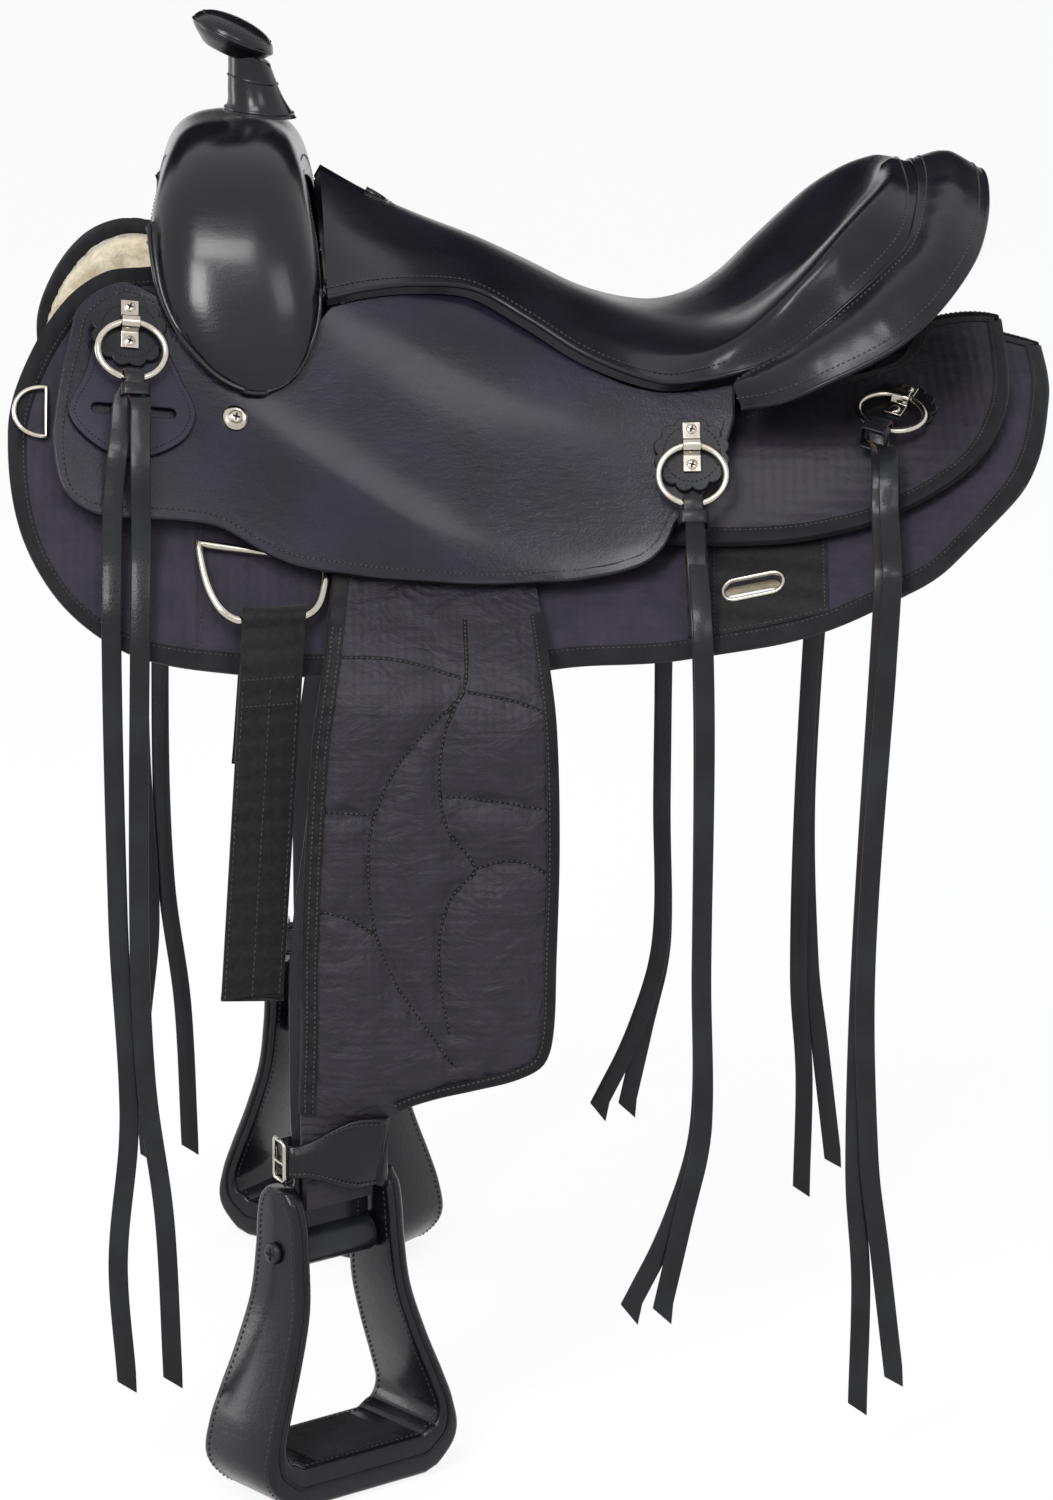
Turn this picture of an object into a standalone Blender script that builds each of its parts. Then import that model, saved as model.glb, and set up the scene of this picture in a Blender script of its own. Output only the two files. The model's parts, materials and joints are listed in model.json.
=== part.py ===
"""Trail saddle with a swell fork, a horn, a rolled cantle, padded fenders and bell stirrups.

Metres. X runs along the saddle with the horn towards -X, the near side is at -Y, +Z is up.
The flat pieces are cut as patterns, as a saddler cuts them, and laid over the form of the
horse's back. A pattern point is (x, s): x along the saddle, s down the flank from the ridge.
"""
import math

import bpy
import bmesh
from mathutils import Matrix, Vector
from mathutils.geometry import delaunay_2d_cdt

NEAR = -1
FAR = 1
SIDES = ((NEAR, "left"), (FAR, "right"))
CORNER = True

# The horse's back: x, height of the ridge, slope beside the ridge in degrees, radius of the flank.
BACK = (
    (-0.36, 0.215, 36.0, 0.60),
    (-0.25, 0.155, 33.0, 0.57),
    (-0.15, 0.085, 29.0, 0.53),
    (-0.05, 0.018, 25.0, 0.49),
    (0.05, -0.010, 20.0, 0.45),
    (0.15, -0.010, 15.0, 0.42),
    (0.25, 0.008, 11.0, 0.40),
    (0.31, 0.018, 9.5, 0.40),
    (0.37, 0.004, 9.0, 0.40),
)

# Layers, from the horse outwards.
LAYER_GAP = 0.0016
FLEECE_THICK = 0.0112
SKIRT_THICK = 0.005
LEATHER = 0.0045
BAR_THICK = 0.022
BAR_ACROSS = (0.040, 0.040, 0.175, 0.050)
BAR_ENDS = (-0.290, 0.080, 0.260, 0.100)
BAR_EDGE = 0.003
FENDER_SPACE = 0.012
SKIRT_LOW = FLEECE_THICK + LAYER_GAP
SKIRT_TOP = SKIRT_LOW + SKIRT_THICK
BAR_LOW = SKIRT_TOP + LAYER_GAP
JOCKEY_LOW = SKIRT_TOP + FENDER_SPACE
JOCKEY_TOP = JOCKEY_LOW + LEATHER

# How far the seat jockey stands off the flank beside the seat, along the saddle.
JOCKEY_RISE = (
    (-0.30, 0.0),
    (-0.25, 0.020),
    (-0.19, 0.050),
    (-0.10, 0.068),
    (-0.05, 0.070),
    (0.05, 0.066),
    (0.14, 0.058),
)
RISE_TOP = 0.06
RISE_END = 0.21

# Patterns.
SKIRT_EDGE = (
    (-0.345, 0.278), (-0.337, 0.340), (-0.309, 0.376), (-0.264, 0.386), (-0.200, 0.362),
    (-0.100, 0.306), (0.013, 0.258), (0.100, 0.253), (0.180, 0.255), (0.224, 0.250),
    (0.272, 0.235), (0.325, 0.179), (0.350, 0.080), (0.354, 0.003, CORNER), (0.240, 0.003, CORNER),
    (0.190, 0.020), (0.140, 0.040), (-0.150, 0.042), (-0.215, 0.080), (-0.255, 0.115),
    (-0.283, 0.136), (-0.310, 0.173), (-0.335, 0.231),
)
FLEECE_INSET = 0.006
JOCKEY_EDGE = (
    (0.1336, 0.1175, CORNER), (0.1284, 0.1305), (0.1190, 0.146), (0.1090, 0.160), (0.0955, 0.168),
    (0.0850, 0.184), (0.0710, 0.194), (0.030, 0.204), (-0.005, 0.210), (-0.064, 0.2276),
    (-0.114, 0.2526), (-0.156, 0.272), (-0.177, 0.276), (-0.206, 0.277), (-0.225, 0.284),
    (-0.2635, 0.302), (-0.291, 0.311), (-0.309, 0.305), (-0.316, 0.277), (-0.3134, 0.246),
    (-0.306, 0.205), (-0.299, 0.177), (-0.273, 0.149), (-0.250, 0.147), (-0.185, 0.156),
    (-0.164, 0.152), (-0.152, 0.137), (-0.144, 0.119), (-0.134, 0.105, CORNER),
    (-0.108, 0.088), (-0.075, 0.069), (-0.055, 0.0580), (-0.038, 0.0546), (-0.021, 0.0585),
    (-0.002, 0.0673), (0.018, 0.0765), (0.038, 0.0865), (0.058, 0.0945), (0.084, 0.0997),
    (0.111, 0.1003), (0.134, 0.0985, CORNER),
)
REAR_JOCKEY_EDGE = (
    (0.085, 0.172, CORNER), (0.103, 0.176), (0.160, 0.187), (0.194, 0.192), (0.227, 0.193),
    (0.272, 0.181), (0.295, 0.165), (0.311, 0.136), (0.320, 0.100), (0.325, 0.020),
    (0.326, 0.003, CORNER), (0.268, 0.003, CORNER), (0.262, 0.030), (0.244, 0.056),
    (0.205, 0.074), (0.165, 0.086), (0.120, 0.098), (0.085, 0.112, CORNER),
)
BAR_OUTLINE = (
    (-0.238, 0.140), (-0.232, 0.172), (-0.190, 0.176), (-0.130, 0.150), (-0.020, 0.145),
    (0.060, 0.155), (0.150, 0.165), (0.215, 0.155), (0.240, 0.115), (0.232, 0.070),
    (0.190, 0.050), (0.100, 0.044), (-0.100, 0.047), (-0.190, 0.082), (-0.232, 0.112),
)
FLANK_SLOT = (0.143, 0.212)
FLANK_SLOT_SIZE = (0.037, 0.012)

# Seat: per rib from the front round the side to the back, the spine, the crest and the border.
SEAT_THICK = 0.009
SEAT_ON_JOCKEY = (
    ((-0.141, 0.152), (-0.139, 0.075, 0.129), (-0.1365, 0.1060)),
    ((-0.110, 0.134), (-0.111, 0.074, 0.118), (-0.108, 0.0880)),
    ((-0.075, 0.117), (-0.075, 0.069, 0.107), (-0.075, 0.0690)),
    ((-0.035, 0.101), (-0.038, 0.062, 0.095), (-0.038, 0.0546)),
    ((0.000, 0.084), (0.000, 0.070, 0.0765), (-0.002, 0.0673)),
    ((0.040, 0.064), (0.040, 0.086, 0.0545), (0.038, 0.0865)),
    ((0.080, 0.050), (0.084, 0.106, 0.0415), (0.084, 0.0997)),
    ((0.110, 0.046), (0.114, 0.120, 0.0435), (0.111, 0.1003)),
    ((0.135, 0.051), (0.138, 0.128, 0.0560), (0.134, 0.0985)),
)
SEAT_ON_CANTLE = (
    ((0.155, 0.059), (0.1634, 0.134, 0.0790), (0.1635, 0.1430, 0.0440)),
    ((0.175, 0.073), (0.1825, 0.130, 0.0980), (0.1870, 0.1430, 0.0610)),
    ((0.195, 0.088), (0.2030, 0.117, 0.1190), (0.2100, 0.1380, 0.0800)),
    ((0.213, 0.106), (0.2240, 0.094, 0.1365), (0.2488, 0.1080, 0.1125)),
    ((0.227, 0.124), (0.2410, 0.062, 0.1480), (0.2600, 0.0720, 0.1350)),
    ((0.237, 0.138), (0.2470, 0.033, 0.1520), (0.2620, 0.0380, 0.1470)),
    ((0.243, 0.151), (0.2500, 0.000, 0.1550), (0.2620, 0.0000, 0.1525)),
)
CORE_X = (-0.095, 0.240)
CORE_GAP = 0.0060
CORE_INSET = 0.022
CORE_DRAWN_IN = 0.08
CORE_FEET = (0.020, 0.090, 0.022, 0.012)
CORE_TAPER = (0.120, 0.140, 0.050)
UNDER_RIM = (0.145, 0.030, 0.225, 0.035)
RIM_NARROW = (0.09, 0.12, 0.04)
RIB_STEPS = 2
HALF_RIB_STEPS = 3
HAND_HOLD = (-0.160, -0.097, 0.026)

# Rolled cantle binding: the seam beside the seat, and the free edge.
ROLL_THICK = 0.008
ROLL_BULGE = 0.009
ROLL_RIBS = (
    ((0.1385, 0.1400, 0.0300), (0.1370, 0.1600, 0.0120)),
    ((0.1635, 0.1445, 0.0450), (0.1600, 0.1790, 0.0200)),
    ((0.1875, 0.1445, 0.0620), (0.1880, 0.1880, 0.0335)),
    ((0.2110, 0.1395, 0.0810), (0.2325, 0.1850, 0.0550)),
    ((0.2330, 0.1290, 0.0990), (0.2590, 0.1720, 0.0735)),
    ((0.2505, 0.1100, 0.1135), (0.2810, 0.1500, 0.0940)),
    ((0.2590, 0.0840, 0.1300), (0.2970, 0.1200, 0.1125)),
    ((0.2640, 0.0450, 0.1460), (0.3080, 0.0700, 0.1330)),
    ((0.2645, 0.0000, 0.1535), (0.3125, 0.0000, 0.1465)),
)

# Swell: y and z of the crest of the arch, front and rear of the section, and its depth.
SWELL = (
    (0.000, 0.1870, -0.2460, -0.1540, 0.045),
    (0.045, 0.1860, -0.2470, -0.1520, 0.045),
    (0.085, 0.1760, -0.2500, -0.1490, 0.045),
    (0.118, 0.1550, -0.2535, -0.1460, 0.045),
    (0.143, 0.1240, -0.2535, -0.1425, 0.040),
    (0.158, 0.0920, -0.2490, -0.1410, 0.030),
    (0.166, 0.0650, -0.2400, -0.1430, 0.024),
    (0.170, 0.0420, -0.2230, -0.1520, 0.016),
    (0.170, 0.0270, -0.2000, -0.1680, 0.006),
)
SWELL_SQUARE = 0.70
COVER_THICK = 0.003
DRAPE_FROM = 0.102
# Fork inside the cover: outer and gullet side of the arch.
FORK = (
    ((0.000, 0.181), (0.000, 0.130)),
    ((0.043, 0.179), (0.030, 0.127)),
    ((0.080, 0.169), (0.056, 0.114)),
    ((0.108, 0.146), (0.072, 0.096)),
    ((0.126, 0.118), (0.080, 0.092)),
    ((0.126, 0.096), (0.086, 0.088)),
    ((0.124, 0.074), (0.098, 0.074)),
)
FORK_X = (-0.236, -0.164)
FORK_FOLLOW = 0.85

HORN_TILT = math.radians(25)
HORN_CAP_CENTRE = Vector((-0.1985, 0.0, 0.2425))
HORN_CAP_PROFILE = (
    (0.0, 0.0105), (0.012, 0.0098), (0.021, 0.0076), (0.0272, 0.0034), (0.0295, -0.0010),
    (0.0275, -0.0052), (0.0215, -0.0100), (0.0150, -0.0140), (0.0, -0.0145),
)
HORN_NECK = (
    ((-0.1815, 0.1875), 0.0255, 0.0250),
    ((-0.1825, 0.1945), 0.0215, 0.0205),
    ((-0.1850, 0.2040), 0.0185, 0.0180),
    ((-0.1865, 0.2160), 0.0168, 0.0168),
    ((-0.1890, 0.2330), 0.0165, 0.0170),
)

# Fender: outline in the side view (x, z), hung over the skirt's lower edge.
FENDER_THICK = 0.009
FENDER_TOP_THICK = 0.0045
FENDER_NECK_THICK = 0.0055
FENDER_TOP_STAND = 0.0205
FENDER_PLANE = 0.2555
FENDER_BEND = (-0.100, -0.180)
FENDER_EDGE = (
    (-0.133, -0.0815, CORNER), (-0.140, -0.136), (-0.148, -0.190), (-0.1535, -0.270),
    (-0.1565, -0.340), (-0.1575, -0.400), (-0.1605, -0.450), (-0.1665, -0.505, CORNER),
    (-0.1135, -0.505, CORNER), (-0.1080, -0.456, CORNER), (-0.0940, -0.443), (-0.070, -0.434),
    (-0.045, -0.428), (-0.015, -0.420), (0.0020, -0.410), (0.0080, -0.390), (0.0100, -0.340),
    (0.0120, -0.260), (0.0100, -0.180), (0.0040, -0.130), (-0.0010, -0.0985, CORNER),
    (-0.062, -0.0935),
)
FENDER_SEAMS = (
    ((-0.048, -0.120), (-0.050, -0.157), (-0.071, -0.178), (-0.095, -0.208), (-0.110, -0.245),
     (-0.113, -0.280), (-0.108, -0.320), (-0.096, -0.352), (-0.077, -0.382), (-0.058, -0.410)),
    ((-0.050, -0.157), (-0.062, -0.182), (-0.066, -0.222), (-0.060, -0.250), (-0.043, -0.275),
     (-0.058, -0.294), (-0.066, -0.320), (-0.066, -0.352), (-0.060, -0.388)),
)
NECK_TWIST = (-0.4200, -0.5100)
NECK_X = -0.1400
STRAP_BEHIND = 0.0048
SEAM_DEPTH = 0.0035
SEAM_REACH = 0.020

# Stirrup leather and its hanger under the seat jockey.
HANG_X = -0.105
HANG_Z = -0.0880
HANGER_S = (0.190, 0.2150)
HANGER_WIDTH = 0.064
HANGER_LEVELS = (0.0205, 0.0233)
STRAP_THICK = 0.0038
STRAP_WIDTH = 0.052
STRAP_TOP = -0.200
STRAP_TOP_X = -0.124

# Stirrup: half of the path of its band, across the stirrup and up from the bolt.
BOLT = Vector((NECK_X, STRAP_BEHIND - FENDER_PLANE, -0.5330))
STIRRUP_TURN = math.radians(37)
STIRRUP_PATH = (
    (0.0402, 0.044), (0.0400, 0.036), (0.0394, 0.020), (0.0396, 0.000), (0.0420, -0.035),
    (0.0520, -0.070), (0.0645, -0.104), (0.0705, -0.124), (0.0685, -0.141), (0.0560, -0.1525),
)
TREAD_HALF = 0.040
TREAD_Z = -0.1545
TREAD_THICK = 0.028
LEG_THICK = 0.012
BAND_DEPTH = (
    (-0.1545, 0.076), (-0.124, 0.076), (-0.070, 0.064), (0.0, 0.049), (0.020, 0.046), (0.036, 0.037),
    (0.044, 0.022),
)
BOLT_RADIUS = 0.004
SLEEVE_RADIUS = 0.008
SLEEVE_LENGTH = 0.062
BOLT_CLEARANCE = 0.0006
HOBBLE = (-0.4565, -0.4855)
HOBBLE_THICK = 0.004

# Metal rings and their clips: name, pattern place of the ring's pivot, turn in the surface.
RING_SPOTS = (
    ("front", -0.2665, 0.1800, 0.0),
    ("middle", 0.1040, 0.1340, 0.0),
    ("rear", 0.2470, 0.1090, 26.0),
)
RING_RADIUS = 0.0225
RING_WIRE = 0.0023
RING_DROP = 0.0205
CLIP_WIDTH = 0.012
CLIP_LENGTH = 0.034
CLIP_THICK = 0.0014
CLIP_RISE = 0.0038
REST_GAP = 0.0012
STRING_SPACE = 0.0066
STRING_PLAY = 0.0026
ROSETTE_RADIUS = 0.0255
ROSETTE_THICK = 0.003
ROSETTE_LOBES = 12
HINGE_PLAY = 0.0013

# Saddle strings: width, thickness, and where the tails end.
STRING_WIDTH = 0.013
STRING_THICK = 0.0024
# Ways of the two tails of each string below its ring: (drop, drift along the saddle).
STRING_WAYS = {
    "front": (
        ((0.011, -0.006), (0.092, -0.014), (0.351, -0.014), (0.490, -0.009), (0.588, -0.018),
         (0.672, -0.0135)),
        ((0.011, 0.005), (0.092, 0.005), (0.351, 0.000), (0.464, 0.003), (0.555, 0.0135),
         (0.667, 0.0175)),
    ),
    "middle": (
        ((0.011, 0.001), (0.141, 0.005), (0.311, 0.005), (0.420, 0.004), (0.490, -0.016),
         (0.545, -0.042)),
        ((0.011, 0.002), (0.141, 0.006), (0.311, 0.005), (0.420, 0.006), (0.480, -0.006),
         (0.545, -0.020)),
    ),
    "rear": (
        ((0.011, -0.001), (0.100, -0.004), (0.345, -0.015), (0.494, -0.017), (0.568, -0.012),
         (0.657, -0.013)),
        ((0.011, 0.003), (0.100, 0.001), (0.345, -0.012), (0.483, -0.008), (0.547, 0.000),
         (0.636, 0.011)),
    ),
}
STRING_CUT = 0.009
STRING_STEP = 0.018
STRING_FREE = 0.20
STRING_LEAD = 0.006
STRING_TWIST = 0.060

RIGGING_SPOT = (-0.1830, 0.2720)
RIGGING_TURN = 0.0
RIGGING_LIFT = 0.0060
RIGGING_SHAPE = (
    (-0.0410, -0.0060), (-0.0205, -0.0015), (0.0000, 0.0030), (0.0205, 0.0075), (0.0410, 0.0120),
    (0.0408, 0.0210), (0.0380, 0.0310), (0.0325, 0.0430), (0.0235, 0.0500), (0.0080, 0.0515),
    (-0.0080, 0.0515), (-0.0235, 0.0500), (-0.0325, 0.0430), (-0.0380, 0.0310), (-0.0405, 0.0160),
)
RIGGING_WIRE = 0.0028
LATIGO_WIDTH = 0.042
LATIGO_THICK = 0.0030
LATIGO_LENGTH = 0.250
BILLET_LENGTH = 0.215
LATIGO_DRIFT = -0.017
LATIGO_PLACE = 0.001
BREAST_SPOT = (-0.3215, 0.2560)
BREAST_SIZE = (0.034, 0.021)
BREAST_WIRE = 0.0017
KEEPER_THICK = 0.003
KEEPER_EDGE = (
    (-0.016, -0.013), (0.014, -0.013), (0.024, 0.010), (0.034, 0.032), (0.044, 0.056),
    (0.035, 0.077), (0.003, 0.0915), (-0.023, 0.083), (-0.040, 0.062), (-0.029, 0.034),
    (-0.023, 0.010),
)
KEEPER_SLOT = (0.003, 0.058, 0.056, 0.007)
KEEPER_REACH = (-0.20, 0.285)
SCREW_SPOT = (-0.198, 0.1990)
SCREW_RADIUS = 0.0085

EDGE_STEP = 0.020
CELL = 0.040
FINE_CELL = 0.022


def clear_scene():
    """Remove everything that a new file holds."""
    for thing in list(bpy.data.objects):
        bpy.data.objects.remove(thing, do_unlink=True)


def make_material(name, colour, roughness, metallic=0.0):
    """A plain finish for one sub-part."""
    material = bpy.data.materials.new(name)
    material.use_nodes = True
    shader = material.node_tree.nodes["Principled BSDF"]
    shader.inputs["Base Color"].default_value = (*colour, 1.0)
    shader.inputs["Roughness"].default_value = roughness
    shader.inputs["Metallic"].default_value = metallic
    return material


def leather(name):
    return make_material(name, (0.016, 0.016, 0.022), 0.32)


def nylon(name):
    return make_material(name, (0.020, 0.020, 0.027), 0.75)


def wool(name):
    return make_material(name, (0.78, 0.70, 0.56), 0.95)


def nickel(name):
    return make_material(name, (0.72, 0.68, 0.62), 0.22, 1.0)


def polymer(name):
    return make_material(name, (0.030, 0.030, 0.032), 0.55)


def smooth_step(value):
    """0 below 0, 1 above 1, and an even rise between."""
    value = min(1.0, max(0.0, value))
    return value * value * (3.0 - 2.0 * value)


def along(table, x):
    """Read the columns of a table at x, smoothly between its rows."""
    if x <= table[0][0]:
        return table[0][1:]
    if x >= table[-1][0]:
        return table[-1][1:]
    row = max(i for i in range(len(table) - 1) if table[i][0] <= x)
    before, start = table[max(row - 1, 0)], table[row]
    end, after = table[row + 1], table[min(row + 2, len(table) - 1)]
    length = end[0] - start[0]
    t = (x - start[0]) / length
    values = []
    for column in range(1, len(start)):
        slope_in = (end[column] - before[column]) / (end[0] - before[0])
        slope_out = (after[column] - start[column]) / (after[0] - start[0])
        values.append(
            (2 * t**3 - 3 * t**2 + 1) * start[column]
            + (t**3 - 2 * t**2 + t) * length * slope_in
            + (3 * t**2 - 2 * t**3) * end[column]
            + (t**3 - t**2) * length * slope_out
        )
    return values


def lay(x, s, height, side):
    """The point at pattern place (x, s), at a height over the form of the back."""
    ridge, slope, radius = along(BACK, x)
    slope = math.radians(slope)
    angle = slope + s / radius
    y = (radius + height) * math.sin(angle) - radius * math.sin(slope)
    z = ridge - radius * math.cos(slope) + (radius + height) * math.cos(angle)
    return Vector((x, side * y, z))


def pattern_place(point):
    """The s and the height over the form of a point in space."""
    ridge, slope, radius = along(BACK, point.x)
    slope = math.radians(slope)
    across = abs(point.y) + radius * math.sin(slope)
    up = point.z - ridge + radius * math.cos(slope)
    return radius * (math.atan2(across, up) - slope), math.hypot(across, up) - radius


def jockey_rise(x, s):
    """How far the seat jockey is lifted by the tree under it."""
    return along(JOCKEY_RISE, x)[0] * (1.0 - smooth_step((s - RISE_TOP) / (RISE_END - RISE_TOP)))


def bar_rise(x, s):
    """Thickness of a tree bar over its thin edge."""
    top, top_taper, foot, foot_taper = BAR_ACROSS
    front, front_taper, rear, rear_taper = BAR_ENDS
    across = smooth_step((s - top) / top_taper) * smooth_step((foot - s) / foot_taper)
    ends = smooth_step((x - front) / front_taper) * (0.35 + 0.65 * smooth_step((rear - x) / rear_taper))
    return BAR_THICK * across * ends


def surface_frame(x, s, top, side, turn=0.0, footprint=(), gap=0.0, level_axis=True):
    """A frame on a laid surface: first axis along the saddle, second down, third outwards.

    The first axis is level, or else the second one stays in the cross section at x. The frame
    stands clear of the surface by the gap at every point of the footprint.
    """
    step = 0.008

    def place(u, v):
        return lay(u, v, top(u, v), side)

    along_saddle = place(x + step, s) - place(x - step, s)
    out = along_saddle.cross(place(x, s + step) - place(x, s - step)).normalized()
    if out.y * side < 0:
        out = -out
    if level_axis:
        forward = Vector((0, 0, 1)).cross(out).normalized() * -side
        down = forward.cross(out) * -side
    else:
        down = (place(x, s + step) - place(x, s - step)).normalized()
        forward = out.cross(down) * -side
    forward, down = (
        forward * math.cos(turn) + down * math.sin(turn),
        down * math.cos(turn) - forward * math.sin(turn),
    )
    origin = place(x, s)
    stand = 0.0
    for u, v in footprint:
        spot = origin + forward * u + down * v
        reach = pattern_place(spot)[0]
        stand = max(stand, (place(spot.x, reach) - origin).dot(out))
    frame = Matrix((forward, down, out)).transposed().to_4x4()
    frame.translation = origin + out * (stand + gap)
    return frame


def stick_on(frame, top):
    """A way to lay a small flat piece, given in a surface frame's axes, over what is under it."""
    forward, down = frame.to_3x3() @ Vector((1, 0, 0)), frame.to_3x3() @ Vector((0, 1, 0))

    def shape(u, v, height, side):
        spot = frame.translation + forward * u + down * v
        reach = pattern_place(spot)[0]
        return lay(spot.x, reach, top(spot.x, reach) + REST_GAP + height, side)

    return shape


def disc(radius, centre=(0.0, 0.0), points=12):
    """Points round a circle, for a footprint or an outline."""
    turns = [math.tau * k / points for k in range(points)]
    return [(centre[0] + radius * math.cos(a), centre[1] + radius * math.sin(a)) for a in turns]


def spline(points, steps, closed=False):
    """A smooth curve through points of any dimension, with corners where they are marked."""
    places = [Vector(p[:-1]) if p[-1] is True else Vector(p) for p in points]
    corners = [p[-1] is True for p in points]
    count = len(places)
    curve = []
    for i in range(count if closed else count - 1):
        start, end = places[i], places[(i + 1) % count]
        before = places[i - 1] if closed or i > 0 else 2 * start - end
        after = places[(i + 2) % count] if closed or i + 2 < count else 2 * end - start
        if corners[i]:
            before = 2 * start - end
        if corners[(i + 1) % count]:
            after = 2 * end - start
        number = steps if isinstance(steps, int) else max(1, round((end - start).length / steps))
        for k in range(number):
            t = k / number
            length = (end - start).length
            slope_in = (end - before) * length / max(length + (start - before).length, 1e-9)
            slope_out = (after - start) * length / max(length + (after - end).length, 1e-9)
            curve.append(
                (2 * t**3 - 3 * t**2 + 1) * start
                + (t**3 - 2 * t**2 + t) * slope_in
                + (3 * t**2 - 2 * t**3) * end
                + (t**3 - t**2) * slope_out
            )
    if not closed:
        curve.append(places[-1])
    return curve


def make_object(name, vertices, faces, material, sharp=40.0, weld=0.0, split=False):
    """One closed solid from its vertices and faces, in world space, its bent faces split if asked."""
    mesh = bpy.data.meshes.new(name)
    solid = bmesh.new()
    points = [solid.verts.new(v) for v in vertices]
    for face in faces:
        solid.faces.new([points[i] for i in face])
    if weld:
        bmesh.ops.remove_doubles(solid, verts=solid.verts, dist=weld)
    if split:
        bmesh.ops.triangulate(solid, faces=solid.faces)
    bmesh.ops.recalc_face_normals(solid, faces=solid.faces)
    solid.to_mesh(mesh)
    solid.free()
    return place_mesh(name, mesh, material, sharp)


def place_mesh(name, mesh, material, sharp=40.0):
    mesh.shade_smooth()
    mesh.set_sharp_from_angle(angle=math.radians(sharp))
    mesh.materials.clear()
    mesh.materials.append(material)
    thing = bpy.data.objects.new(name, mesh)
    bpy.context.scene.collection.objects.link(thing)
    return thing


def inside(point, outline):
    """Whether a pattern point lies within an outline."""
    found = False
    for a, b in zip(outline, outline[1:] + outline[:1]):
        if (a.y > point.y) != (b.y > point.y):
            if point.x < a.x + (point.y - a.y) * (b.x - a.x) / (b.y - a.y):
                found = not found
    return found


def edge_distance(point, outline):
    """Distance of a pattern point from an outline."""
    best = 1.0
    for a, b in zip(outline, outline[1:] + outline[:1]):
        along_edge = b - a
        t = (point - a).dot(along_edge) / max(along_edge.length_squared, 1e-12)
        nearest = a + along_edge * min(1.0, max(0.0, t))
        best = min(best, (point - nearest).length)
    return best


def mesh_pattern(outline, holes, cell, seams=()):
    """Triangles of a flat pattern: its corner points, its triangles and its edge loops."""
    points = list(outline)
    loops = [list(range(len(outline)))]
    for hole in holes:
        loops.append(list(range(len(points), len(points) + len(hole))))
        points += hole
    edges = [(a, b) for loop in loops for a, b in zip(loop, loop[1:] + loop[:1])]
    for seam in seams:
        first = len(points)
        points += seam
        edges += [(first + i, first + i + 1) for i in range(len(seam) - 1)]
    fixed = [p for seam in seams for p in seam]
    low_u = math.floor(min(p.x for p in outline) / cell)
    high_u = math.ceil(max(p.x for p in outline) / cell)
    low_v = math.floor(min(p.y for p in outline) / cell)
    high_v = math.ceil(max(p.y for p in outline) / cell)
    for i in range(low_u, high_u + 1):
        for j in range(low_v, high_v + 1):
            point = Vector((i * cell, j * cell))
            clear = cell * 0.45
            if not inside(point, outline) or edge_distance(point, outline) < clear:
                continue
            if any(inside(point, hole) or edge_distance(point, hole) < clear for hole in holes):
                continue
            if any((point - other).length < clear for other in fixed):
                continue
            points.append(point)
    found = delaunay_2d_cdt(points, edges, [], 1, 1e-7)
    vertices, triangles, origins = found[0], found[2], found[3]
    index = {}
    for new, old in enumerate(origins):
        for number in old:
            index[number] = new
    kept = []
    for face in triangles:
        middle = sum((vertices[i] for i in face), Vector((0, 0))) / 3
        if not any(inside(middle, hole) for hole in holes):
            kept.append(face)
    return vertices, kept, [[index[i] for i in loop] for loop in loops]


def panel(name, outline, material, low, high, shape, side, holes=(), seams=(), cell=CELL, step=EDGE_STEP):
    """A flat pattern with two faces, laid on a surface at the heights low and high."""
    edge = spline(outline, step, closed=True)
    flat, triangles, loops = mesh_pattern(edge, holes, cell, seams)
    count = len(flat)
    under = [shape(p.x, p.y, low(p.x, p.y), side) for p in flat]
    over = [shape(p.x, p.y, high(p.x, p.y), side) for p in flat]
    faces = [tuple(face) for face in triangles]
    faces += [tuple(i + count for i in reversed(face)) for face in triangles]
    for loop in loops:
        for a, b in zip(loop, loop[1:] + loop[:1]):
            faces.append((a, b, b + count, a + count))
    used = sorted({i for face in faces for i in face})
    number = {old: new for new, old in enumerate(used)}
    vertices = [(under + over)[i] for i in used]
    return make_object(name, vertices, [[number[i] for i in face] for face in faces], material)


def level(height):
    """A height that is the same all over a pattern."""
    return lambda x, s: height


def stadium(centre, length, width, points=6):
    """The outline of a slot with round ends, in a pattern."""
    half = length / 2 - width / 2
    outline = []
    for end, start in ((1, -90), (-1, 90)):
        for k in range(points + 1):
            angle = math.radians(start + 180 * k / points)
            across = width / 2 * math.cos(angle)
            outline.append(Vector((centre[0] + end * half + across, centre[1] + width / 2 * math.sin(angle))))
    return outline


def grid_faces(rows, columns, ring=False):
    """Quads between the rows of a grid whose vertices are numbered row by row."""
    faces = []
    for i in range(rows - 1):
        for j in range(columns if ring else columns - 1):
            k = (j + 1) % columns
            faces.append((i * columns + j, i * columns + k, (i + 1) * columns + k, (i + 1) * columns + j))
    return faces


def loft(name, rings, material, sharp=40.0, closed=False, split=False):
    """A solid through rings of equally many points, with flat ends, or joined end to end."""
    columns = len(rings[0])
    vertices = [point for ring in rings for point in ring]
    faces = grid_faces(len(rings), columns, ring=True)
    last = (len(rings) - 1) * columns
    if closed:
        for j in range(columns):
            k = (j + 1) % columns
            faces.append((last + j, last + k, k, j))
    else:
        faces.append(tuple(reversed(range(columns))))
        faces.append(tuple(last + j for j in range(columns)))
    return make_object(name, vertices, faces, material, sharp, split=split)


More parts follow.
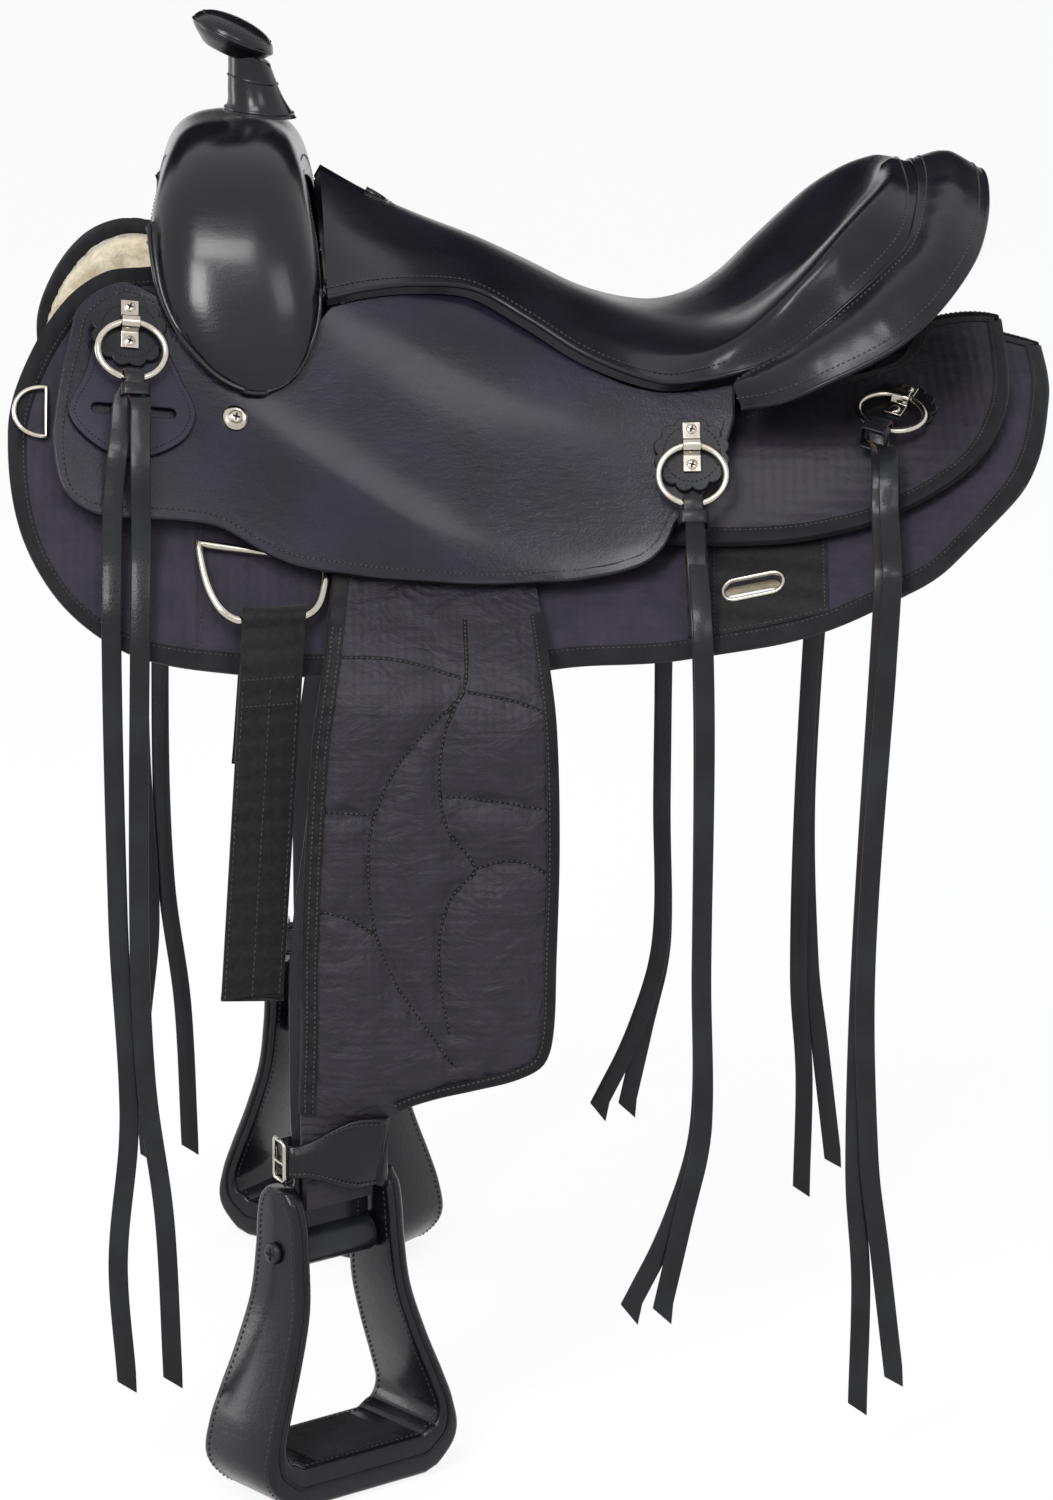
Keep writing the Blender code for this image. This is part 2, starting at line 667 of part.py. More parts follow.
def sheet(name, grid, thickness, material, closing=None, sharp=40.0):
    """A bent sheet: a grid of points on its outer face, thickened inwards."""
    rows, columns = len(grid), len(grid[0])
    surface = bmesh.new()
    points = [surface.verts.new(p) for row in grid for p in row]
    for face in grid_faces(rows, columns):
        surface.faces.new([points[i] for i in face])
    bmesh.ops.remove_doubles(surface, verts=surface.verts, dist=1e-5)
    bmesh.ops.dissolve_degenerate(surface, edges=surface.edges, dist=1e-6)
    bmesh.ops.recalc_face_normals(surface, faces=surface.faces)
    if sum(f.normal.z * f.calc_area() for f in surface.faces) < 0:
        bmesh.ops.reverse_faces(surface, faces=surface.faces)
    surface.normal_update()
    surface.verts.index_update()
    outer = [v.co.copy() for v in surface.verts]
    inner = [v.co - v.normal * thickness for v in surface.verts]
    if closing:
        inner = [closing(v.co, p) for v, p in zip(surface.verts, inner)]
    count = len(outer)
    faces = [tuple(v.index for v in f.verts) for f in surface.faces]
    faces += [tuple(i + count for i in reversed(f)) for f in faces[:]]
    for edge in surface.edges:
        if edge.is_boundary:
            a, b = edge.verts[0].index, edge.verts[1].index
            faces.append((a, b, b + count, a + count))
    surface.free()
    return make_object(name, outer + inner, faces, material, sharp)


def turned(name, profile, frame, material, segments=16, sharp=35.0):
    """A turned piece: profile of (radius, height) pairs, both ends on the axis."""
    vertices = [frame @ Vector((0, 0, profile[0][1]))]
    for radius, height in profile[1:-1]:
        for k in range(segments):
            angle = math.tau * k / segments
            vertices.append(frame @ Vector((radius * math.cos(angle), radius * math.sin(angle), height)))
    vertices.append(frame @ Vector((0, 0, profile[-1][1])))
    faces = []
    rings = len(profile) - 2
    for k in range(segments):
        n = (k + 1) % segments
        faces.append((0, 1 + k, 1 + n))
        faces.append((len(vertices) - 1, 1 + (rings - 1) * segments + n, 1 + (rings - 1) * segments + k))
        for i in range(rings - 1):
            a, b = 1 + i * segments, 1 + (i + 1) * segments
            faces.append((a + k, b + k, b + n, a + n))
    return make_object(name, vertices, faces, material, sharp)


def wire_loop(name, path, radius, material, sides=6, sharp=60.0):
    """A wire of round section bent along a closed path."""
    rings = []
    count = len(path)
    centre = sum(path, Vector()) / count
    flat = sum(((path[i] - centre).cross(path[(i + 1) % count] - centre) for i in range(count)), Vector())
    normal = flat.normalized()
    for i, point in enumerate(path):
        tangent = (path[(i + 1) % count] - path[i - 1]).normalized()
        across = tangent.cross(normal).normalized()
        rings.append([
            point + across * radius * math.cos(math.tau * k / sides)
            + normal * radius * math.sin(math.tau * k / sides)
            for k in range(sides)
        ])
    return loft(name, rings, material, sharp, closed=True)


def strap(name, path, width, thickness, across, material, closed=False, slant=0.0, sharp=40.0):
    """A flat strap swept along a path; across is its width direction at each point."""
    rings = []
    count = len(path)
    for i, point in enumerate(path):
        after = path[(i + 1) % count] if closed or i + 1 < count else point
        before = path[i - 1] if closed or i > 0 else point
        tangent = (after - before).normalized()
        side = across[i] - tangent * across[i].dot(tangent)
        side = side.normalized() * width / 2
        up = tangent.cross(side).normalized() * thickness / 2
        cut = Vector((0, 0, 0)) if closed or 0 < i < count - 1 else Vector((0, 0, slant))
        rings.append([point + side + up + cut, point - side + up, point - side - up, point + side - up + cut])
    return loft(name, rings, material, sharp, closed, split=True)


def boolean(thing, other, operation):
    """Cut or join with another object, and remove that one."""
    modifier = thing.modifiers.new(operation.lower(), "BOOLEAN")
    modifier.object = other
    modifier.operation = operation
    modifier.solver = "EXACT"
    bpy.context.view_layer.update()
    evaluated = thing.evaluated_get(bpy.context.evaluated_depsgraph_get())
    result = bpy.data.meshes.new_from_object(evaluated)
    thing.modifiers.clear()
    old = thing.data
    thing.data = result
    bpy.data.meshes.remove(old)
    bpy.data.objects.remove(other, do_unlink=True)
    thing.data.shade_smooth()
    thing.data.set_sharp_from_angle(angle=math.radians(40))


def set_origin(thing, point):
    """Move an object's origin to a point on its joint's axis and leave its shape in place."""
    thing.data.transform(Matrix.Translation(-point))
    thing.location = point


def mirrored(point):
    return Vector((point.x, -point.y, point.z))


def in_plan(point, side):
    """A point given for the near side, on the side asked for."""
    return Vector(point) if side == NEAR else mirrored(Vector(point))


def make_skirts():
    for side, word in SIDES:
        slot = stadium(FLANK_SLOT, *FLANK_SLOT_SIZE)
        panel(f"{word}_skirt", SKIRT_EDGE, nylon(f"{word}_skirt"), level(SKIRT_LOW), level(SKIRT_TOP),
              lay, side, holes=[slot])
        wide_slot = stadium(FLANK_SLOT, FLANK_SLOT_SIZE[0] + 0.004, FLANK_SLOT_SIZE[1] + 0.004)
        panel(f"{word}_fleece", inset_pattern(SKIRT_EDGE, FLEECE_INSET), wool(f"{word}_fleece"),
              level(0.0), level(FLEECE_THICK), lay, side, holes=[wide_slot])


def inset_pattern(outline, distance):
    """An outline drawn in by a distance, with its corners kept."""
    places = [Vector(p[:2]) for p in outline]
    drawn = []
    for i, place in enumerate(places):
        tangent = (places[(i + 1) % len(places)] - places[i - 1]).normalized()
        for across in (Vector((-tangent.y, tangent.x)), Vector((tangent.y, -tangent.x))):
            moved = place + across * distance
            if inside(moved, places):
                drawn.append((moved.x, max(moved.y, 0.003), *outline[i][2:]))
                break
    return drawn


def jockey_low(x, s):
    return JOCKEY_LOW + jockey_rise(x, s)


def jockey_top(x, s):
    return JOCKEY_TOP + jockey_rise(x, s)


def rear_low(x, s):
    """The rear jockey lies over the bar, and on the skirt beyond it."""
    over_bar = bar_rise(x, s) * (1.0 - smooth_step((x - 0.235) / 0.05))
    return BAR_LOW + BAR_EDGE + over_bar + REST_GAP * 2


def rear_top(x, s):
    return rear_low(x, s) + LEATHER


def make_jockeys():
    for side, word in SIDES:
        panel(f"{word}_seat_jockey", JOCKEY_EDGE, leather(f"{word}_seat_jockey"), jockey_low,
              jockey_top, lay, side, cell=FINE_CELL)
        panel(f"{word}_rear_jockey", REAR_JOCKEY_EDGE, nylon(f"{word}_rear_jockey"), rear_low,
              rear_top, lay, side, cell=FINE_CELL)


def seat_ribs(rib_steps, half_steps):
    """Ribs of the near half of the seat: points from the spine over the crest to the border."""
    ribs = []
    for spine, crest, border in SEAT_ON_JOCKEY:
        edge = lay(border[0], border[1], jockey_top(*border) + REST_GAP + SEAT_THICK, NEAR)
        ribs.append((Vector((spine[0], 0, spine[1])), Vector((crest[0], -crest[1], crest[2])), edge))
    for spine, crest, border in SEAT_ON_CANTLE:
        edge = Vector((border[0], -border[1], border[2]))
        ribs.append((Vector((spine[0], 0, spine[1])), Vector((crest[0], -crest[1], crest[2])), edge))
    columns = [spline([rib[k] for rib in ribs], rib_steps) for k in range(3)]
    half = []
    for spine, crest, border in zip(*columns):
        half.append(spline([mirrored(crest), spine, crest, border], half_steps)[half_steps:])
    return half


def whole_ribs(half):
    """Ribs over the full width, from the far border to the near one."""
    return [[mirrored(p) for p in reversed(rib[1:])] + rib for rib in half]


def grid_normals(grid):
    """Upward normals at the points of a grid."""
    normals = []
    for i, row in enumerate(grid):
        before, after = grid[max(i - 1, 0)], grid[min(i + 1, len(grid) - 1)]
        line = []
        for j in range(len(row)):
            across = row[min(j + 1, len(row) - 1)] - row[max(j - 1, 0)]
            normal = (after[j] - before[j]).cross(across).normalized()
            line.append(-normal if normal.z < 0 else normal)
        normals.append(line)
    return normals


def make_seat():
    def hold_off(outer, inner):
        s, height = pattern_place(inner)
        least = jockey_top(inner.x, s) + REST_GAP
        if inside(Vector((inner.x, s + 0.010)), JOCKEY_LINE) and height < least:
            return lay(inner.x, s, least, NEAR if inner.y < 0 else FAR)
        return inner

    seat = sheet("seat", whole_ribs(seat_ribs(RIB_STEPS, HALF_RIB_STEPS)), SEAT_THICK, leather("seat"),
                 closing=hold_off)
    front, back, width = HAND_HOLD
    middle = ((front + back) / 2, 0.0)
    outline = stadium(middle, back - front, width, 6)
    rings = [[Vector((p.x, p.y, z)) for p in outline] for z in (0.05, 0.20)]
    boolean(seat, loft("hand_hold_cutter", rings, seat.data.materials[0]), "DIFFERENCE")


def make_roll():
    near = [[in_plan((p[0], -p[1], p[2]), NEAR) for p in rib] for rib in ROLL_RIBS]
    ribs = near + [[mirrored(p) for p in rib] for rib in reversed(near[:-1])]
    grid = []
    inner = spline([rib[0] for rib in ribs], RIB_STEPS)
    outer = spline([rib[1] for rib in ribs], RIB_STEPS)
    for i, (a, b) in enumerate(zip(inner, outer)):
        before, after = outer[max(i - 1, 0)], outer[min(i + 1, len(outer) - 1)]
        rise = (after - before).cross(b - a).normalized()
        if rise.z < 0:
            rise = -rise
        crest = (a + b) / 2 + rise * ROLL_BULGE
        grid.append(spline([a, crest, b], 3))
    sheet("cantle_roll", grid, ROLL_THICK, leather("cantle_roll"))


def make_tree():
    """The tree: ground seat, bars and fork, bonded into one piece."""
    material = polymer("tree")
    ribs = seat_ribs(1, 2)
    normals = grid_normals(whole_ribs(ribs))
    middle = len(ribs[0]) - 1
    rings = []
    for rib, normal in zip(ribs, normals):
        if CORE_X[0] < rib[0].x < CORE_X[1]:
            rings.append(core_section(rib, normal[middle:]))
    core = loft("tree", rings, material)
    for side, word in SIDES:
        bar = panel("bar", BAR_OUTLINE, material, level(BAR_LOW),
                    lambda x, s: BAR_LOW + BAR_EDGE + bar_rise(x, s), lay, side)
        boolean(core, bar, "UNION")
    boolean(core, make_fork(material), "UNION")


def core_section(rib, normals):
    """One section of the ground seat: under the seat, down to the bars, and over the back."""
    top = [p - n * (SEAT_THICK + CORE_GAP) for p, n in zip(rib, normals)]
    border = rib[-1].x
    start, rise, end, fall = UNDER_RIM
    under_rim = smooth_step((border - start) / rise) * (1.0 - smooth_step((border - end) / fall))
    reach = rib[-1] - rib[-2]
    inset = min(CORE_INSET / max(reach.length, 1e-6), 0.7)
    top[-1] = top[-1] - reach * inset
    top[-1].y *= 1.0 - CORE_DRAWN_IN
    for back, share in zip((-1, -2, -3), RIM_NARROW):
        top[back].y *= 1.0 - share * under_rim
    reach_s = pattern_place(top[-1])[0]
    least, most, narrower, clear = CORE_FEET
    foot_most = most - narrower * smooth_step((border - CORE_TAPER[0]) / CORE_TAPER[2])
    foot_s = max(least, min(reach_s - clear, foot_most))
    foot_x = border - clear * smooth_step((border - CORE_TAPER[1]) / CORE_TAPER[2])
    foot = lay(foot_x, foot_s, BAR_LOW + 0.001, NEAR)
    ridge = lay(foot_x, 0.004, BAR_LOW + 0.001, NEAR).z
    floor = [Vector((foot_x, foot.y * t, foot.z + (ridge - foot.z) * (1 - t * t))) for t in (0.0, 0.35, 0.7)]
    half = floor + [foot] + list(reversed(top))
    return half + [mirrored(p) for p in reversed(half[1:-1])]


def make_fork(material):
    rings = []
    arch = spline([(*outer, *inner) for outer, inner in FORK], 1)
    stations = [(-p[0], p[1], -p[2], p[3]) for p in reversed(arch)] + [tuple(p) for p in arch[1:]]
    middle = (FORK_X[0] + FORK_X[1]) / 2
    half = (FORK_X[1] - FORK_X[0]) / 2
    for y_out, z_out, y_in, z_in in stations:
        outer, inner = Vector((0, y_out, z_out)), Vector((0, y_in, z_in))
        centre, arm = (outer + inner) / 2, (outer - inner) / 2
        ring = []
        for k in range(12):
            angle = math.tau * k / 12
            c, s = math.cos(angle), math.sin(angle)
            wide = math.copysign(abs(c) ** SWELL_SQUARE, c) * half
            deep = math.copysign(abs(s) ** SWELL_SQUARE, s)
            x = middle + wide
            follow = along(BACK, x)[0] - along(BACK, middle)[0]
            low = 1.0 - smooth_step((z_out - FORK[-1][0][1]) / 0.04)
            inner_share = (1.0 - deep) / 2 * FORK_FOLLOW
            ring.append(Vector((x, 0, follow * max(low, inner_share))) + centre + arm * deep)
        rings.append(ring)
    return loft("fork", rings, material)


def drape(point, stand):
    """Keep a point of the swell cover on or above the seat jockey."""
    s, height = pattern_place(point)
    least = jockey_top(point.x, s) + REST_GAP + stand
    if s > DRAPE_FROM and height < least:
        return lay(point.x, s, least, NEAR if point.y < 0 else FAR)
    return point


def make_swell_cover():
    stations = spline([Vector((*row[:4], row[4])) for row in SWELL], 2)
    grid = []
    arch = [Vector((0, row[0], row[1])) for row in stations]
    for i, row in enumerate(stations):
        before, after = arch[max(i - 1, 0)], arch[min(i + 1, len(arch) - 1)]
        if i == 0:
            before = mirrored(arch[1])
        inward = Vector((1, 0, 0)).cross(after - before).normalized()
        if inward.z > 0 or (abs(inward.z) < 1e-6 and inward.y > 0):
            inward = -inward
        if i > len(arch) - 4:
            inward = Vector((0, -1, 0))
        middle, half = (row[2] + row[3]) / 2, (row[3] - row[2]) / 2
        line = []
        for k in range(11):
            angle = math.pi * k / 10
            c, s = math.cos(angle), math.sin(angle)
            wide = -math.copysign(abs(c) ** SWELL_SQUARE, c) * half
            deep = (1.0 - s ** SWELL_SQUARE) * row[4]
            point = Vector((middle + wide, arch[i].y, arch[i].z)) + inward * deep
            line.append(drape(point, COVER_THICK))
        grid.append(line)
    whole = [[mirrored(p) for p in row] for row in reversed(grid[1:])] + grid

    def hold_off(outer, inner):
        s, height = pattern_place(inner)
        least = jockey_top(inner.x, s) + REST_GAP
        if s > DRAPE_FROM and height < least:
            return lay(inner.x, s, least, NEAR if inner.y < 0 else FAR)
        return inner

    sheet("swell_cover", whole, COVER_THICK, leather("swell_cover"), closing=hold_off)


def make_horn():
    frame = Matrix.Translation(HORN_CAP_CENTRE) @ Matrix.Rotation(HORN_TILT, 4, "Y")
    turned("horn_cap", HORN_CAP_PROFILE, frame, leather("horn_cap"), 20)
    rings = []
    for (x, z), half_x, half_y in HORN_NECK:
        lean = math.radians(6) + HORN_TILT * smooth_step((z - 0.2) / 0.035)
        tilt = Matrix.Rotation(lean, 3, "Y")
        rings.append([
            Vector((x, 0, z)) + tilt @ Vector((half_x * math.cos(math.tau * k / 16),
                                               half_y * math.sin(math.tau * k / 16), 0))
            for k in range(16)
        ])
    neck = loft("horn_neck", rings, leather("horn_neck"))
    grown = [(r + 0.0004 if r else 0.0, z + math.copysign(0.0004, z)) for r, z in HORN_CAP_PROFILE]
    boolean(neck, turned("cap_cutter", grown, frame, neck.data.materials[0], 20), "DIFFERENCE")


def hang(x, z, height, side):
    """The fender's inner face: along the skirt at its top, then straight down in a plane."""
    ridge, slope, radius = along(BACK, x)
    slope = math.radians(slope)
    reach = radius + FENDER_TOP_STAND
    cosine = (max(z, FENDER_BEND[1]) - ridge + radius * math.cos(slope)) / reach
    angle = math.acos(cosine)
    y = reach * math.sin(angle) - radius * math.sin(slope)
    plumb = smooth_step((FENDER_BEND[0] - z) / (FENDER_BEND[0] - FENDER_BEND[1]))
    y += (FENDER_PLANE - y) * plumb
    out = Vector((0, math.sin(angle), math.cos(angle) * (1 - plumb))).normalized()
    return neck_twist(x, y + out.y * height, z + out.z * height, side)


def neck_turn(z):
    """How far the fender's neck has turned towards the stirrup at a height."""
    return STIRRUP_TURN * smooth_step((NECK_TWIST[0] - z) / (NECK_TWIST[0] - NECK_TWIST[1]))


def neck_twist(x, y, z, side):
    """Turn a point of the neck about its upright middle line."""
    turn = neck_turn(z)
    axis = Vector((NECK_X, FENDER_PLANE - STRAP_BEHIND))
    u, v = x - axis.x, y - axis.y
    x = axis.x + u * math.cos(turn) + v * math.sin(turn)
    y = axis.y - u * math.sin(turn) + v * math.cos(turn)
    return Vector((x, side * y, z))


def fender_over(x, z):
    """Thickness of the padded fender, thin at its edge and along its sewn seams."""
    place = Vector((x, z))
    edge = edge_distance(place, FENDER_LINE)
    seam = min((place - p).length for line in FENDER_STITCH for p in line)
    thick = FENDER_THICK * (0.55 + 0.45 * smooth_step(edge / 0.022))
    thick -= SEAM_DEPTH * (1.0 - smooth_step(seam / SEAM_REACH)) * smooth_step(edge / 0.012)
    top = smooth_step((z - FENDER_BEND[1]) / 0.06)
    neck = smooth_step((-0.430 - z) / 0.022)
    thick += (FENDER_TOP_THICK - thick) * top
    return thick + (FENDER_NECK_THICK - thick) * neck


def hinge_point(side):
    """Where the fender hangs, just under the edge of the seat jockey."""
    return hang(HANG_X, HANG_Z, FENDER_TOP_THICK / 2, side)


def make_fenders():
    for side, word in SIDES:
        fender = panel(f"{word}_fender", FENDER_EDGE, nylon(f"{word}_fender"), level(0.0), fender_over,
                       hang, side, seams=FENDER_STITCH, cell=0.022)
        set_origin(fender, hinge_point(side))
        left, right = HANG_X - HANGER_WIDTH / 2, HANG_X + HANGER_WIDTH / 2
        hanger_outline = (
            (left, HANGER_S[0], CORNER), (right, HANGER_S[0], CORNER),
            (right, HANGER_S[1], CORNER), (left, HANGER_S[1], CORNER),
        )
        hanger = panel(f"{word}_leather_hanger", hanger_outline, leather(f"{word}_leather_hanger"),
                       level(HANGER_LEVELS[0]), level(HANGER_LEVELS[1]), lay, side, step=0.03)
        set_origin(hanger, hinge_point(side))
        make_stirrup_leather(side, word)


def turned_axes(side):
    """The stirrup's own axes: across it along the bolt, and through its opening."""
    across = Vector((math.cos(STIRRUP_TURN), -math.sin(STIRRUP_TURN) * side, 0))
    through = Vector((math.sin(STIRRUP_TURN), math.cos(STIRRUP_TURN) * side, 0))
    return across, through


def bolt_place(side):
    return in_plan(BOLT, side)


def make_stirrup_leather(side, word):
    """The strap behind the fender, turned to the stirrup, with an eye round the bolt's sleeve."""
    across = turned_axes(side)[0]
    bolt = bolt_place(side)
    eye_inner = SLEEVE_RADIUS + 0.001
    eye_outer = eye_inner + STRAP_THICK
    behind = -STRAP_BEHIND
    path, directions = [], []
    heights = [STRAP_TOP, -0.300, -0.400] + [-0.424 - 0.012 * k for k in range(8)]
    for z in heights + [bolt.z + eye_outer - 0.003]:
        x = STRAP_TOP_X + (NECK_X - STRAP_TOP_X) * smooth_step((STRAP_TOP - z) / 0.16)
        turn = neck_turn(z)
        place = hang(x, z, behind, side)
        ending = smooth_step((-0.490 - z) / 0.028)
        path.append(place.lerp(Vector((bolt.x, bolt.y, z)), ending))
        directions.append(Vector((math.cos(turn), -math.sin(turn) * side, 0)))
    name = f"{word}_stirrup_leather"
    body = strap(name, path, STRAP_WIDTH, STRAP_THICK, directions, leather(name))
    eye = eye_ring("eye", bolt, across, eye_outer, STRAP_WIDTH, body.data.materials[0])
    boolean(body, eye, "UNION")
    hole = eye_ring("eye_cutter", bolt, across, eye_inner, STRAP_WIDTH + 0.02, body.data.materials[0])
    boolean(body, hole, "DIFFERENCE")
    set_origin(body, hinge_point(side))


def eye_ring(name, centre, axis, radius, length, material):
    """A plain cylinder along an axis."""
    frame = Matrix.Translation(centre) @ axis.to_track_quat("Z", "Y").to_matrix().to_4x4()
    half = length / 2
    return turned(name, ((0, -half), (radius, -half), (radius, half), (0, half)), frame, material, 16)


def make_stirrups():
    for side, word in SIDES:
        across, through = turned_axes(side)
        bolt = bolt_place(side)
        half = spline([Vector((w, 0, z)) for w, z in STIRRUP_PATH], 1)
        right = [Vector((p.x, 0, p.z)) for p in half] + [Vector((TREAD_HALF, 0, TREAD_Z))]
        path = [Vector((-p.x, 0, p.z)) for p in right] + list(reversed(right))
        count = len(path)
        rings = []
        for i, place in enumerate(path):
            after, before = path[min(i + 1, count - 1)], path[max(i - 1, 0)]
            tangent = (after - before).normalized()
            out = Vector((-tangent.z, 0, tangent.x))
            flat = smooth_step((-0.120 - place.z) / 0.035)
            if abs(place.x) <= TREAD_HALF + 1e-6 and place.z < -0.1:
                out = Vector((0, 0, 1))
            thick = (LEG_THICK + (TREAD_THICK - LEG_THICK) * flat) / 2
            deep = along(BAND_DEPTH, place.z)[0] / 2
            chamfer = 0.0035
            quarter = ((thick, deep - chamfer), (thick - chamfer, deep))
            half = quarter + tuple((-t, d) for t, d in reversed(quarter))
            section = half + tuple((-t, -d) for t, d in half)
            ring = []
            for t, d in section:
                local = place + out * t
                ring.append(bolt + across * local.x + Vector((0, 0, local.z)) + through * d)
            rings.append(ring)
        name = f"{word}_stirrup"
        stirrup = loft(name, rings, leather(name))
        hole = eye_ring("bolt_cutter", bolt, across, BOLT_RADIUS + BOLT_CLEARANCE, 0.14,
                        stirrup.data.materials[0])
        boolean(stirrup, hole, "DIFFERENCE")
        set_origin(stirrup, bolt)
        make_bolt(side, word, bolt, across)


def make_bolt(side, word, bolt, across):
    """The bolt through the stirrup's legs, with the sleeve that the leather turns on."""
    leg = along(tuple(sorted((z, w) for w, z in STIRRUP_PATH)), 0.0)[0]
    head = leg + LEG_THICK / 2 + 0.0006
    sleeve = SLEEVE_LENGTH / 2
    half = (
        (SLEEVE_RADIUS, sleeve), (BOLT_RADIUS, sleeve), (BOLT_RADIUS, head), (0.0075, head),
        (0.0075, head + 0.0025), (0.0055, head + 0.004), (0, head + 0.004),
    )
    profile = tuple((radius, -height) for radius, height in reversed(half)) + half
    frame = Matrix.Translation(bolt) @ across.to_track_quat("Z", "Y").to_matrix().to_4x4()
    thing = turned(f"{word}_stirrup_bolt", profile, frame, nickel(f"{word}_stirrup_bolt"), 12)
    set_origin(thing, bolt)


def make_hobbles():
    """The hobble strap buckled round the neck of the fender and the stirrup leather."""
    for side, word in SIDES:
        top, bottom = HOBBLE
        middle_z = (top + bottom) / 2
        inner = -STRAP_BEHIND - STRAP_THICK / 2 - HOBBLE_THICK / 2 - 0.0028
        outer = FENDER_NECK_THICK + HOBBLE_THICK / 2 + 0.0028
        half, corner = 0.0345, 0.006
        path, upright = [], []
        flat = half - corner
        places = []
        for cx, cy, start in ((1, 1, 0), (-1, 1, 90), (-1, -1, 180), (1, -1, 270)):
            height = (outer if cy > 0 else inner) - cy * corner
            for k in range(3):
                angle = math.radians(start + 45 * k)
                places.append((cx * flat + corner * math.cos(angle), height + corner * math.sin(angle)))
            if start in (0, 180):
                face = height + cy * corner
                places += [(cx * flat * share, face) for share in (0.5, 0.0, -0.5)]
        for x, height in places:
            path.append(hang(NECK_X + x, middle_z, height, side))
            upright.append(hang(NECK_X + x, top, height, side) - hang(NECK_X + x, bottom, height, side))
        name = f"{word}_hobble_strap"
        band = strap(name, path, top - bottom, HOBBLE_THICK, upright, leather(name), closed=True)
        set_origin(band, hinge_point(side))


def leather_top(place, side):
    """Height of what a ring's rosette is sewn to."""
    if place == "rear":
        return rear_top
    if place == "front" and side == NEAR:
        return lambda x, s: jockey_top(x, s) + REST_GAP + KEEPER_THICK
    return jockey_top


def make_rings():
    for side, word in SIDES:
        for place, x, s, turn in RING_SPOTS:
            base = leather_top(place, side)
            angle = math.radians(turn)

            def rosette_top(u, v, base=base):
                return base(u, v) + REST_GAP + ROSETTE_THICK

            make_rosette(f"{word}_{place}_rosette", x, s, base, side, angle)
            plate = [(u, v) for u in (-0.006, 0.006) for v in (-0.017, -0.008, 0.008, 0.017)]
            clip_frame = surface_frame(x, s, rosette_top, side, angle, plate, 0.0004, False)
            make_clip(f"{word}_{place}_clip", clip_frame)
            pivot = clip_frame @ Vector((0, 0, CLIP_RISE))
            foot = disc(0.008, (0, 2 * RING_DROP))
            low_frame = surface_frame(pivot.x, s, base, side, angle, foot, 0.0, False)
            low = low_frame @ Vector((0, 2 * RING_DROP, STRING_SPACE + RING_WIRE))
            forward = clip_frame.to_3x3() @ Vector((1, 0, 0))
            down = (low - pivot).normalized()
            forward = (forward - down * forward.dot(down)).normalized()
            path = []
            for k in range(20):
                angle_k = math.tau * k / 20
                path.append(pivot + forward * RING_RADIUS * math.sin(angle_k)
                            + down * (RING_DROP * (1 - math.cos(angle_k)) - 0.0004))
            name = f"{word}_{place}_ring"
            ring = wire_loop(name, path, RING_WIRE, nickel(name))
            set_origin(ring, pivot)
            make_string(word, place, side, pivot + down * (2 * RING_DROP - 0.0004), forward, down)


def make_rosette(name, x, s, base, side, angle):
    """A scalloped leather disc, laid over what is under it."""
    outline = []
    for k in range(ROSETTE_LOBES * 2):
        turn = math.tau * k / (ROSETTE_LOBES * 2)
        radius = ROSETTE_RADIUS if k % 2 else ROSETTE_RADIUS * 0.90
        outline.append(Vector((radius * math.cos(turn), 0.004 + radius * math.sin(turn))))

    shape = stick_on(surface_frame(x, s, base, side, angle, (), 0.0, False), base)
    edge = [(p.x, p.y, CORNER) for p in outline]
    return panel(name, edge, leather(name), level(0.0), level(ROSETTE_THICK), shape, side,
                 cell=0.016, step=0.02)


def make_clip(name, frame):
    """A metal strap over the ring's top, screwed down above and below it."""
    radius = RING_WIRE + HINGE_PLAY
    lift = 0.0
    rise = CLIP_RISE
    under = [(-CLIP_LENGTH / 2, lift), (-radius - 0.001, lift)]
    for k in range(5):
        angle = math.pi - math.pi * k / 4
        under.append((radius * math.cos(angle), rise + radius * math.sin(angle)))
    under += [(radius + 0.001, lift), (CLIP_LENGTH / 2, lift)]
    over = [(-CLIP_LENGTH / 2, lift + CLIP_THICK), (-radius - 0.0015, lift + CLIP_THICK)]
    for k in range(5):
        angle = math.pi - math.pi * k / 4
        wide = radius + CLIP_THICK
        over.append((wide * math.cos(angle), rise + wide * math.sin(angle)))
    over += [(radius + 0.0015, lift + CLIP_THICK), (CLIP_LENGTH / 2, lift + CLIP_THICK)]
    outline = under + list(reversed(over))
    rings = [[frame @ Vector((u, v, n)) for v, n in outline] for u in (-CLIP_WIDTH / 2, CLIP_WIDTH / 2)]
    return loft(name, rings, nickel(name), sharp=30)


def skirt_reach(x):
    """How far down the flank the skirt goes at x."""
    below = [p.y for p in SKIRT_LINE if abs(p.x - x) < EDGE_STEP]
    return max(below) if below else 0.0


def flank_profile(x, start_s):
    """Outer face of the leathers at x, from a pattern place down to the skirt's lower edge."""
    points = []
    s = start_s
    while s <= skirt_reach(x):
        place = Vector((x, s))
        top = SKIRT_TOP
        if inside(place, REAR_LINE):
            top = rear_top(x, s)
        if inside(place, JOCKEY_LINE):
            top = jockey_top(x, s)
        if x < KEEPER_REACH[0] and s < KEEPER_REACH[1]:
            top = jockey_top(x, s) + REST_GAP + KEEPER_THICK
        points.append(lay(x, s, top, FAR))
        s += 0.006
    return points + [lay(x, skirt_reach(x), SKIRT_TOP, FAR)]


def thin_out(tail, z):
    """Keep every point of a tail above a height, and every third one below it."""
    kept = [p for i, p in enumerate(tail) if p.z > z or i % 3 == 0]
    return kept if kept[-1] is tail[-1] else kept + tail[-1:]


def hang_clear(points, z):
    """How far out a hanging strap must be at a height to lie outside the leathers."""
    return max((p.y for p in points if p.z > z), default=0.0)


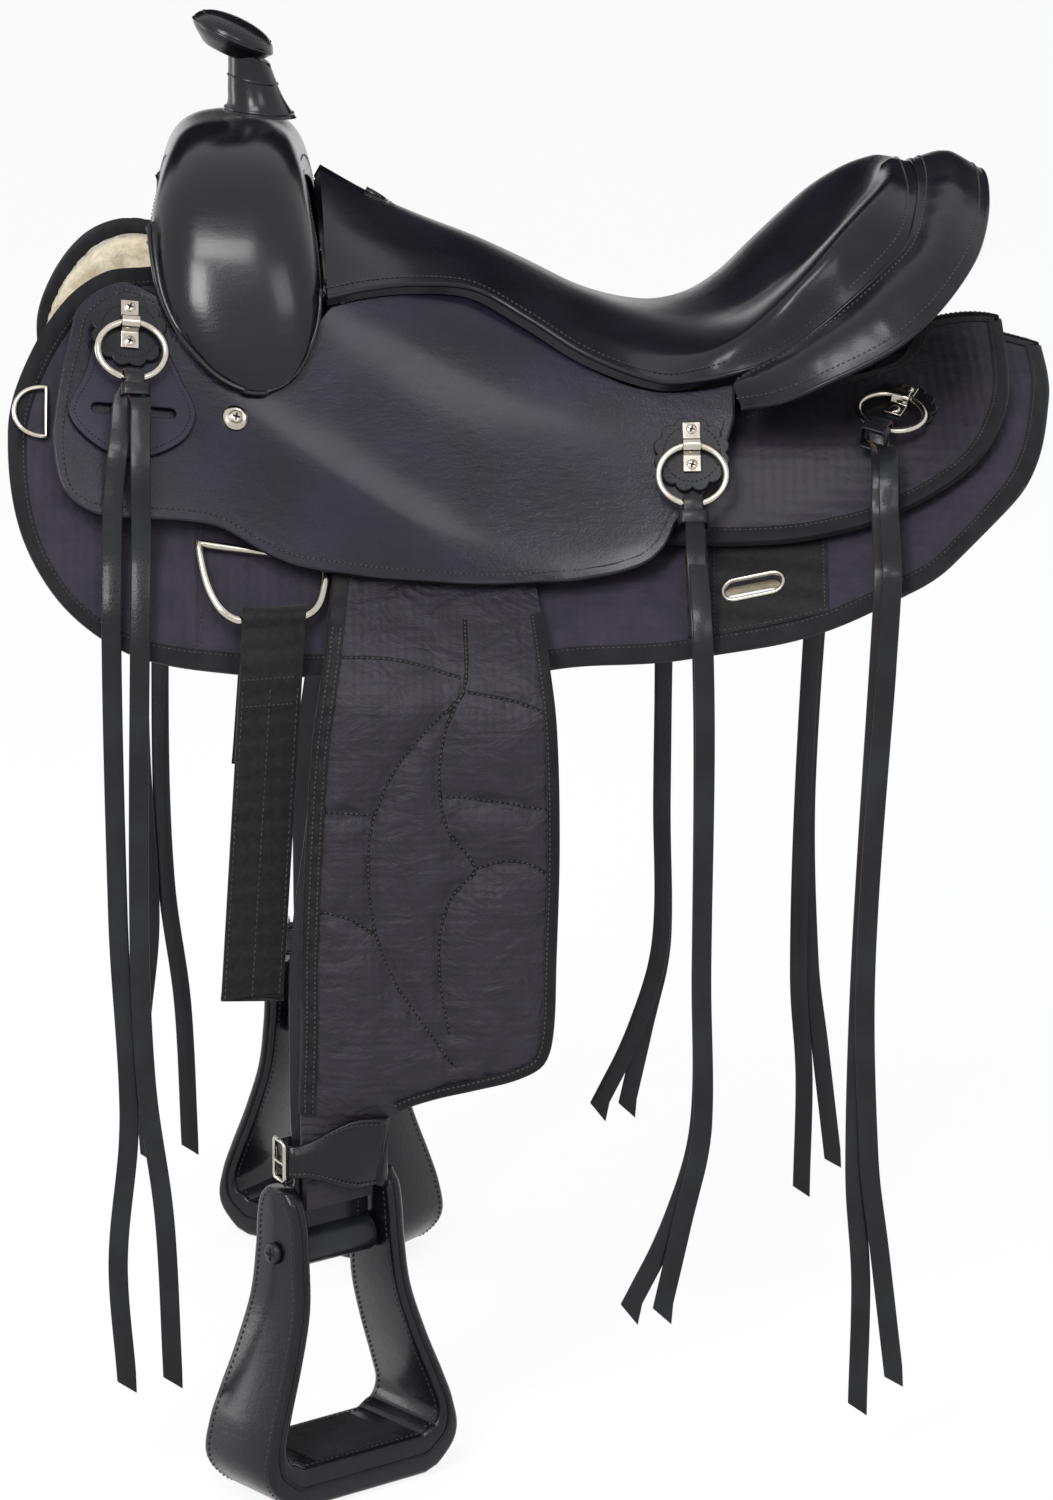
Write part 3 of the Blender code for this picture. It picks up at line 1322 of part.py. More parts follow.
def make_string(word, place, side, low, flat, down):
    """A leather string looped over the ring's lowest point, with two hanging tails."""
    start_s = pattern_place(low)[0]
    off_ring = flat.cross(down) * -side
    bend = RING_WIRE + STRING_PLAY + STRING_THICK / 2
    tails = []
    for number, way in enumerate(STRING_WAYS[place]):
        stand = 0.0028 + STRING_THICK / 2 + number * (STRING_THICK + 0.0016)
        tail = [low + off_ring * (bend if number else -bend) + down * STRING_LEAD]
        least = side * tail[0].y
        stops = spline(way, STRING_STEP)
        for stop, after in zip(stops, stops[1:] + stops[-1:]):
            for aside in (-STRING_WIDTH / 2, 0.0, STRING_WIDTH / 2):
                profile = flank_profile(low.x + stop.y + aside, start_s + 0.002)
                least = max(least, hang_clear(profile, low.z - after.x) + stand)
            tail.append(Vector((low.x + stop.y, side * least, low.z - stop.x)))
        tails.append(thin_out(tail, low.z - STRING_FREE))

    loop = []
    for k in range(7):
        angle = math.pi * k / 6
        loop.append(low - off_ring * bend * math.cos(angle) - down * bend * math.sin(angle))
    path = list(reversed(tails[0])) + loop + tails[1]
    name = f"{word}_{place}_string"
    plumb = Vector((1, 0, 0))
    across = [flat.lerp(plumb, smooth_step((low.z - p.z) / STRING_TWIST)) for p in path]
    string = strap(name, path, STRING_WIDTH, STRING_THICK, across, leather(name), slant=-STRING_CUT)
    set_origin(string, low)


def make_rigging():
    for side, word in SIDES:
        spot = RIGGING_SPOT
        frame = surface_frame(*spot, level(SKIRT_TOP), side, math.radians(RIGGING_TURN),
                              RIGGING_SHAPE, REST_GAP + RIGGING_WIRE)
        drop = max(v for u, v in RIGGING_SHAPE)
        path = [frame @ Vector((u, v, RIGGING_LIFT * v / drop)) for u, v in RIGGING_SHAPE]
        name = f"{word}_rigging_dee"
        dee = wire_loop(name, path, RIGGING_WIRE, nickel(name), sides=8)
        set_origin(dee, frame.translation)
        low = frame @ Vector((LATIGO_PLACE, drop, RIGGING_LIFT))
        if side == NEAR:
            make_web("latigo", side, low, LATIGO_LENGTH, frame)
        else:
            make_web("off_billet", side, low, BILLET_LENGTH, frame)


def make_web(name, side, low, length, frame):
    """Webbing folded over the rigging dee and hanging down in two plies."""
    eye = RIGGING_WIRE + 0.0022 + LATIGO_THICK / 2
    outer_side = Vector((0, side, 0))
    ply = LATIGO_THICK / 2 + 0.0005
    profile = flank_profile(low.x, pattern_place(low)[0])
    clear = max(p.y for p in profile) + 0.0030 + LATIGO_THICK + 0.0005
    shift = max(0.0, clear - side * low.y)
    eye_path = []
    for k in range(9):
        angle = math.radians(-20 + 220 * k / 8)
        rise = Vector((0, 0, eye * math.sin(angle)))
        eye_path.append(low + outer_side * (eye * math.cos(angle)) + rise)
    plies = []
    rows = 7
    for sign in (-1, 1):
        line = []
        for k in range(1, rows + 1):
            drop = length * k / rows
            aside = shift * smooth_step((drop + 0.012) / 0.045)
            drift = LATIGO_DRIFT * (drop / length)
            line.append(low + outer_side * (aside + sign * ply) + Vector((drift, 0, -drop)))
        plies.append(line)
    end = plies[0][-1] + outer_side * ply - Vector((0, 0, 2 * ply))
    path = eye_path + plies[0] + [end] + list(reversed(plies[1]))
    across = [frame.to_3x3() @ Vector((1, 0, 0))] * len(path)
    web = strap(name, path, LATIGO_WIDTH, LATIGO_THICK, across, nylon(name), closed=True)
    set_origin(web, frame.translation)


def make_breast_dees():
    for side, word in SIDES:
        x, s = BREAST_SPOT
        frame = surface_frame(x, s, level(SKIRT_TOP), side, 0.0, disc(0.018, (-0.010, 0)),
                              BREAST_WIRE + REST_GAP, False)
        half, reach = BREAST_SIZE[0] / 2, BREAST_SIZE[1]
        shape = [(0.0, -half), (0.0, -half / 3), (0.0, half / 3), (0.0, half)]
        for k in range(1, 10):
            angle = math.pi * k / 10
            shape.append((-reach * math.sin(angle) ** 0.8, half * math.cos(angle)))
        path = [frame @ Vector((u, v, 0)) for u, v in shape]
        name = f"{word}_breast_dee"
        dee = wire_loop(name, path, BREAST_WIRE, nickel(name))
        set_origin(dee, frame.translation)


def make_keeper():
    """The teardrop of leather that holds the latigo's end, on the near side."""
    name, x, s, turn = RING_SPOTS[0]
    shape = stick_on(surface_frame(x, s, jockey_top, NEAR, 0.0, (), 0.0, False), jockey_top)
    slot = stadium(KEEPER_SLOT[:2], *KEEPER_SLOT[2:])
    panel("latigo_keeper", KEEPER_EDGE, leather("latigo_keeper"), level(0.0), level(KEEPER_THICK),
          shape, NEAR, holes=[slot], cell=0.02, step=0.012)


def make_screws():
    for side, word in SIDES:
        x, s = SCREW_SPOT
        frame = surface_frame(x, s, jockey_top, side, 0.0, disc(SCREW_RADIUS), 0.0006)
        profile = ((0, 0), (SCREW_RADIUS, 0), (SCREW_RADIUS, 0.0012), (0.006, 0.0030), (0, 0.0036))
        name = f"{word}_jockey_screw"
        turned(name, profile, frame, nickel(name), 14)


# The leathers' edges as smooth lines, for what has to find its way over or under them.
FENDER_LINE = spline(FENDER_EDGE, EDGE_STEP, closed=True)
FENDER_STITCH = [spline(line, EDGE_STEP) for line in FENDER_SEAMS]
SKIRT_LINE = spline(SKIRT_EDGE, EDGE_STEP, closed=True)
JOCKEY_LINE = spline(JOCKEY_EDGE, EDGE_STEP, closed=True)
REAR_LINE = spline(REAR_JOCKEY_EDGE, EDGE_STEP, closed=True)


def build():
    clear_scene()
    make_tree()
    make_horn()
    make_swell_cover()
    make_seat()
    make_roll()
    make_skirts()
    make_jockeys()
    make_fenders()
    make_hobbles()
    make_stirrups()
    make_rings()
    make_keeper()
    make_screws()
    make_rigging()
    make_breast_dees()


build()
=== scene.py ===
# %% [markdown]
# # A trail saddle, piece by piece
#
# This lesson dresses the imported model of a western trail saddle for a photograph. The packed
# model is a fixed frame in metres: X runs along the saddle with the horn towards -X, the near
# side is at -Y, and Z is up. Each visible piece is made again here with finer edges, seams,
# stitching and its own finish, in the place where the frame holds its plain solid.

# %% Load the frame and keep its box
import json
from math import acos, atan2, copysign, cos, hypot, pi, radians, sin, tau

import bpy
import bmesh
import numpy as np
from mathutils import Matrix, Vector, noise
from mathutils.geometry import delaunay_2d_cdt
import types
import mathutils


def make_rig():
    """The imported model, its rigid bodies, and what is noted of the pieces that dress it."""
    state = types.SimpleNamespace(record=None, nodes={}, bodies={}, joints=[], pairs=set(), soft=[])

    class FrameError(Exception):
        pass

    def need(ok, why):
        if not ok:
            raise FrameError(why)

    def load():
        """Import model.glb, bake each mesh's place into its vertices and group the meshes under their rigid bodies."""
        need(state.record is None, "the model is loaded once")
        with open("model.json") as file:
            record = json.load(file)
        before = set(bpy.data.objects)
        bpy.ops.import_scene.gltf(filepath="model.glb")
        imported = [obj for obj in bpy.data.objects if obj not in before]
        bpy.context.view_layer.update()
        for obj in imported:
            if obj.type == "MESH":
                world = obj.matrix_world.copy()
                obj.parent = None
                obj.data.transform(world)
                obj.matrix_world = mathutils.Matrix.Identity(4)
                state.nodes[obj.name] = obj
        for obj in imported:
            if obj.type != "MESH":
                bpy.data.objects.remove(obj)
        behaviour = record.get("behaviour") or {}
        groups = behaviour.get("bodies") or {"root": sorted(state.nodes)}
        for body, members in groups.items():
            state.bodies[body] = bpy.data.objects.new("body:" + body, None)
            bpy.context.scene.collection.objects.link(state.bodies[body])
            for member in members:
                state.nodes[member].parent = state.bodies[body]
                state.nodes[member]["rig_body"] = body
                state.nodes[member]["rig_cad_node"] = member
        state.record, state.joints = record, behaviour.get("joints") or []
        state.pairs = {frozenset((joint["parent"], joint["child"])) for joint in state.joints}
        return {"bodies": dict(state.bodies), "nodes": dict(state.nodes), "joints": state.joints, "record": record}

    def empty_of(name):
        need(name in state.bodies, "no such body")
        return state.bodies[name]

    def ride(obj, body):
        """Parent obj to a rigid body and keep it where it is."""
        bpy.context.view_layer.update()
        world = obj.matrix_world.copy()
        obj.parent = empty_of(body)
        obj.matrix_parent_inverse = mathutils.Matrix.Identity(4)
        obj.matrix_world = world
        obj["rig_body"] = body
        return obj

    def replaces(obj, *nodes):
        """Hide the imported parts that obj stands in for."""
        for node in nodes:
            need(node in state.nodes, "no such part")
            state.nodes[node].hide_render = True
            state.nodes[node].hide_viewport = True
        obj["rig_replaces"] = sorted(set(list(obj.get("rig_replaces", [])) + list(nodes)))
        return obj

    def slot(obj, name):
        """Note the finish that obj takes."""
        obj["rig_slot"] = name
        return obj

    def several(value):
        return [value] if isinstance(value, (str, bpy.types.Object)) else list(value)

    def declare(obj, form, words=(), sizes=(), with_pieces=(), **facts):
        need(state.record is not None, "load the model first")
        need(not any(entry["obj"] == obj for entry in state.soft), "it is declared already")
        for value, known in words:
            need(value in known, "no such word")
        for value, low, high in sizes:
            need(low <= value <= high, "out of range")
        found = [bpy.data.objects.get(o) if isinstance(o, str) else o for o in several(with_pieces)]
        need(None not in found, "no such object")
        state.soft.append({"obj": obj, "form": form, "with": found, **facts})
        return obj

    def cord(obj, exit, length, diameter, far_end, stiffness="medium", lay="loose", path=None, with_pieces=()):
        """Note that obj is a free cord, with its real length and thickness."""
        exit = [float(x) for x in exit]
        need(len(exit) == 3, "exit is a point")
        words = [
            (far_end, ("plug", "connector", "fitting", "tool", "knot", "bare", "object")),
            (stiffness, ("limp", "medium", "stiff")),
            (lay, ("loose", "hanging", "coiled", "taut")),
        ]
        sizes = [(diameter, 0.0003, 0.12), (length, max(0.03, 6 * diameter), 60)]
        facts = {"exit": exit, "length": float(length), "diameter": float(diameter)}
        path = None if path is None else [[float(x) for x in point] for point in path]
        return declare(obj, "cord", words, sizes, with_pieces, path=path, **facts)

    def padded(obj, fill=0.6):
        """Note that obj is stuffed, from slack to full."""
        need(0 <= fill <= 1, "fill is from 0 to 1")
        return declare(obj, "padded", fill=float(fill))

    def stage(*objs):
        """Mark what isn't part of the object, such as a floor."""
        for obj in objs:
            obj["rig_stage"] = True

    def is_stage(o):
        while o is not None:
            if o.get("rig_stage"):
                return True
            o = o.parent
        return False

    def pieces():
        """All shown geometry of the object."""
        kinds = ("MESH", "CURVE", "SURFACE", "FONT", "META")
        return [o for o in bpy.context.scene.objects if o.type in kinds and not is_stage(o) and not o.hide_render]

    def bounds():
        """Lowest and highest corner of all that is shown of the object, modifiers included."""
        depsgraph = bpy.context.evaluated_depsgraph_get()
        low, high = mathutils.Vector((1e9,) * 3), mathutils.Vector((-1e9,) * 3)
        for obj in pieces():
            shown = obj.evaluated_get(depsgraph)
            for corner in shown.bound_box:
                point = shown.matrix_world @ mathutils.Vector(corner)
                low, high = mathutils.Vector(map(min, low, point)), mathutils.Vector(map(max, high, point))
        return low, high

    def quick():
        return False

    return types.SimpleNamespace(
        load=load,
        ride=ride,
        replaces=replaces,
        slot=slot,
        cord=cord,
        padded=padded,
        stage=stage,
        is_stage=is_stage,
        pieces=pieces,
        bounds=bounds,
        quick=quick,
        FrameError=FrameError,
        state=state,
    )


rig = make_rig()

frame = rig.load()
cad_box = [[float(v) for v in corner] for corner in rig.bounds()]
NODES = frame["nodes"]
SIDES = ((-1, "left"), (1, "right"))
CORNER = True
print("frame:", len(NODES), "nodes,", len(frame["bodies"]), "bodies")

# %% [markdown]
# ## The camera
#
# The photograph was taken from the near side, a little from above and a little from the front.
# A long lens far away keeps the near and the far stirrup almost the same size, as it does in
# the photograph, so the camera stands four metres off.

# %% Place the camera
TARGET = Vector((0.0, 0.0, -0.26))
AZIMUTH, ELEVATION, DISTANCE = radians(-2.0), radians(14.0), 4.0


def seen_from(azimuth, elevation, distance):
    """A point around the target, at an angle round it and above it."""
    off = cos(elevation) * distance
    return TARGET + Vector((sin(azimuth) * off, -cos(azimuth) * off, sin(elevation) * distance))


camera_data = bpy.data.cameras.new("photo_camera")
camera_data.lens, camera_data.sensor_width = 137.14, 36
camera = bpy.data.objects.new("photo_camera", camera_data)
bpy.context.scene.collection.objects.link(camera)
camera.location = seen_from(AZIMUTH, ELEVATION, DISTANCE)
camera.rotation_euler = (TARGET - camera.location).to_track_quat("-Z", "Y").to_euler()
bpy.context.scene.camera = camera
print("camera at", [round(v, 2) for v in camera.location])

# %% [markdown]
# ## The horse's back
#
# A saddler cuts flat patterns and bends them over the tree. Here every pattern point is a pair:
# x along the saddle, and s down the flank from the ridge. `lay` puts such a point at a height
# over the form of the horse's back, so one set of outlines gives the skirts, the jockeys, their
# bindings and their stitch lines, all in their true places.

# %% Measures of the form and the layers
BACK = (
    (-0.36, 0.215, 36.0, 0.6), (-0.25, 0.155, 33.0, 0.57), (-0.15, 0.085, 29.0, 0.53),
    (-0.05, 0.018, 25.0, 0.49), (0.05, -0.01, 20.0, 0.45), (0.15, -0.01, 15.0, 0.42),
    (0.25, 0.008, 11.0, 0.4), (0.31, 0.018, 9.5, 0.4), (0.37, 0.004, 9.0, 0.4),
)
JOCKEY_RISE = (
    (-0.3, 0.0), (-0.25, 0.02), (-0.19, 0.05), (-0.1, 0.068), (-0.05, 0.07),
    (0.05, 0.066), (0.14, 0.058),
)
FLEECE_THICK = 0.0112
SKIRT_LOW, SKIRT_TOP = 0.0128, 0.0178
JOCKEY_TOP, JOCKEY_THICK = 0.0343, 0.0045
REST_GAP, KEEPER_THICK = 0.0012, 0.003


def smooth_step(value):
    """0 below 0, 1 above 1, and an even rise between."""
    value = min(1.0, max(0.0, value))
    return value * value * (3.0 - 2.0 * value)


def along(table, x):
    """Read the columns of a table at x, smoothly between its rows."""
    if x <= table[0][0]:
        return table[0][1:]
    if x >= table[-1][0]:
        return table[-1][1:]
    row = max(i for i in range(len(table) - 1) if table[i][0] <= x)
    before, start = table[max(row - 1, 0)], table[row]
    end, after = table[row + 1], table[min(row + 2, len(table) - 1)]
    length = end[0] - start[0]
    t = (x - start[0]) / length
    values = []
    for c in range(1, len(start)):
        slope_in = (end[c] - before[c]) / (end[0] - before[0])
        slope_out = (after[c] - start[c]) / (after[0] - start[0])
        values.append((2 * t**3 - 3 * t**2 + 1) * start[c] + (t**3 - 2 * t**2 + t) * length * slope_in
                      + (3 * t**2 - 2 * t**3) * end[c] + (t**3 - t**2) * length * slope_out)
    return values


def lay(x, s, height, side):
    """The point at pattern place (x, s), at a height over the form of the back."""
    ridge, slope, radius = along(BACK, x)
    slope = radians(slope)
    angle = slope + s / radius
    y = (radius + height) * sin(angle) - radius * sin(slope)
    z = ridge - radius * cos(slope) + (radius + height) * cos(angle)
    return Vector((x, side * y, z))


def pattern_place(point):
    """The s and the height over the form of a point in space."""
    ridge, slope, radius = along(BACK, point.x)
    slope = radians(slope)
    across = abs(point.y) + radius * sin(slope)
    up = point.z - ridge + radius * cos(slope)
    return radius * (atan2(across, up) - slope), hypot(across, up) - radius


def jockey_top(x, s):
    """Height of the seat jockey's face, lifted by the tree under it."""
    return JOCKEY_TOP + along(JOCKEY_RISE, x)[0] * (1.0 - smooth_step((s - 0.06) / 0.15))


def rear_top(x, s):
    """Height of the rear jockey's face, over the tree's bar and then the skirt."""
    across = smooth_step((s - 0.04) / 0.04) * smooth_step((0.175 - s) / 0.05)
    ends = smooth_step((x + 0.29) / 0.08) * (0.35 + 0.65 * smooth_step((0.26 - x) / 0.1))
    bar = 0.022 * across * ends * (1.0 - smooth_step((x - 0.235) / 0.05))
    return 0.0194 + 0.003 + bar + REST_GAP * 2 + JOCKEY_THICK


def level(height):
    """A face at one height everywhere."""
    return lambda x, s: height


skirt_top = level(SKIRT_TOP)
print("a point on the near skirt:", [round(v, 3) for v in lay(0.0, 0.2, SKIRT_TOP, -1)])

# %% [markdown]
# ## Helpers for outlines and meshes
#
# A smooth outline needs only a few points if a curve runs through them. `spline` draws that
# curve, and `panel` fills an outline with small triangles and gives it two faces, as a piece
# cut from a hide has. The grid inside keeps every triangle small, so the piece bends smoothly.

# %% Curves and outlines
def spline(points, steps, closed=False):
    """A smooth curve through points of any dimension, with corners where they are marked."""
    places = [Vector(p[:-1]) if p[-1] is True else Vector(p) for p in points]
    corners = [p[-1] is True for p in points]
    count, curve = len(places), []
    for i in range(count if closed else count - 1):
        start, end = places[i], places[(i + 1) % count]
        before = places[i - 1] if closed or i > 0 else 2 * start - end
        after = places[(i + 2) % count] if closed or i + 2 < count else 2 * end - start
        before = 2 * start - end if corners[i] else before
        after = 2 * end - start if corners[(i + 1) % count] else after
        length = (end - start).length
        number = steps if isinstance(steps, int) else max(1, round(length / steps))
        slope_in = (end - before) * length / max(length + (start - before).length, 1e-9)
        slope_out = (after - start) * length / max(length + (after - end).length, 1e-9)
        for k in range(number):
            t = k / number
            curve.append((2 * t**3 - 3 * t**2 + 1) * start + (t**3 - 2 * t**2 + t) * slope_in
                         + (3 * t**2 - 2 * t**3) * end + (t**3 - t**2) * slope_out)
    return curve if closed else curve + [places[-1]]


def inside(points, outline):
    """For many flat points at once, whether each lies within an outline."""
    found = np.zeros(len(points), bool)
    ring = np.array([tuple(p) for p in outline])
    for a, b in zip(ring, np.roll(ring, -1, axis=0)):
        if a[1] == b[1]:
            continue
        crosses = (a[1] > points[:, 1]) != (b[1] > points[:, 1])
        found ^= crosses & (points[:, 0] < a[0] + (points[:, 1] - a[1]) * (b[0] - a[0]) / (b[1] - a[1]))
    return found


def edge_distance(points, line, closed=True):
    """For many flat points at once, the distance from a line."""
    ring = np.array([tuple(p) for p in line])
    ends = np.roll(ring, -1, axis=0) if closed else ring[1:]
    best = np.full(len(points), 1.0)
    for a, b in zip(ring, ends):
        d = b - a
        t = np.clip(((points - a) @ d) / max(d @ d, 1e-12), 0, 1)
        best = np.minimum(best, np.linalg.norm(points - (a + t[:, None] * d), axis=1))
    return best


def inward(outline):
    """For each point of a closed outline, the direction into it."""
    ring = np.array([tuple(p) for p in outline])
    tangent = np.roll(ring, -1, axis=0) - np.roll(ring, 1, axis=0)
    tangent /= np.linalg.norm(tangent, axis=1)[:, None]
    normal = np.stack([-tangent[:, 1], tangent[:, 0]], axis=1)
    turned = sum(a[0] * b[1] - b[0] * a[1] for a, b in zip(ring, np.roll(ring, -1, axis=0)))
    return [Vector(n) * (1 if turned > 0 else -1) for n in normal]


# %% Meshes
def loose(name, vertices, faces):
    """A mesh object whose faces all look outwards."""
    mesh = bpy.data.meshes.new(name)
    mesh.from_pydata([tuple(v) for v in vertices], [], [tuple(f) for f in faces])
    shape = bmesh.new()
    shape.from_mesh(mesh)
    bmesh.ops.recalc_face_normals(shape, faces=shape.faces)
    shape.to_mesh(mesh)
    shape.free()
    thing = bpy.data.objects.new(name, mesh)
    bpy.context.scene.collection.objects.link(thing)
    return thing


def piece(name, vertices, faces, materials, body, node=None, smooth=40.0, edge_faces=()):
    """A mesh object that rides on a body and may stand for a node of the frame."""
    thing = loose(name, vertices, faces)
    mesh = thing.data
    mesh.shade_smooth()
    if smooth < 180:
        mesh.set_sharp_from_angle(angle=radians(smooth))
    for material in materials if isinstance(materials, (list, tuple)) else [materials]:
        mesh.materials.append(material)
    for index in edge_faces:
        mesh.polygons[index].material_index = 1
    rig.ride(thing, body)
    if node:
        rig.replaces(thing, node)
        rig.slot(thing, node)
    return thing


def soften(thing, width, segments=2):
    """Round the hard edges of a piece a little, as cut and burnished leather is."""
    bevel = thing.modifiers.new("soft_edge", "BEVEL")
    bevel.width = width
    bevel.segments = segments
    bevel.limit_method = "ANGLE"
    bevel.angle_limit = radians(50)
    return thing


def grid_faces(rows, columns, ring=False, closed=False, caps=False):
    """Quads between the rows of a grid whose points are numbered row by row."""
    faces = []
    for i in range(rows if closed else rows - 1):
        n = (i + 1) % rows
        for j in range(columns if ring else columns - 1):
            k = (j + 1) % columns
            faces.append((i * columns + j, i * columns + k, n * columns + k, n * columns + j))
    if caps:
        faces += [tuple(reversed(range(columns))), tuple(range((rows - 1) * columns, rows * columns))]
    return faces


def border_loop(rows, columns):
    """The numbers of the points round a grid's border."""
    first, last = [i * columns for i in range(rows)], [(rows - 1) * columns + j for j in range(1, columns)]
    back = [i * columns + columns - 1 for i in range(rows - 2, -1, -1)]
    return first + last + back + list(range(columns - 2, 0, -1))


def two_sided(faces, count, loops):
    """Faces of a sheet with two sides of so many points each, and of its rims."""
    rims = [(a, b, b + count, a + count) for loop in loops for a, b in zip(loop, loop[1:] + loop[:1])]
    return [tuple(f) for f in faces] + [tuple(i + count for i in reversed(f)) for f in faces] + rims


def swept(name, rings, material, body, closed=False, caps=True, **named):
    """A piece from rings of points, each joined to the next."""
    faces = grid_faces(len(rings), len(rings[0]), ring=True, closed=closed, caps=caps and not closed)
    return piece(name, [p for ring in rings for p in ring], faces, material, body, **named)


def circle(radius, height, points, at=Matrix()):
    """Points round the third axis of a frame."""
    return [at @ Vector((radius * cos(tau * k / points), radius * sin(tau * k / points), height))
            for k in range(points)]


def round_corners(half_width, half_height, corner, steps):
    """An outline round four corner centres, with so many points to each corner."""
    return [(cx * half_width + corner * cos(a), cy * half_height + corner * sin(a))
            for cx, cy, start in ((1, 1, 0), (-1, 1, 90), (-1, -1, 180), (1, -1, 270))
            for a in (radians(start + 90 * k / (steps - 1)) for k in range(steps))]


def ways(path, closed=False):
    """The direction of a path at each of its points."""
    ahead = path[1:] + (path[:1] if closed else path[-1:])
    behind = (path[-1:] if closed else path[:1]) + path[:-1]
    return [(after - before).normalized() for before, after in zip(behind, ahead)]


def nearest(places, ups):
    """A way to look up the direction at the nearest of some places."""
    return lambda p: ups[min(range(len(places)), key=lambda i: (places[i] - p).length_squared)]


def fill_outline(outline, holes=(), cell=0.008, seams=()):
    """Small triangles over a flat outline: its points, its triangles and its edge loops."""
    points = [Vector(p) for p in outline]
    loops = [list(range(len(points)))]
    for hole in holes:
        loops.append(list(range(len(points), len(points) + len(hole))))
        points += [Vector(p) for p in hole]
    edges = [(a, b) for loop in loops for a, b in zip(loop, loop[1:] + loop[:1])]
    for seam in seams:
        first = len(points)
        points += [Vector(p) for p in seam]
        edges += [(first + i, first + i + 1) for i in range(len(seam) - 1)]
    flat = np.array([tuple(p) for p in outline])
    low, high = flat.min(axis=0), flat.max(axis=0)
    us = np.arange(low[0], high[0], cell)
    vs = np.arange(low[1], high[1], cell * 0.866)
    grid = np.array([(u + (j % 2) * cell / 2, v) for j, v in enumerate(vs) for u in us])
    keep = inside(grid, outline) & (edge_distance(grid, outline) > cell * 0.45)
    for hole in holes:
        keep &= ~inside(grid, hole) & (edge_distance(grid, hole) > cell * 0.45)
    for seam in seams:
        keep &= edge_distance(grid, seam, closed=False) > cell * 0.45
    points += [Vector(p) for p in grid[keep]]
    found = delaunay_2d_cdt(points, edges, [], 1, 1e-7)
    vertices, triangles, origins = found[0], found[2], found[3]
    index = {old: new for new, olds in enumerate(origins) for old in olds}
    middles = np.array([tuple(sum((vertices[i] for i in f), Vector((0, 0))) / 3) for f in triangles])
    for hole in holes:
        wrong = inside(middles, hole)
        triangles = [f for f, w in zip(triangles, wrong) if not w]
        middles = middles[~wrong]
    return vertices, triangles, [[index[i] for i in loop] for loop in loops]


def panel(name, outline, low, high, shape, side, material, body, holes=(), cell=0.008, step=0.005,
          edge=None, **named):
    """A flat pattern with two faces and an edge, laid on a surface."""
    line = spline(outline, step, closed=True)
    flat, triangles, loops = fill_outline(line, holes, cell)
    count = len(flat)
    vertices = [shape(p.x, p.y, low(p.x, p.y), side) for p in flat]
    vertices += [shape(p.x, p.y, high(p.x, p.y), side) for p in flat]
    faces = two_sided(triangles, count, loops)
    used = sorted({i for f in faces for i in f})
    number = {old: new for new, old in enumerate(used)}
    rims = range(2 * len(triangles), len(faces)) if edge else ()
    return piece(name, [vertices[i] for i in used], [[number[i] for i in f] for f in faces],
                 [material, edge] if edge else material, body, edge_faces=rims, **named)


def ribbon(name, path, across, ups, width, height, material, body, rounded=4):
    """A low strip with a rounded back along a path; ups point away from what it lies on."""
    rings = []
    for p, a, u in zip(path, across, ups):
        back = [p + a * width * (k / rounded - 0.5) + u * height * sin(pi * k / rounded) ** 0.6
                for k in range(rounded + 1)]
        rings.append(back + [p + a * width / 2 * end - u * height * 0.6 for end in (1, -1)])
    return swept(name, rings, material, body, smooth=50.0)


def tube(name, path, radius, material, body, closed=False, sides=12, **named):
    """A round wire or piping along a path."""
    vertices, last = [], (len(path) - 1) * sides
    tangents = ways(path, closed)
    normal = tangents[0].orthogonal().normalized()
    for p, tangent in zip(path, tangents):
        normal = (normal - tangent * normal.dot(tangent)).normalized()
        other = tangent.cross(normal)
        vertices += [p + (normal * cos(tau * k / sides) + other * sin(tau * k / sides)) * radius
                     for k in range(sides)]
    faces = grid_faces(len(path), sides, ring=True, caps=not closed)
    if closed:
        shift = min(range(sides), key=lambda k: (vertices[last + k] - vertices[0]).length)
        faces += [(last + (j + shift) % sides, last + (j + shift + 1) % sides, (j + 1) % sides, j)
                  for j in range(sides)]
    return piece(name, vertices, faces, material, body, smooth=60.0, **named)


def even(path, pitch, closed=False):
    """Points at an even pitch along a path, each with the direction of the path there."""
    points = path + path[:1] if closed else path
    found, carried = [], 0.0
    for a, b in zip(points, points[1:]):
        length = (b - a).length
        while carried < length:
            found.append((a.lerp(b, carried / length), (b - a) / length))
            carried += pitch
        carried -= length
    return found


def stitch_row(name, path, up_at, body="saddle", pitch=0.0034, width=0.0009, height=0.0005, closed=False,
               material=None):
    """A row of thread stitches: short rounded bumps along a path, that point where up_at says."""
    vertices, faces = [], []
    for p, t in even(path, pitch, closed):
        up = up_at(p).normalized()
        b = up.cross(t).normalized()
        t = t.normalized()
        base = len(vertices)
        half = pitch * 0.36
        for u, v, h in ((-half, 0, -0.2), (half, 0, -0.2), (-half / 2, -width, 0), (half / 2, -width, 0),
                        (-half / 2, width, 0), (half / 2, width, 0), (-half / 2, 0, 1), (half / 2, 0, 1)):
            vertices.append(p + t * u + b * v / 2 + up * height * h)
        for f in ((0, 2, 6), (0, 6, 4), (2, 3, 7, 6), (4, 6, 7, 5), (3, 1, 7), (7, 1, 5)):
            faces.append(tuple(base + i for i in f))
    return piece(name, vertices, faces, material or thread, body, smooth=180.0)


print("helpers are ready")

# %% [markdown]
# ## Finishes
#
# Nearly the whole saddle is black, so it is gloss, grain and weave that tell its materials
# apart. Each finish starts from one shader whose plain values sit on its own sockets. Noise at
# two sizes then adds what a real hide shows: fine pores as bump, and broad uneven polish as
# roughness. Woven stuff gets two crossing waves as its bump.

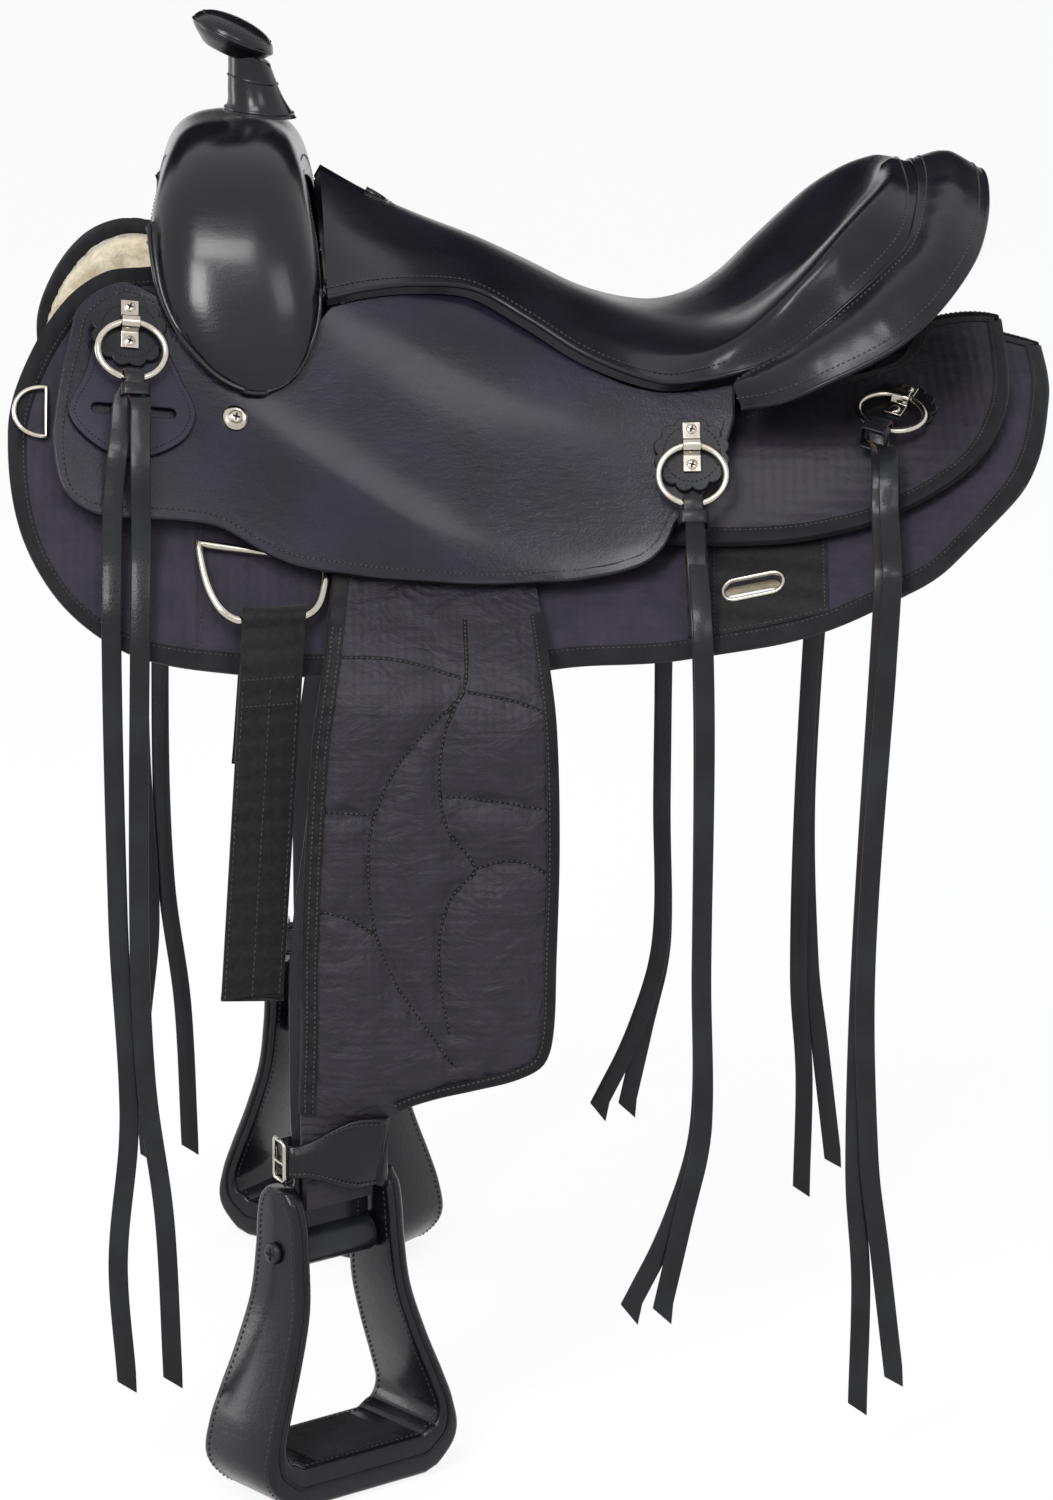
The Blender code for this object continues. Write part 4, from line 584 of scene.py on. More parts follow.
# %% A finish and its textures
def finish(name, colour, roughness, metallic=0.0, **sockets):
    """A material with its plain values; sockets are named with _ in place of a space."""
    material = bpy.data.materials.new(name)
    material.use_nodes = True
    shader = material.node_tree.nodes["Principled BSDF"]
    shader.inputs["Base Color"].default_value = (*colour, 1.0)
    shader.inputs["Roughness"].default_value = roughness
    shader.inputs["Metallic"].default_value = metallic
    for socket, value in sockets.items():
        shader.inputs[socket.replace("_", " ")].default_value = value
    return material


def add(material, kind, links=(), **values):
    """A node in a finish. A link is (input, other node, its output)."""
    tree = material.node_tree
    node = tree.nodes.new(kind)
    for key, value in values.items():
        if hasattr(node, key):
            setattr(node, key, value)
        else:
            node.inputs[key].default_value = value
    for socket, other, output in links:
        tree.links.new(other.outputs[output], node.inputs[socket])
    return node


def texture(material, kind, size=(1.0, 1.0, 1.0), **values):
    """A texture in the piece's own metres, stretched along its axes."""
    place = add(material, "ShaderNodeTexCoord")
    place = add(material, "ShaderNodeMapping", [("Vector", place, "Object")], Scale=size)
    return add(material, "ShaderNodeTex" + kind, [("Vector", place, "Vector")], **values)


def uneven(material, low, high, scale):
    """Let the roughness wander between two values over the surface."""
    cloud = texture(material, "Noise", Scale=scale, Detail=3.0)
    spread = add(material, "ShaderNodeMapRange", [("Value", cloud, "Fac")],
                 **{"From Min": 0.35, "From Max": 0.65})
    spread.inputs["To Min"].default_value = low
    spread.inputs["To Max"].default_value = high
    shader = material.node_tree.nodes["Principled BSDF"]
    material.node_tree.links.new(spread.outputs["Result"], shader.inputs["Roughness"])


def mottle(material, dark, light, scale, detail=4.0):
    """Let the colour wander between two tones."""
    cloud = texture(material, "Noise", Scale=scale, Detail=detail)
    ramp = add(material, "ShaderNodeValToRGB", [("Fac", cloud, "Fac")])
    ramp.color_ramp.elements[0].position, ramp.color_ramp.elements[1].position = 0.35, 0.68
    ramp.color_ramp.elements[0].color, ramp.color_ramp.elements[1].color = (*dark, 1), (*light, 1)
    shader = material.node_tree.nodes["Principled BSDF"]
    material.node_tree.links.new(ramp.outputs["Color"], shader.inputs["Base Color"])


def emboss(material, layers):
    """Stack bumps: each layer is (texture node, output, strength, height in metres)."""
    shader = material.node_tree.nodes["Principled BSDF"]
    before = None
    for texture, output, strength, height in layers:
        links = [("Height", texture, output)] + ([("Normal", before, "Normal")] if before else [])
        before = add(material, "ShaderNodeBump", links, Strength=strength, Distance=height)
    material.node_tree.links.new(before.outputs["Normal"], shader.inputs["Normal"])


LEATHER_SHINE = 0.2


def hide(name, colour, roughness, polish, pores=0.22, creases=0.25, coat=0.3, light=None):
    """Smooth black leather: pores, faint creases, uneven polish."""
    material = finish(name, colour, roughness, Coat_Weight=coat, Coat_Roughness=0.16,
                      Specular_IOR_Level=LEATHER_SHINE)
    fine = texture(material, "Voronoi", Scale=650.0)
    soft = texture(material, "Noise", Scale=1400.0, Detail=2.0)
    crease = texture(material, "Noise", (1, 1, 2.2), Scale=85.0, Detail=6.0, Roughness=0.62)
    waves = texture(material, "Noise", Scale=14.0, Detail=2.0)
    emboss(material, [(waves, "Fac", creases * 0.5, 0.006), (crease, "Fac", creases, 0.0012),
                      (fine, "Distance", pores, 0.00035), (soft, "Fac", pores * 0.6, 0.0002)])
    uneven(material, roughness - polish, roughness + polish, 11.0)
    mottle(material, colour, light or tuple(c * 1.9 for c in colour), 26.0)
    return material


def woven(name, colour, light, threads=900.0, roughness=0.78, depth=0.0003, specular=0.5, crumple=0.0):
    """Woven nylon: two crossing sets of threads, with a little sheen."""
    material = finish(name, colour, roughness, Sheen_Weight=0.08, Sheen_Roughness=0.4,
                      Specular_IOR_Level=specular)
    warp, weft = (texture(material, "Wave", bands_direction=axis, Scale=threads / 20, Distortion=0.6,
                          Detail=1.0) for axis in "XZ")
    cloud = texture(material, "Noise", Scale=300.0, Detail=4.0)
    folds = texture(material, "Noise", (1, 1, 1.7), Scale=34.0, Detail=5.0, Roughness=0.55, Distortion=0.6)
    emboss(material, [(folds, "Fac", crumple, 0.01), (cloud, "Fac", 0.25, 0.0006), (warp, "Fac", 0.5, depth),
                      (weft, "Fac", 0.5, depth)])
    mottle(material, colour, light, 60.0, 6.0)
    return material


# %% [markdown]
# Black leather is never quite black: it carries a trace of violet, and it mirrors a bright room
# as pale, soft patches. So its own colour is kept very dark, and the gloss does the rest. The
# swell and the horn are stretched tight and polished, the stirrups are a little drier.

# %% Leathers, nylons, wool and metal
jockey_leather = hide("jockey_leather", (0.0062, 0.0052, 0.0112), 0.33, 0.08, pores=0.35, creases=0.55,
                      coat=0.3)
swell_leather = hide("swell_leather", (0.0034, 0.003, 0.0052), 0.25, 0.05, pores=0.16, creases=0.18,
                     coat=0.36)
seat_leather = hide("seat_leather", (0.0046, 0.004, 0.0072), 0.3, 0.06, pores=0.18, creases=0.18, coat=0.22)
stirrup_leather = hide("stirrup_leather", (0.004, 0.0036, 0.006), 0.3, 0.07, creases=0.3, coat=0.2)
strap_leather = hide("strap_leather", (0.0075, 0.0073, 0.0105), 0.34, 0.06, light=(0.014, 0.015, 0.019),
                     coat=0.15)
keeper_leather = hide("keeper_leather", (0.017, 0.0148, 0.027), 0.45, 0.05, light=(0.028, 0.025, 0.042),
                      coat=0.12)
burnished_edge = hide("burnished_edge", (0.0045, 0.0042, 0.0055), 0.55, 0.06, coat=0.0)
raw_edge = hide("raw_edge", (0.3, 0.135, 0.045), 0.75, 0.05, coat=0.0, light=(0.16, 0.07, 0.03))
rough_inner_leather = hide("rough_inner_leather", (0.008, 0.007, 0.009), 0.62, 0.08, pores=0.5, creases=0.9,
                           coat=0.0)
skirt_nylon = woven("skirt_nylon", (0.0135, 0.0108, 0.0205), (0.0245, 0.02, 0.0345), specular=0.4,
                    crumple=0.22)
rear_nylon = woven("rear_nylon", (0.0095, 0.0077, 0.0135), (0.0165, 0.0136, 0.0225), roughness=0.6,
                   specular=0.4, crumple=0.15)
fender_nylon = woven("fender_nylon", (0.008, 0.0063, 0.0118), (0.015, 0.0122, 0.0208), threads=1100.0,
                     roughness=0.62, specular=0.42, crumple=0.55)
binding_tape = woven("binding_tape", (0.005, 0.0046, 0.006), (0.0105, 0.0095, 0.0125), threads=600.0,
                     depth=0.0005, specular=0.25)
thread = woven("thread", (0.012, 0.0115, 0.015), (0.024, 0.023, 0.028), threads=2600.0, roughness=0.6)
# Near-black finish for painted shade: strips in grooves and quilting channels, screw recesses, pricked lines.
stitch_channel = hide("stitch_channel", (0.002, 0.0018, 0.0026), 0.6, 0.05, coat=0.0)
tree_polymer = hide("tree_polymer", (0.01, 0.01, 0.011), 0.55, 0.05, pores=0.4, coat=0.0)

nickel = finish("nickel", (0.55, 0.51, 0.44), 0.16, 1.0)
scratches = texture(nickel, "Noise", (1, 1, 6), Scale=220.0, Detail=5.0)
emboss(nickel, [(scratches, "Fac", 0.1, 0.0003)])
uneven(nickel, 0.12, 0.26, 60.0)
mottle(nickel, (0.46, 0.42, 0.36), (0.6, 0.56, 0.49), 40.0)

blackened_steel = finish("blackened_steel", (0.045, 0.044, 0.047), 0.38, 1.0)
uneven(blackened_steel, 0.3, 0.46, 90.0)
mottle(blackened_steel, (0.03, 0.029, 0.032), (0.065, 0.063, 0.066), 60.0)

webbing = finish("webbing", (0.006, 0.0058, 0.0065), 0.7, Specular_IOR_Level=0.25, Sheen_Weight=0.06)
ribs = texture(webbing, "Wave", bands_direction="Z", Scale=22.0, Distortion=0.5, Detail=2.0)
cross = texture(webbing, "Wave", bands_direction="X", Scale=38.0, Distortion=0.8)
emboss(webbing, [(ribs, "Fac", 0.9, 0.0012), (cross, "Fac", 0.35, 0.0005)])
mottle(webbing, (0.003, 0.0029, 0.0034), (0.009, 0.0086, 0.0095), 300.0)

fleece_wool = finish("fleece_wool", (0.74, 0.64, 0.46), 0.95, Sheen_Weight=0.4, Specular_IOR_Level=0.15)
curls = texture(fleece_wool, "Noise", Scale=260.0, Detail=8.0, Distortion=1.2)
tufts = texture(fleece_wool, "Voronoi", Scale=90.0)
emboss(fleece_wool, [(tufts, "Distance", 0.6, 0.004), (curls, "Fac", 0.8, 0.002)])
mottle(fleece_wool, (0.58, 0.48, 0.32), (0.84, 0.75, 0.57), 70.0, 8.0)
print("finishes:", len(bpy.data.materials))

# %% [markdown]
# ## Skirts
#
# The skirts are the large sheets that spread the load over the horse. On this saddle they are
# heavy woven nylon, bound all round with tape, and lined with fleece. The sheet is one panel
# with a real hole for the flank strap. The tape is a band that wraps the edge, and its stitches
# follow it at an even pitch.

# %% Skirt outline
SKIRT_EDGE = (
    (-0.345, 0.278), (-0.337, 0.34), (-0.309, 0.376), (-0.264, 0.386), (-0.2, 0.362),
    (-0.1, 0.306), (0.013, 0.258), (0.1, 0.253), (0.18, 0.255), (0.224, 0.25),
    (0.272, 0.235), (0.325, 0.179), (0.35, 0.08), (0.354, 0.003, CORNER), (0.24, 0.003, CORNER),
    (0.19, 0.02), (0.14, 0.04), (-0.15, 0.042), (-0.215, 0.08), (-0.255, 0.115),
    (-0.283, 0.136), (-0.31, 0.173), (-0.335, 0.231),
)
FLANK_SLOT, FLANK_SLOT_SIZE, TAPE_LIFT = (0.143, 0.212), (0.037, 0.012), 0.0009


def stadium(centre, length, width, grow=0.0, points=10):
    """A slot with round ends."""
    length, width = length + grow, width + grow
    half = length / 2 - width / 2
    return [Vector((centre[0] + end * half + width / 2 * cos(radians(start + 180 * k / points)),
                    centre[1] + width / 2 * sin(radians(start + 180 * k / points))))
            for end, start in ((1, -90), (-1, 90)) for k in range(points + 1)]


def off_form(x, s, side):
    """The direction straight out of the form at a pattern place."""
    return (lay(x, s, 0.1, side) - lay(x, s, 0.0, side)).normalized()


def up_here(side):
    return lambda p: off_form(p.x, pattern_place(p)[0], side)


def edge_band(name, outline, top, thick, width, side):
    """Binding tape folded over the edge of a laid piece."""
    line, lift = spline(outline, 0.005, closed=True), TAPE_LIFT
    profile = ((width, -0.0003), (width - 0.0005, lift), (0.0014, lift), (-0.0006, lift * 0.4),
               (-0.0011, -thick / 2), (-0.0006, -thick - 0.0002), (0.0014, -thick - 0.0006),
               (width * 0.8, -thick - 0.0004))
    rings = []
    for p, n in zip(line, inward(line)):
        places = [(p + n * inset, height) for inset, height in profile]
        rings.append([lay(q.x, max(q.y, 0.001), top(q.x, max(q.y, 0.001)) + height, side)
                      for q, height in places])
    swept(name, rings, binding_tape, "saddle", closed=True, smooth=60.0)


def inset_line(outline, inset, top, height, side, step=0.005, keep=lambda q: True):
    """A line laid at an even distance inside an outline."""
    line = spline(outline, step, closed=True)
    places = [p + n * inset for p, n in zip(line, inward(line))]
    return [lay(q.x, q.y, top(q.x, q.y) + height, side) for q in places if keep(q)]


# %% Skirts with tape, stitches and slot
for side, word in SIDES:
    panel(f"{word}_skirt_sheet", SKIRT_EDGE, level(SKIRT_LOW), skirt_top, lay, side, skirt_nylon, "saddle",
          holes=[stadium(FLANK_SLOT, *FLANK_SLOT_SIZE)], cell=0.011, node=f"{word}_skirt")
    edge_band(f"{word}_skirt_tape", SKIRT_EDGE, skirt_top, SKIRT_TOP - SKIRT_LOW, 0.0115, side)
    row = inset_line(SKIRT_EDGE, 0.0092, skirt_top, TAPE_LIFT, side)
    stitch_row(f"{word}_skirt_stitches", row, up_here(side), closed=True)
print("skirts are bound; the slot is", FLANK_SLOT_SIZE[0] * 1000, "mm long")

# %% [markdown]
# The flank strap passes through a slot with a metal lip, in a patch of webbing that is sewn on.
# A second narrow strip of webbing runs down beside it, and a seam crosses the skirt at the
# front. These are thin laid patches, so each is a small panel on top of the skirt.

# %% Patches and the slot's lip
def patch(name, corners, thick, side, holes=()):
    """A thin patch of webbing sewn on the skirt, with a stitch row round it."""
    outline = [(*c, CORNER) for c in corners]
    panel(name, outline, level(SKIRT_TOP - 0.0005), level(SKIRT_TOP + thick), lay, side, webbing, "saddle",
          holes=holes, cell=0.01, step=0.006)
    row = inset_line(outline, 0.0025, skirt_top, thick, side, 0.006)
    stitch_row(name + "_stitches", row, up_here(side), closed=True)


FLANK_PATCH = ((0.1177, 0.15), (0.194, 0.15), (0.191, 0.244), (0.114, 0.242))
FLANK_STRIP = ((0.1, 0.15), (0.113, 0.15), (0.111, 0.241), (0.099, 0.241))
PATCH_THICK, LIP_GROWS = 0.0012, 0.003
for side, word in SIDES:
    slot_hole = stadium(FLANK_SLOT, *FLANK_SLOT_SIZE, LIP_GROWS)
    patch(f"{word}_flank_patch", FLANK_PATCH, PATCH_THICK, side, [slot_hole])
    patch(f"{word}_flank_strip", FLANK_STRIP, 0.0011, side)
    lip = [lay(q.x, q.y, SKIRT_TOP + PATCH_THICK, side) for q in slot_hole]
    tube(f"{word}_slot_lip", lip, 0.0015, nickel, "saddle", closed=True, sides=10)
    liner = [[lay(q.x, q.y, height, side) for q in stadium(FLANK_SLOT, *FLANK_SLOT_SIZE, grow)]
             for grow, height in ((0.0025, SKIRT_TOP + 0.001), (0.0004, SKIRT_TOP), (0.0004, SKIRT_LOW))]
    swept(f"{word}_slot_liner", liner, nickel, "saddle", caps=False, smooth=50)
    seam = [lay(-0.2255, s, SKIRT_TOP, side) for s in np.arange(0.272, 0.364, 0.004)]
    forward = [Vector((1, 0, 0))] * len(seam)
    ups = [off_form(p.x, pattern_place(p)[0], side) for p in seam]
    ribbon(f"{word}_skirt_seam", seam, forward, ups, 0.006, 0.0009, skirt_nylon, "saddle")
    stitch_row(f"{word}_skirt_seam_stitches", [p + Vector((0.0045, 0, 0)) for p in seam], up_here(side))
print("patches are sewn on")

# %% [markdown]
# ## Fleece
#
# Wool lining shows wherever the skirt turns away from us, above all at the front of the far
# side. A smooth cream slab would look like foam, so the panel's points are pushed in and out by
# noise, more strongly on the horse's side, which breaks the surface and its edge into tufts.

# %% Woolly linings
def drawn_in(outline, distance):
    """An outline drawn in by a distance, with its corners kept."""
    places = [Vector(p[:2]) for p in outline]
    moved = [p + n * distance for p, n in zip(places, inward(places))]
    return [(q.x, max(q.y, 0.003), *p[2:]) for q, p in zip(moved, outline)]


for side, word in SIDES:
    fleece = panel(f"{word}_fleece_lining", drawn_in(SKIRT_EDGE, 0.006), level(0.0006), level(FLEECE_THICK),
                   lay, side, fleece_wool, "saddle", cell=0.006, step=0.004,
                   holes=[stadium(FLANK_SLOT, *FLANK_SLOT_SIZE, 0.004)], node=f"{word}_fleece", smooth=180)
    for vertex in fleece.data.vertices:
        s, height = pattern_place(vertex.co)
        tuft = noise.noise(vertex.co * 160.0) * 0.6 + noise.noise(vertex.co * 380.0) * 0.4
        inner = 1.0 if height < FLEECE_THICK / 2 else 0.25
        vertex.co += off_form(vertex.co.x, s, side) * (tuft * 0.0022 - 0.0004) * inner
        vertex.co.x += noise.noise(vertex.co * 240.0 + Vector((7, 0, 0))) * 0.0012
    fleece.data.update()
print("fleece is tufted:", len(fleece.data.polygons), "faces a side")

# %% [markdown]
# ## Jockeys
#
# The jockeys are the flat leathers that lie on the skirts: one beside the seat and one behind
# the cantle. The seat jockey is cut from heavy leather. Its edge is rounded and burnished, and
# a stitched groove runs about six millimetres inside it; the groove's shade is painted as a low
# near-black strip. The rear jockey is padded and bound with tape, as the skirts are. A finer
# mesh than the frame's lets their curves run cleanly.

# %% Jockey outlines
JOCKEY_EDGE = (
    (0.1336, 0.1175, CORNER), (0.1284, 0.1305), (0.119, 0.146), (0.109, 0.16), (0.0955, 0.168),
    (0.085, 0.184), (0.071, 0.194), (0.03, 0.204), (-0.005, 0.21), (-0.064, 0.2276),
    (-0.114, 0.2526), (-0.156, 0.272), (-0.177, 0.276), (-0.206, 0.277), (-0.225, 0.284),
    (-0.2635, 0.302), (-0.291, 0.311), (-0.309, 0.305), (-0.316, 0.277), (-0.3134, 0.246),
    (-0.306, 0.205), (-0.299, 0.177), (-0.273, 0.149), (-0.25, 0.147), (-0.185, 0.156),
    (-0.164, 0.152), (-0.152, 0.137), (-0.144, 0.119), (-0.134, 0.105, CORNER),
    (-0.108, 0.088), (-0.075, 0.069), (-0.055, 0.058), (-0.038, 0.0546),
    (-0.021, 0.0585), (-0.002, 0.0673), (0.018, 0.0765), (0.038, 0.0865),
    (0.058, 0.0945), (0.084, 0.0997), (0.111, 0.1003), (0.134, 0.0985, CORNER),
)
REAR_JOCKEY_EDGE = (
    (0.085, 0.172, CORNER), (0.103, 0.176), (0.16, 0.187), (0.194, 0.192), (0.227, 0.193),
    (0.272, 0.181), (0.295, 0.165), (0.311, 0.136), (0.32, 0.1), (0.325, 0.02),
    (0.326, 0.003, CORNER), (0.268, 0.003, CORNER), (0.262, 0.03), (0.244, 0.056),
    (0.205, 0.074), (0.165, 0.086), (0.12, 0.098), (0.085, 0.112, CORNER),
)


def full_face(outline, high, swell):
    """A face that rises away from its edge, so that a pad is full."""
    line = spline(outline, 0.004, closed=True)

    def face(x, s):
        return high(x, s) + swell * smooth_step(float(edge_distance(np.array([[x, s]]), line)[0]) / 0.03)

    return face


def groove_shows(q):
    """Whether the stitched groove is open to view, and not under the seat or the swell."""
    return q.y > 0.118 and not (-0.24 < q.x < -0.14 and q.y < 0.16)


# %% Seat jockeys with their painted groove shade and stitches
for side, word in SIDES:
    jockey = panel(f"{word}_jockey_leather", JOCKEY_EDGE, lambda x, s: jockey_top(x, s) - JOCKEY_THICK,
                   jockey_top, lay, side, jockey_leather, "saddle", cell=0.009, step=0.005,
                   edge=burnished_edge, node=f"{word}_seat_jockey")
    soften(jockey, 0.0015, 3)
    groove = inset_line(JOCKEY_EDGE, 0.0062, jockey_top, -0.0002, side, keep=groove_shows)
    runs, run = [], groove[:1]
    for a, b in zip(groove, groove[1:]):
        if (b - a).length > 0.02:
            runs.append(run)
            run = []
        run.append(b)
    for k, line in enumerate(runs + [run]):
        if len(line) > 4:
            ups = [up_here(side)(p) for p in line]
            across = [u.cross(way) for u, way in zip(ups, ways(line))]
            # The groove's shade is painted: a low near-black strip lies along it.
            ribbon(f"{word}_jockey_groove_shade_{k}", line, across, ups, 0.0019, 0.00035, stitch_channel, "saddle",
                   rounded=2)
            stitch_row(f"{word}_jockey_stitches_{k}", [p + u * 0.0003 for p, u in zip(line, ups)],
                       up_here(side), pitch=0.0036, width=0.0011)
print("seat jockeys are cut, burnished and stitched")

# %% Rear jockeys, padded and bound
for side, word in SIDES:
    panel(f"{word}_rear_leather", REAR_JOCKEY_EDGE, lambda x, s: rear_top(x, s) - JOCKEY_THICK,
          full_face(REAR_JOCKEY_EDGE, rear_top, 0.0014), lay, side, rear_nylon, "saddle", cell=0.01,
          step=0.006, node=f"{word}_rear_jockey")
    edge_band(f"{word}_rear_tape", REAR_JOCKEY_EDGE, rear_top, JOCKEY_THICK, 0.0105, side)
    row = inset_line(REAR_JOCKEY_EDGE, 0.0082, rear_top, TAPE_LIFT, side)
    stitch_row(f"{word}_rear_stitches", row, up_here(side), closed=True)
print("rear jockeys are bound")

# %% [markdown]
# ## Swell and horn
#
# The swell is the broad arch at the front of the tree. Wet leather is pulled over it and dries
# tight, so it has no folds on the shoulders and a hard, bright shine. Its form is drawn as a row
# of rounded sections across the arch. A rounded square section reads as leather over a block; a
# circle would look like a pipe.

# %% Swell cover
SWELL = (
    (0.0, 0.187, -0.246, -0.154, 0.045), (0.045, 0.186, -0.247, -0.152, 0.045),
    (0.085, 0.176, -0.25, -0.149, 0.045), (0.118, 0.155, -0.2535, -0.146, 0.045),
    (0.143, 0.124, -0.2535, -0.1425, 0.04), (0.158, 0.092, -0.249, -0.141, 0.03),
    (0.166, 0.065, -0.24, -0.143, 0.024), (0.17, 0.042, -0.223, -0.152, 0.016),
    (0.17, 0.0335, -0.213, -0.159, 0.01), (0.17, 0.028, -0.202, -0.168, 0.006),
    (0.1695, 0.0254, -0.192, -0.1765, 0.003),
)
SWELL_SQUARE = 0.7
COVER_THICK = 0.003


def drape(point):
    """Keep a point of the swell cover on or above the seat jockey."""
    s, height = pattern_place(point)
    least = jockey_top(point.x, s) + REST_GAP + COVER_THICK
    if s > 0.102 and height < least:
        return lay(point.x, s, least, -1 if point.y < 0 else 1)
    return point


def mirrored(point):
    return Vector((point.x, -point.y, point.z))


def shell(name, grid, thickness, material, **named):
    """A bent sheet from a grid of points on its outer face, with its back and edges."""
    rows, columns = len(grid), len(grid[0])
    normals = []
    for i, row in enumerate(grid):
        before, after = grid[max(i - 1, 0)], grid[min(i + 1, rows - 1)]
        for j in range(columns):
            across = row[min(j + 1, columns - 1)] - row[max(j - 1, 0)]
            normals.append((after[j] - before[j]).cross(across).normalized())
    outer = [p for row in grid for p in row]
    if sum(n.z for n in normals) < 0:
        normals = [-n for n in normals]
    inner = [p - n * thickness for p, n in zip(outer, normals)]
    faces = two_sided(grid_faces(rows, columns), len(outer), [border_loop(rows, columns)])
    return piece(name, outer + inner, faces, material, "saddle", **named), normals


def swell_grid(rows_between, columns):
    """Sections across the arch, from the far end over the top to the near end."""
    stations = spline([Vector(row) for row in SWELL], rows_between)
    arch = [Vector((0, row[0], row[1])) for row in stations]
    grid = []
    for i, row in enumerate(stations):
        before = arch[i - 1] if i else mirrored(arch[1])
        after = arch[min(i + 1, len(arch) - 1)]
        inner = Vector((1, 0, 0)).cross(after - before).normalized()
        inner = -inner if inner.z > 0 or (abs(inner.z) < 1e-6 and inner.y > 0) else inner
        upright_part = smooth_step((i - (len(arch) - 1 - 3.5 * rows_between)) / rows_between)
        inner = inner.lerp(Vector((0, -1, 0)), upright_part).normalized()
        middle, half = (row[2] + row[3]) / 2, (row[3] - row[2]) / 2
        line = []
        for k in range(columns + 1):
            angle = pi * k / columns
            c, s = cos(angle), max(sin(angle), 0.0)
            wide = -copysign(abs(c) ** SWELL_SQUARE, c) * half
            point = Vector((middle + wide, arch[i].y, arch[i].z)) + inner * (1.0 - s ** SWELL_SQUARE) * row[4]
            line.append(drape(point))
        grid.append(line)
    return [[mirrored(p) for p in row] for row in reversed(grid[1:])] + grid


swell = swell_grid(6, 40)
_, swell_up = shell("swell_leather_cover", swell, COVER_THICK, swell_leather, node="swell_cover", smooth=60)
print("swell:", len(swell), "sections")

# %% [markdown]
# The swell cover ends in a folded, stitched edge at its front and rear and round the lower
# corners. Piping follows that edge, with a row of stitches just above it at the front and at
# the rear, beside the hand-hold.

# %% Piping and stitches round the swell
columns = len(swell[0])
edges = (("front", [row[0] for row in swell]), ("rear", [row[-1] for row in swell]), ("near", swell[-1]),
         ("far", swell[0]))
for name, line in edges:
    lifted = [p + Vector((0, copysign(0.0006, p.y) if abs(p.y) > 0.02 else 0, 0.0004)) for p in line]
    tube(f"swell_{name}_piping", lifted, 0.0017, swell_leather, "saddle", sides=8)
for name, column in (("front", 2), ("rear", columns - 3)):
    line = [row[column] for row in swell]
    ups = [swell_up[i * columns + column] for i in range(len(swell))]
    stitch_row(f"swell_{name}_stitches", [p + u * 0.0002 for p, u in zip(line, ups)], nearest(line, ups),
               pitch=0.0036, width=0.0012)
print("swell edges are piped")

# %% Horn: cap, neck, and their seams
HORN_TILT, HORN_NECK_TOP = radians(25), 0.2325
HORN_CAP_CENTRE = Vector((-0.1985, 0.0, 0.2425))
HORN_CAP_PROFILE = (
    (0.0, 0.0105), (0.006, 0.0104), (0.012, 0.0098), (0.021, 0.0076), (0.0272, 0.0034), (0.0295, -0.001),
    (0.0275, -0.0052), (0.0215, -0.01), (0.015, -0.014), (0.0, -0.0145),
)
HORN_NECK = (
    (-0.1815, 0.1875, 0.0255, 0.025), (-0.1825, 0.1945, 0.0215, 0.0205), (-0.185, 0.204, 0.0185, 0.018),
    (-0.1865, 0.216, 0.0168, 0.0168), (-0.189, 0.233, 0.0165, 0.017),
)


def turned(name, profile, at, material, body, segments=32, smooth=35.0, **named):
    """A turned piece: (radius, height) pairs with both ends on the axis."""
    rings = [circle(r, h, segments, at) for r, h in profile[1:-1]]
    vertices = [p for ring in rings for p in ring]
    faces = grid_faces(len(rings), segments, ring=True)
    for end, row in ((profile[0], 0), (profile[-1], len(rings) - 1)):
        vertices.append(at @ Vector((0, 0, end[1])))
        faces += [(len(vertices) - 1, row * segments + k, row * segments + (k + 1) % segments)
                  for k in range(segments)]
    return piece(name, vertices, faces, material, body, smooth=smooth, **named)


cap_frame = Matrix.Translation(HORN_CAP_CENTRE) @ Matrix.Rotation(HORN_TILT, 4, "Y")
cap_profile = [tuple(p) for p in spline([Vector(p) for p in HORN_CAP_PROFILE], 3)]
turned("horn_cap_cover", [(abs(r), h) for r, h in cap_profile], cap_frame, swell_leather, "saddle", 48, 80,
       node="horn_cap")
rim = circle(0.029, -0.0018, 64, cap_frame)
tube("horn_rim_welt", rim, 0.0012, swell_leather, "saddle", closed=True, sides=8)
stitch_row("horn_rim_stitches", circle(0.0252, 0.0051, 64, cap_frame),
           lambda p: (p - HORN_CAP_CENTRE).normalized(), pitch=0.003, width=0.001, closed=True)

neck = []
for x, z, radius in spline([Vector((x, z, (long + wide) / 2)) for x, z, long, wide in HORN_NECK], 5):
    if z > HORN_NECK_TOP:
        break
    lean = radians(6) + HORN_TILT * smooth_step((z - 0.2) / 0.035)
    neck.append(circle(radius, 0, 40, Matrix.Translation((x, 0, z)) @ Matrix.Rotation(lean, 4, "Y")))
swept("horn_neck_wrap", neck, swell_leather, "saddle", smooth=60, node="horn_neck")
for k, row in enumerate((2, len(neck) // 2 + 3)):
    tube(f"horn_wrap_seam_{k}", neck[row], 0.0009, swell_leather, "saddle", closed=True, sides=6)
print("horn stands", round(max(p.z for p in rim), 3), "m above the rack")

# %% [markdown]
# ## Seat
#
# The seat is smooth leather over a thin foam pad on the ground seat. It dips in the middle,
# rises to the cantle, and its sides roll down over the jockeys to a stitched border. The form
# is a row of ribs, each running from the middle line over the crest to the border. A slot at
# the front lets a hand go through under the swell. A full grid of quads keeps the shine calm.

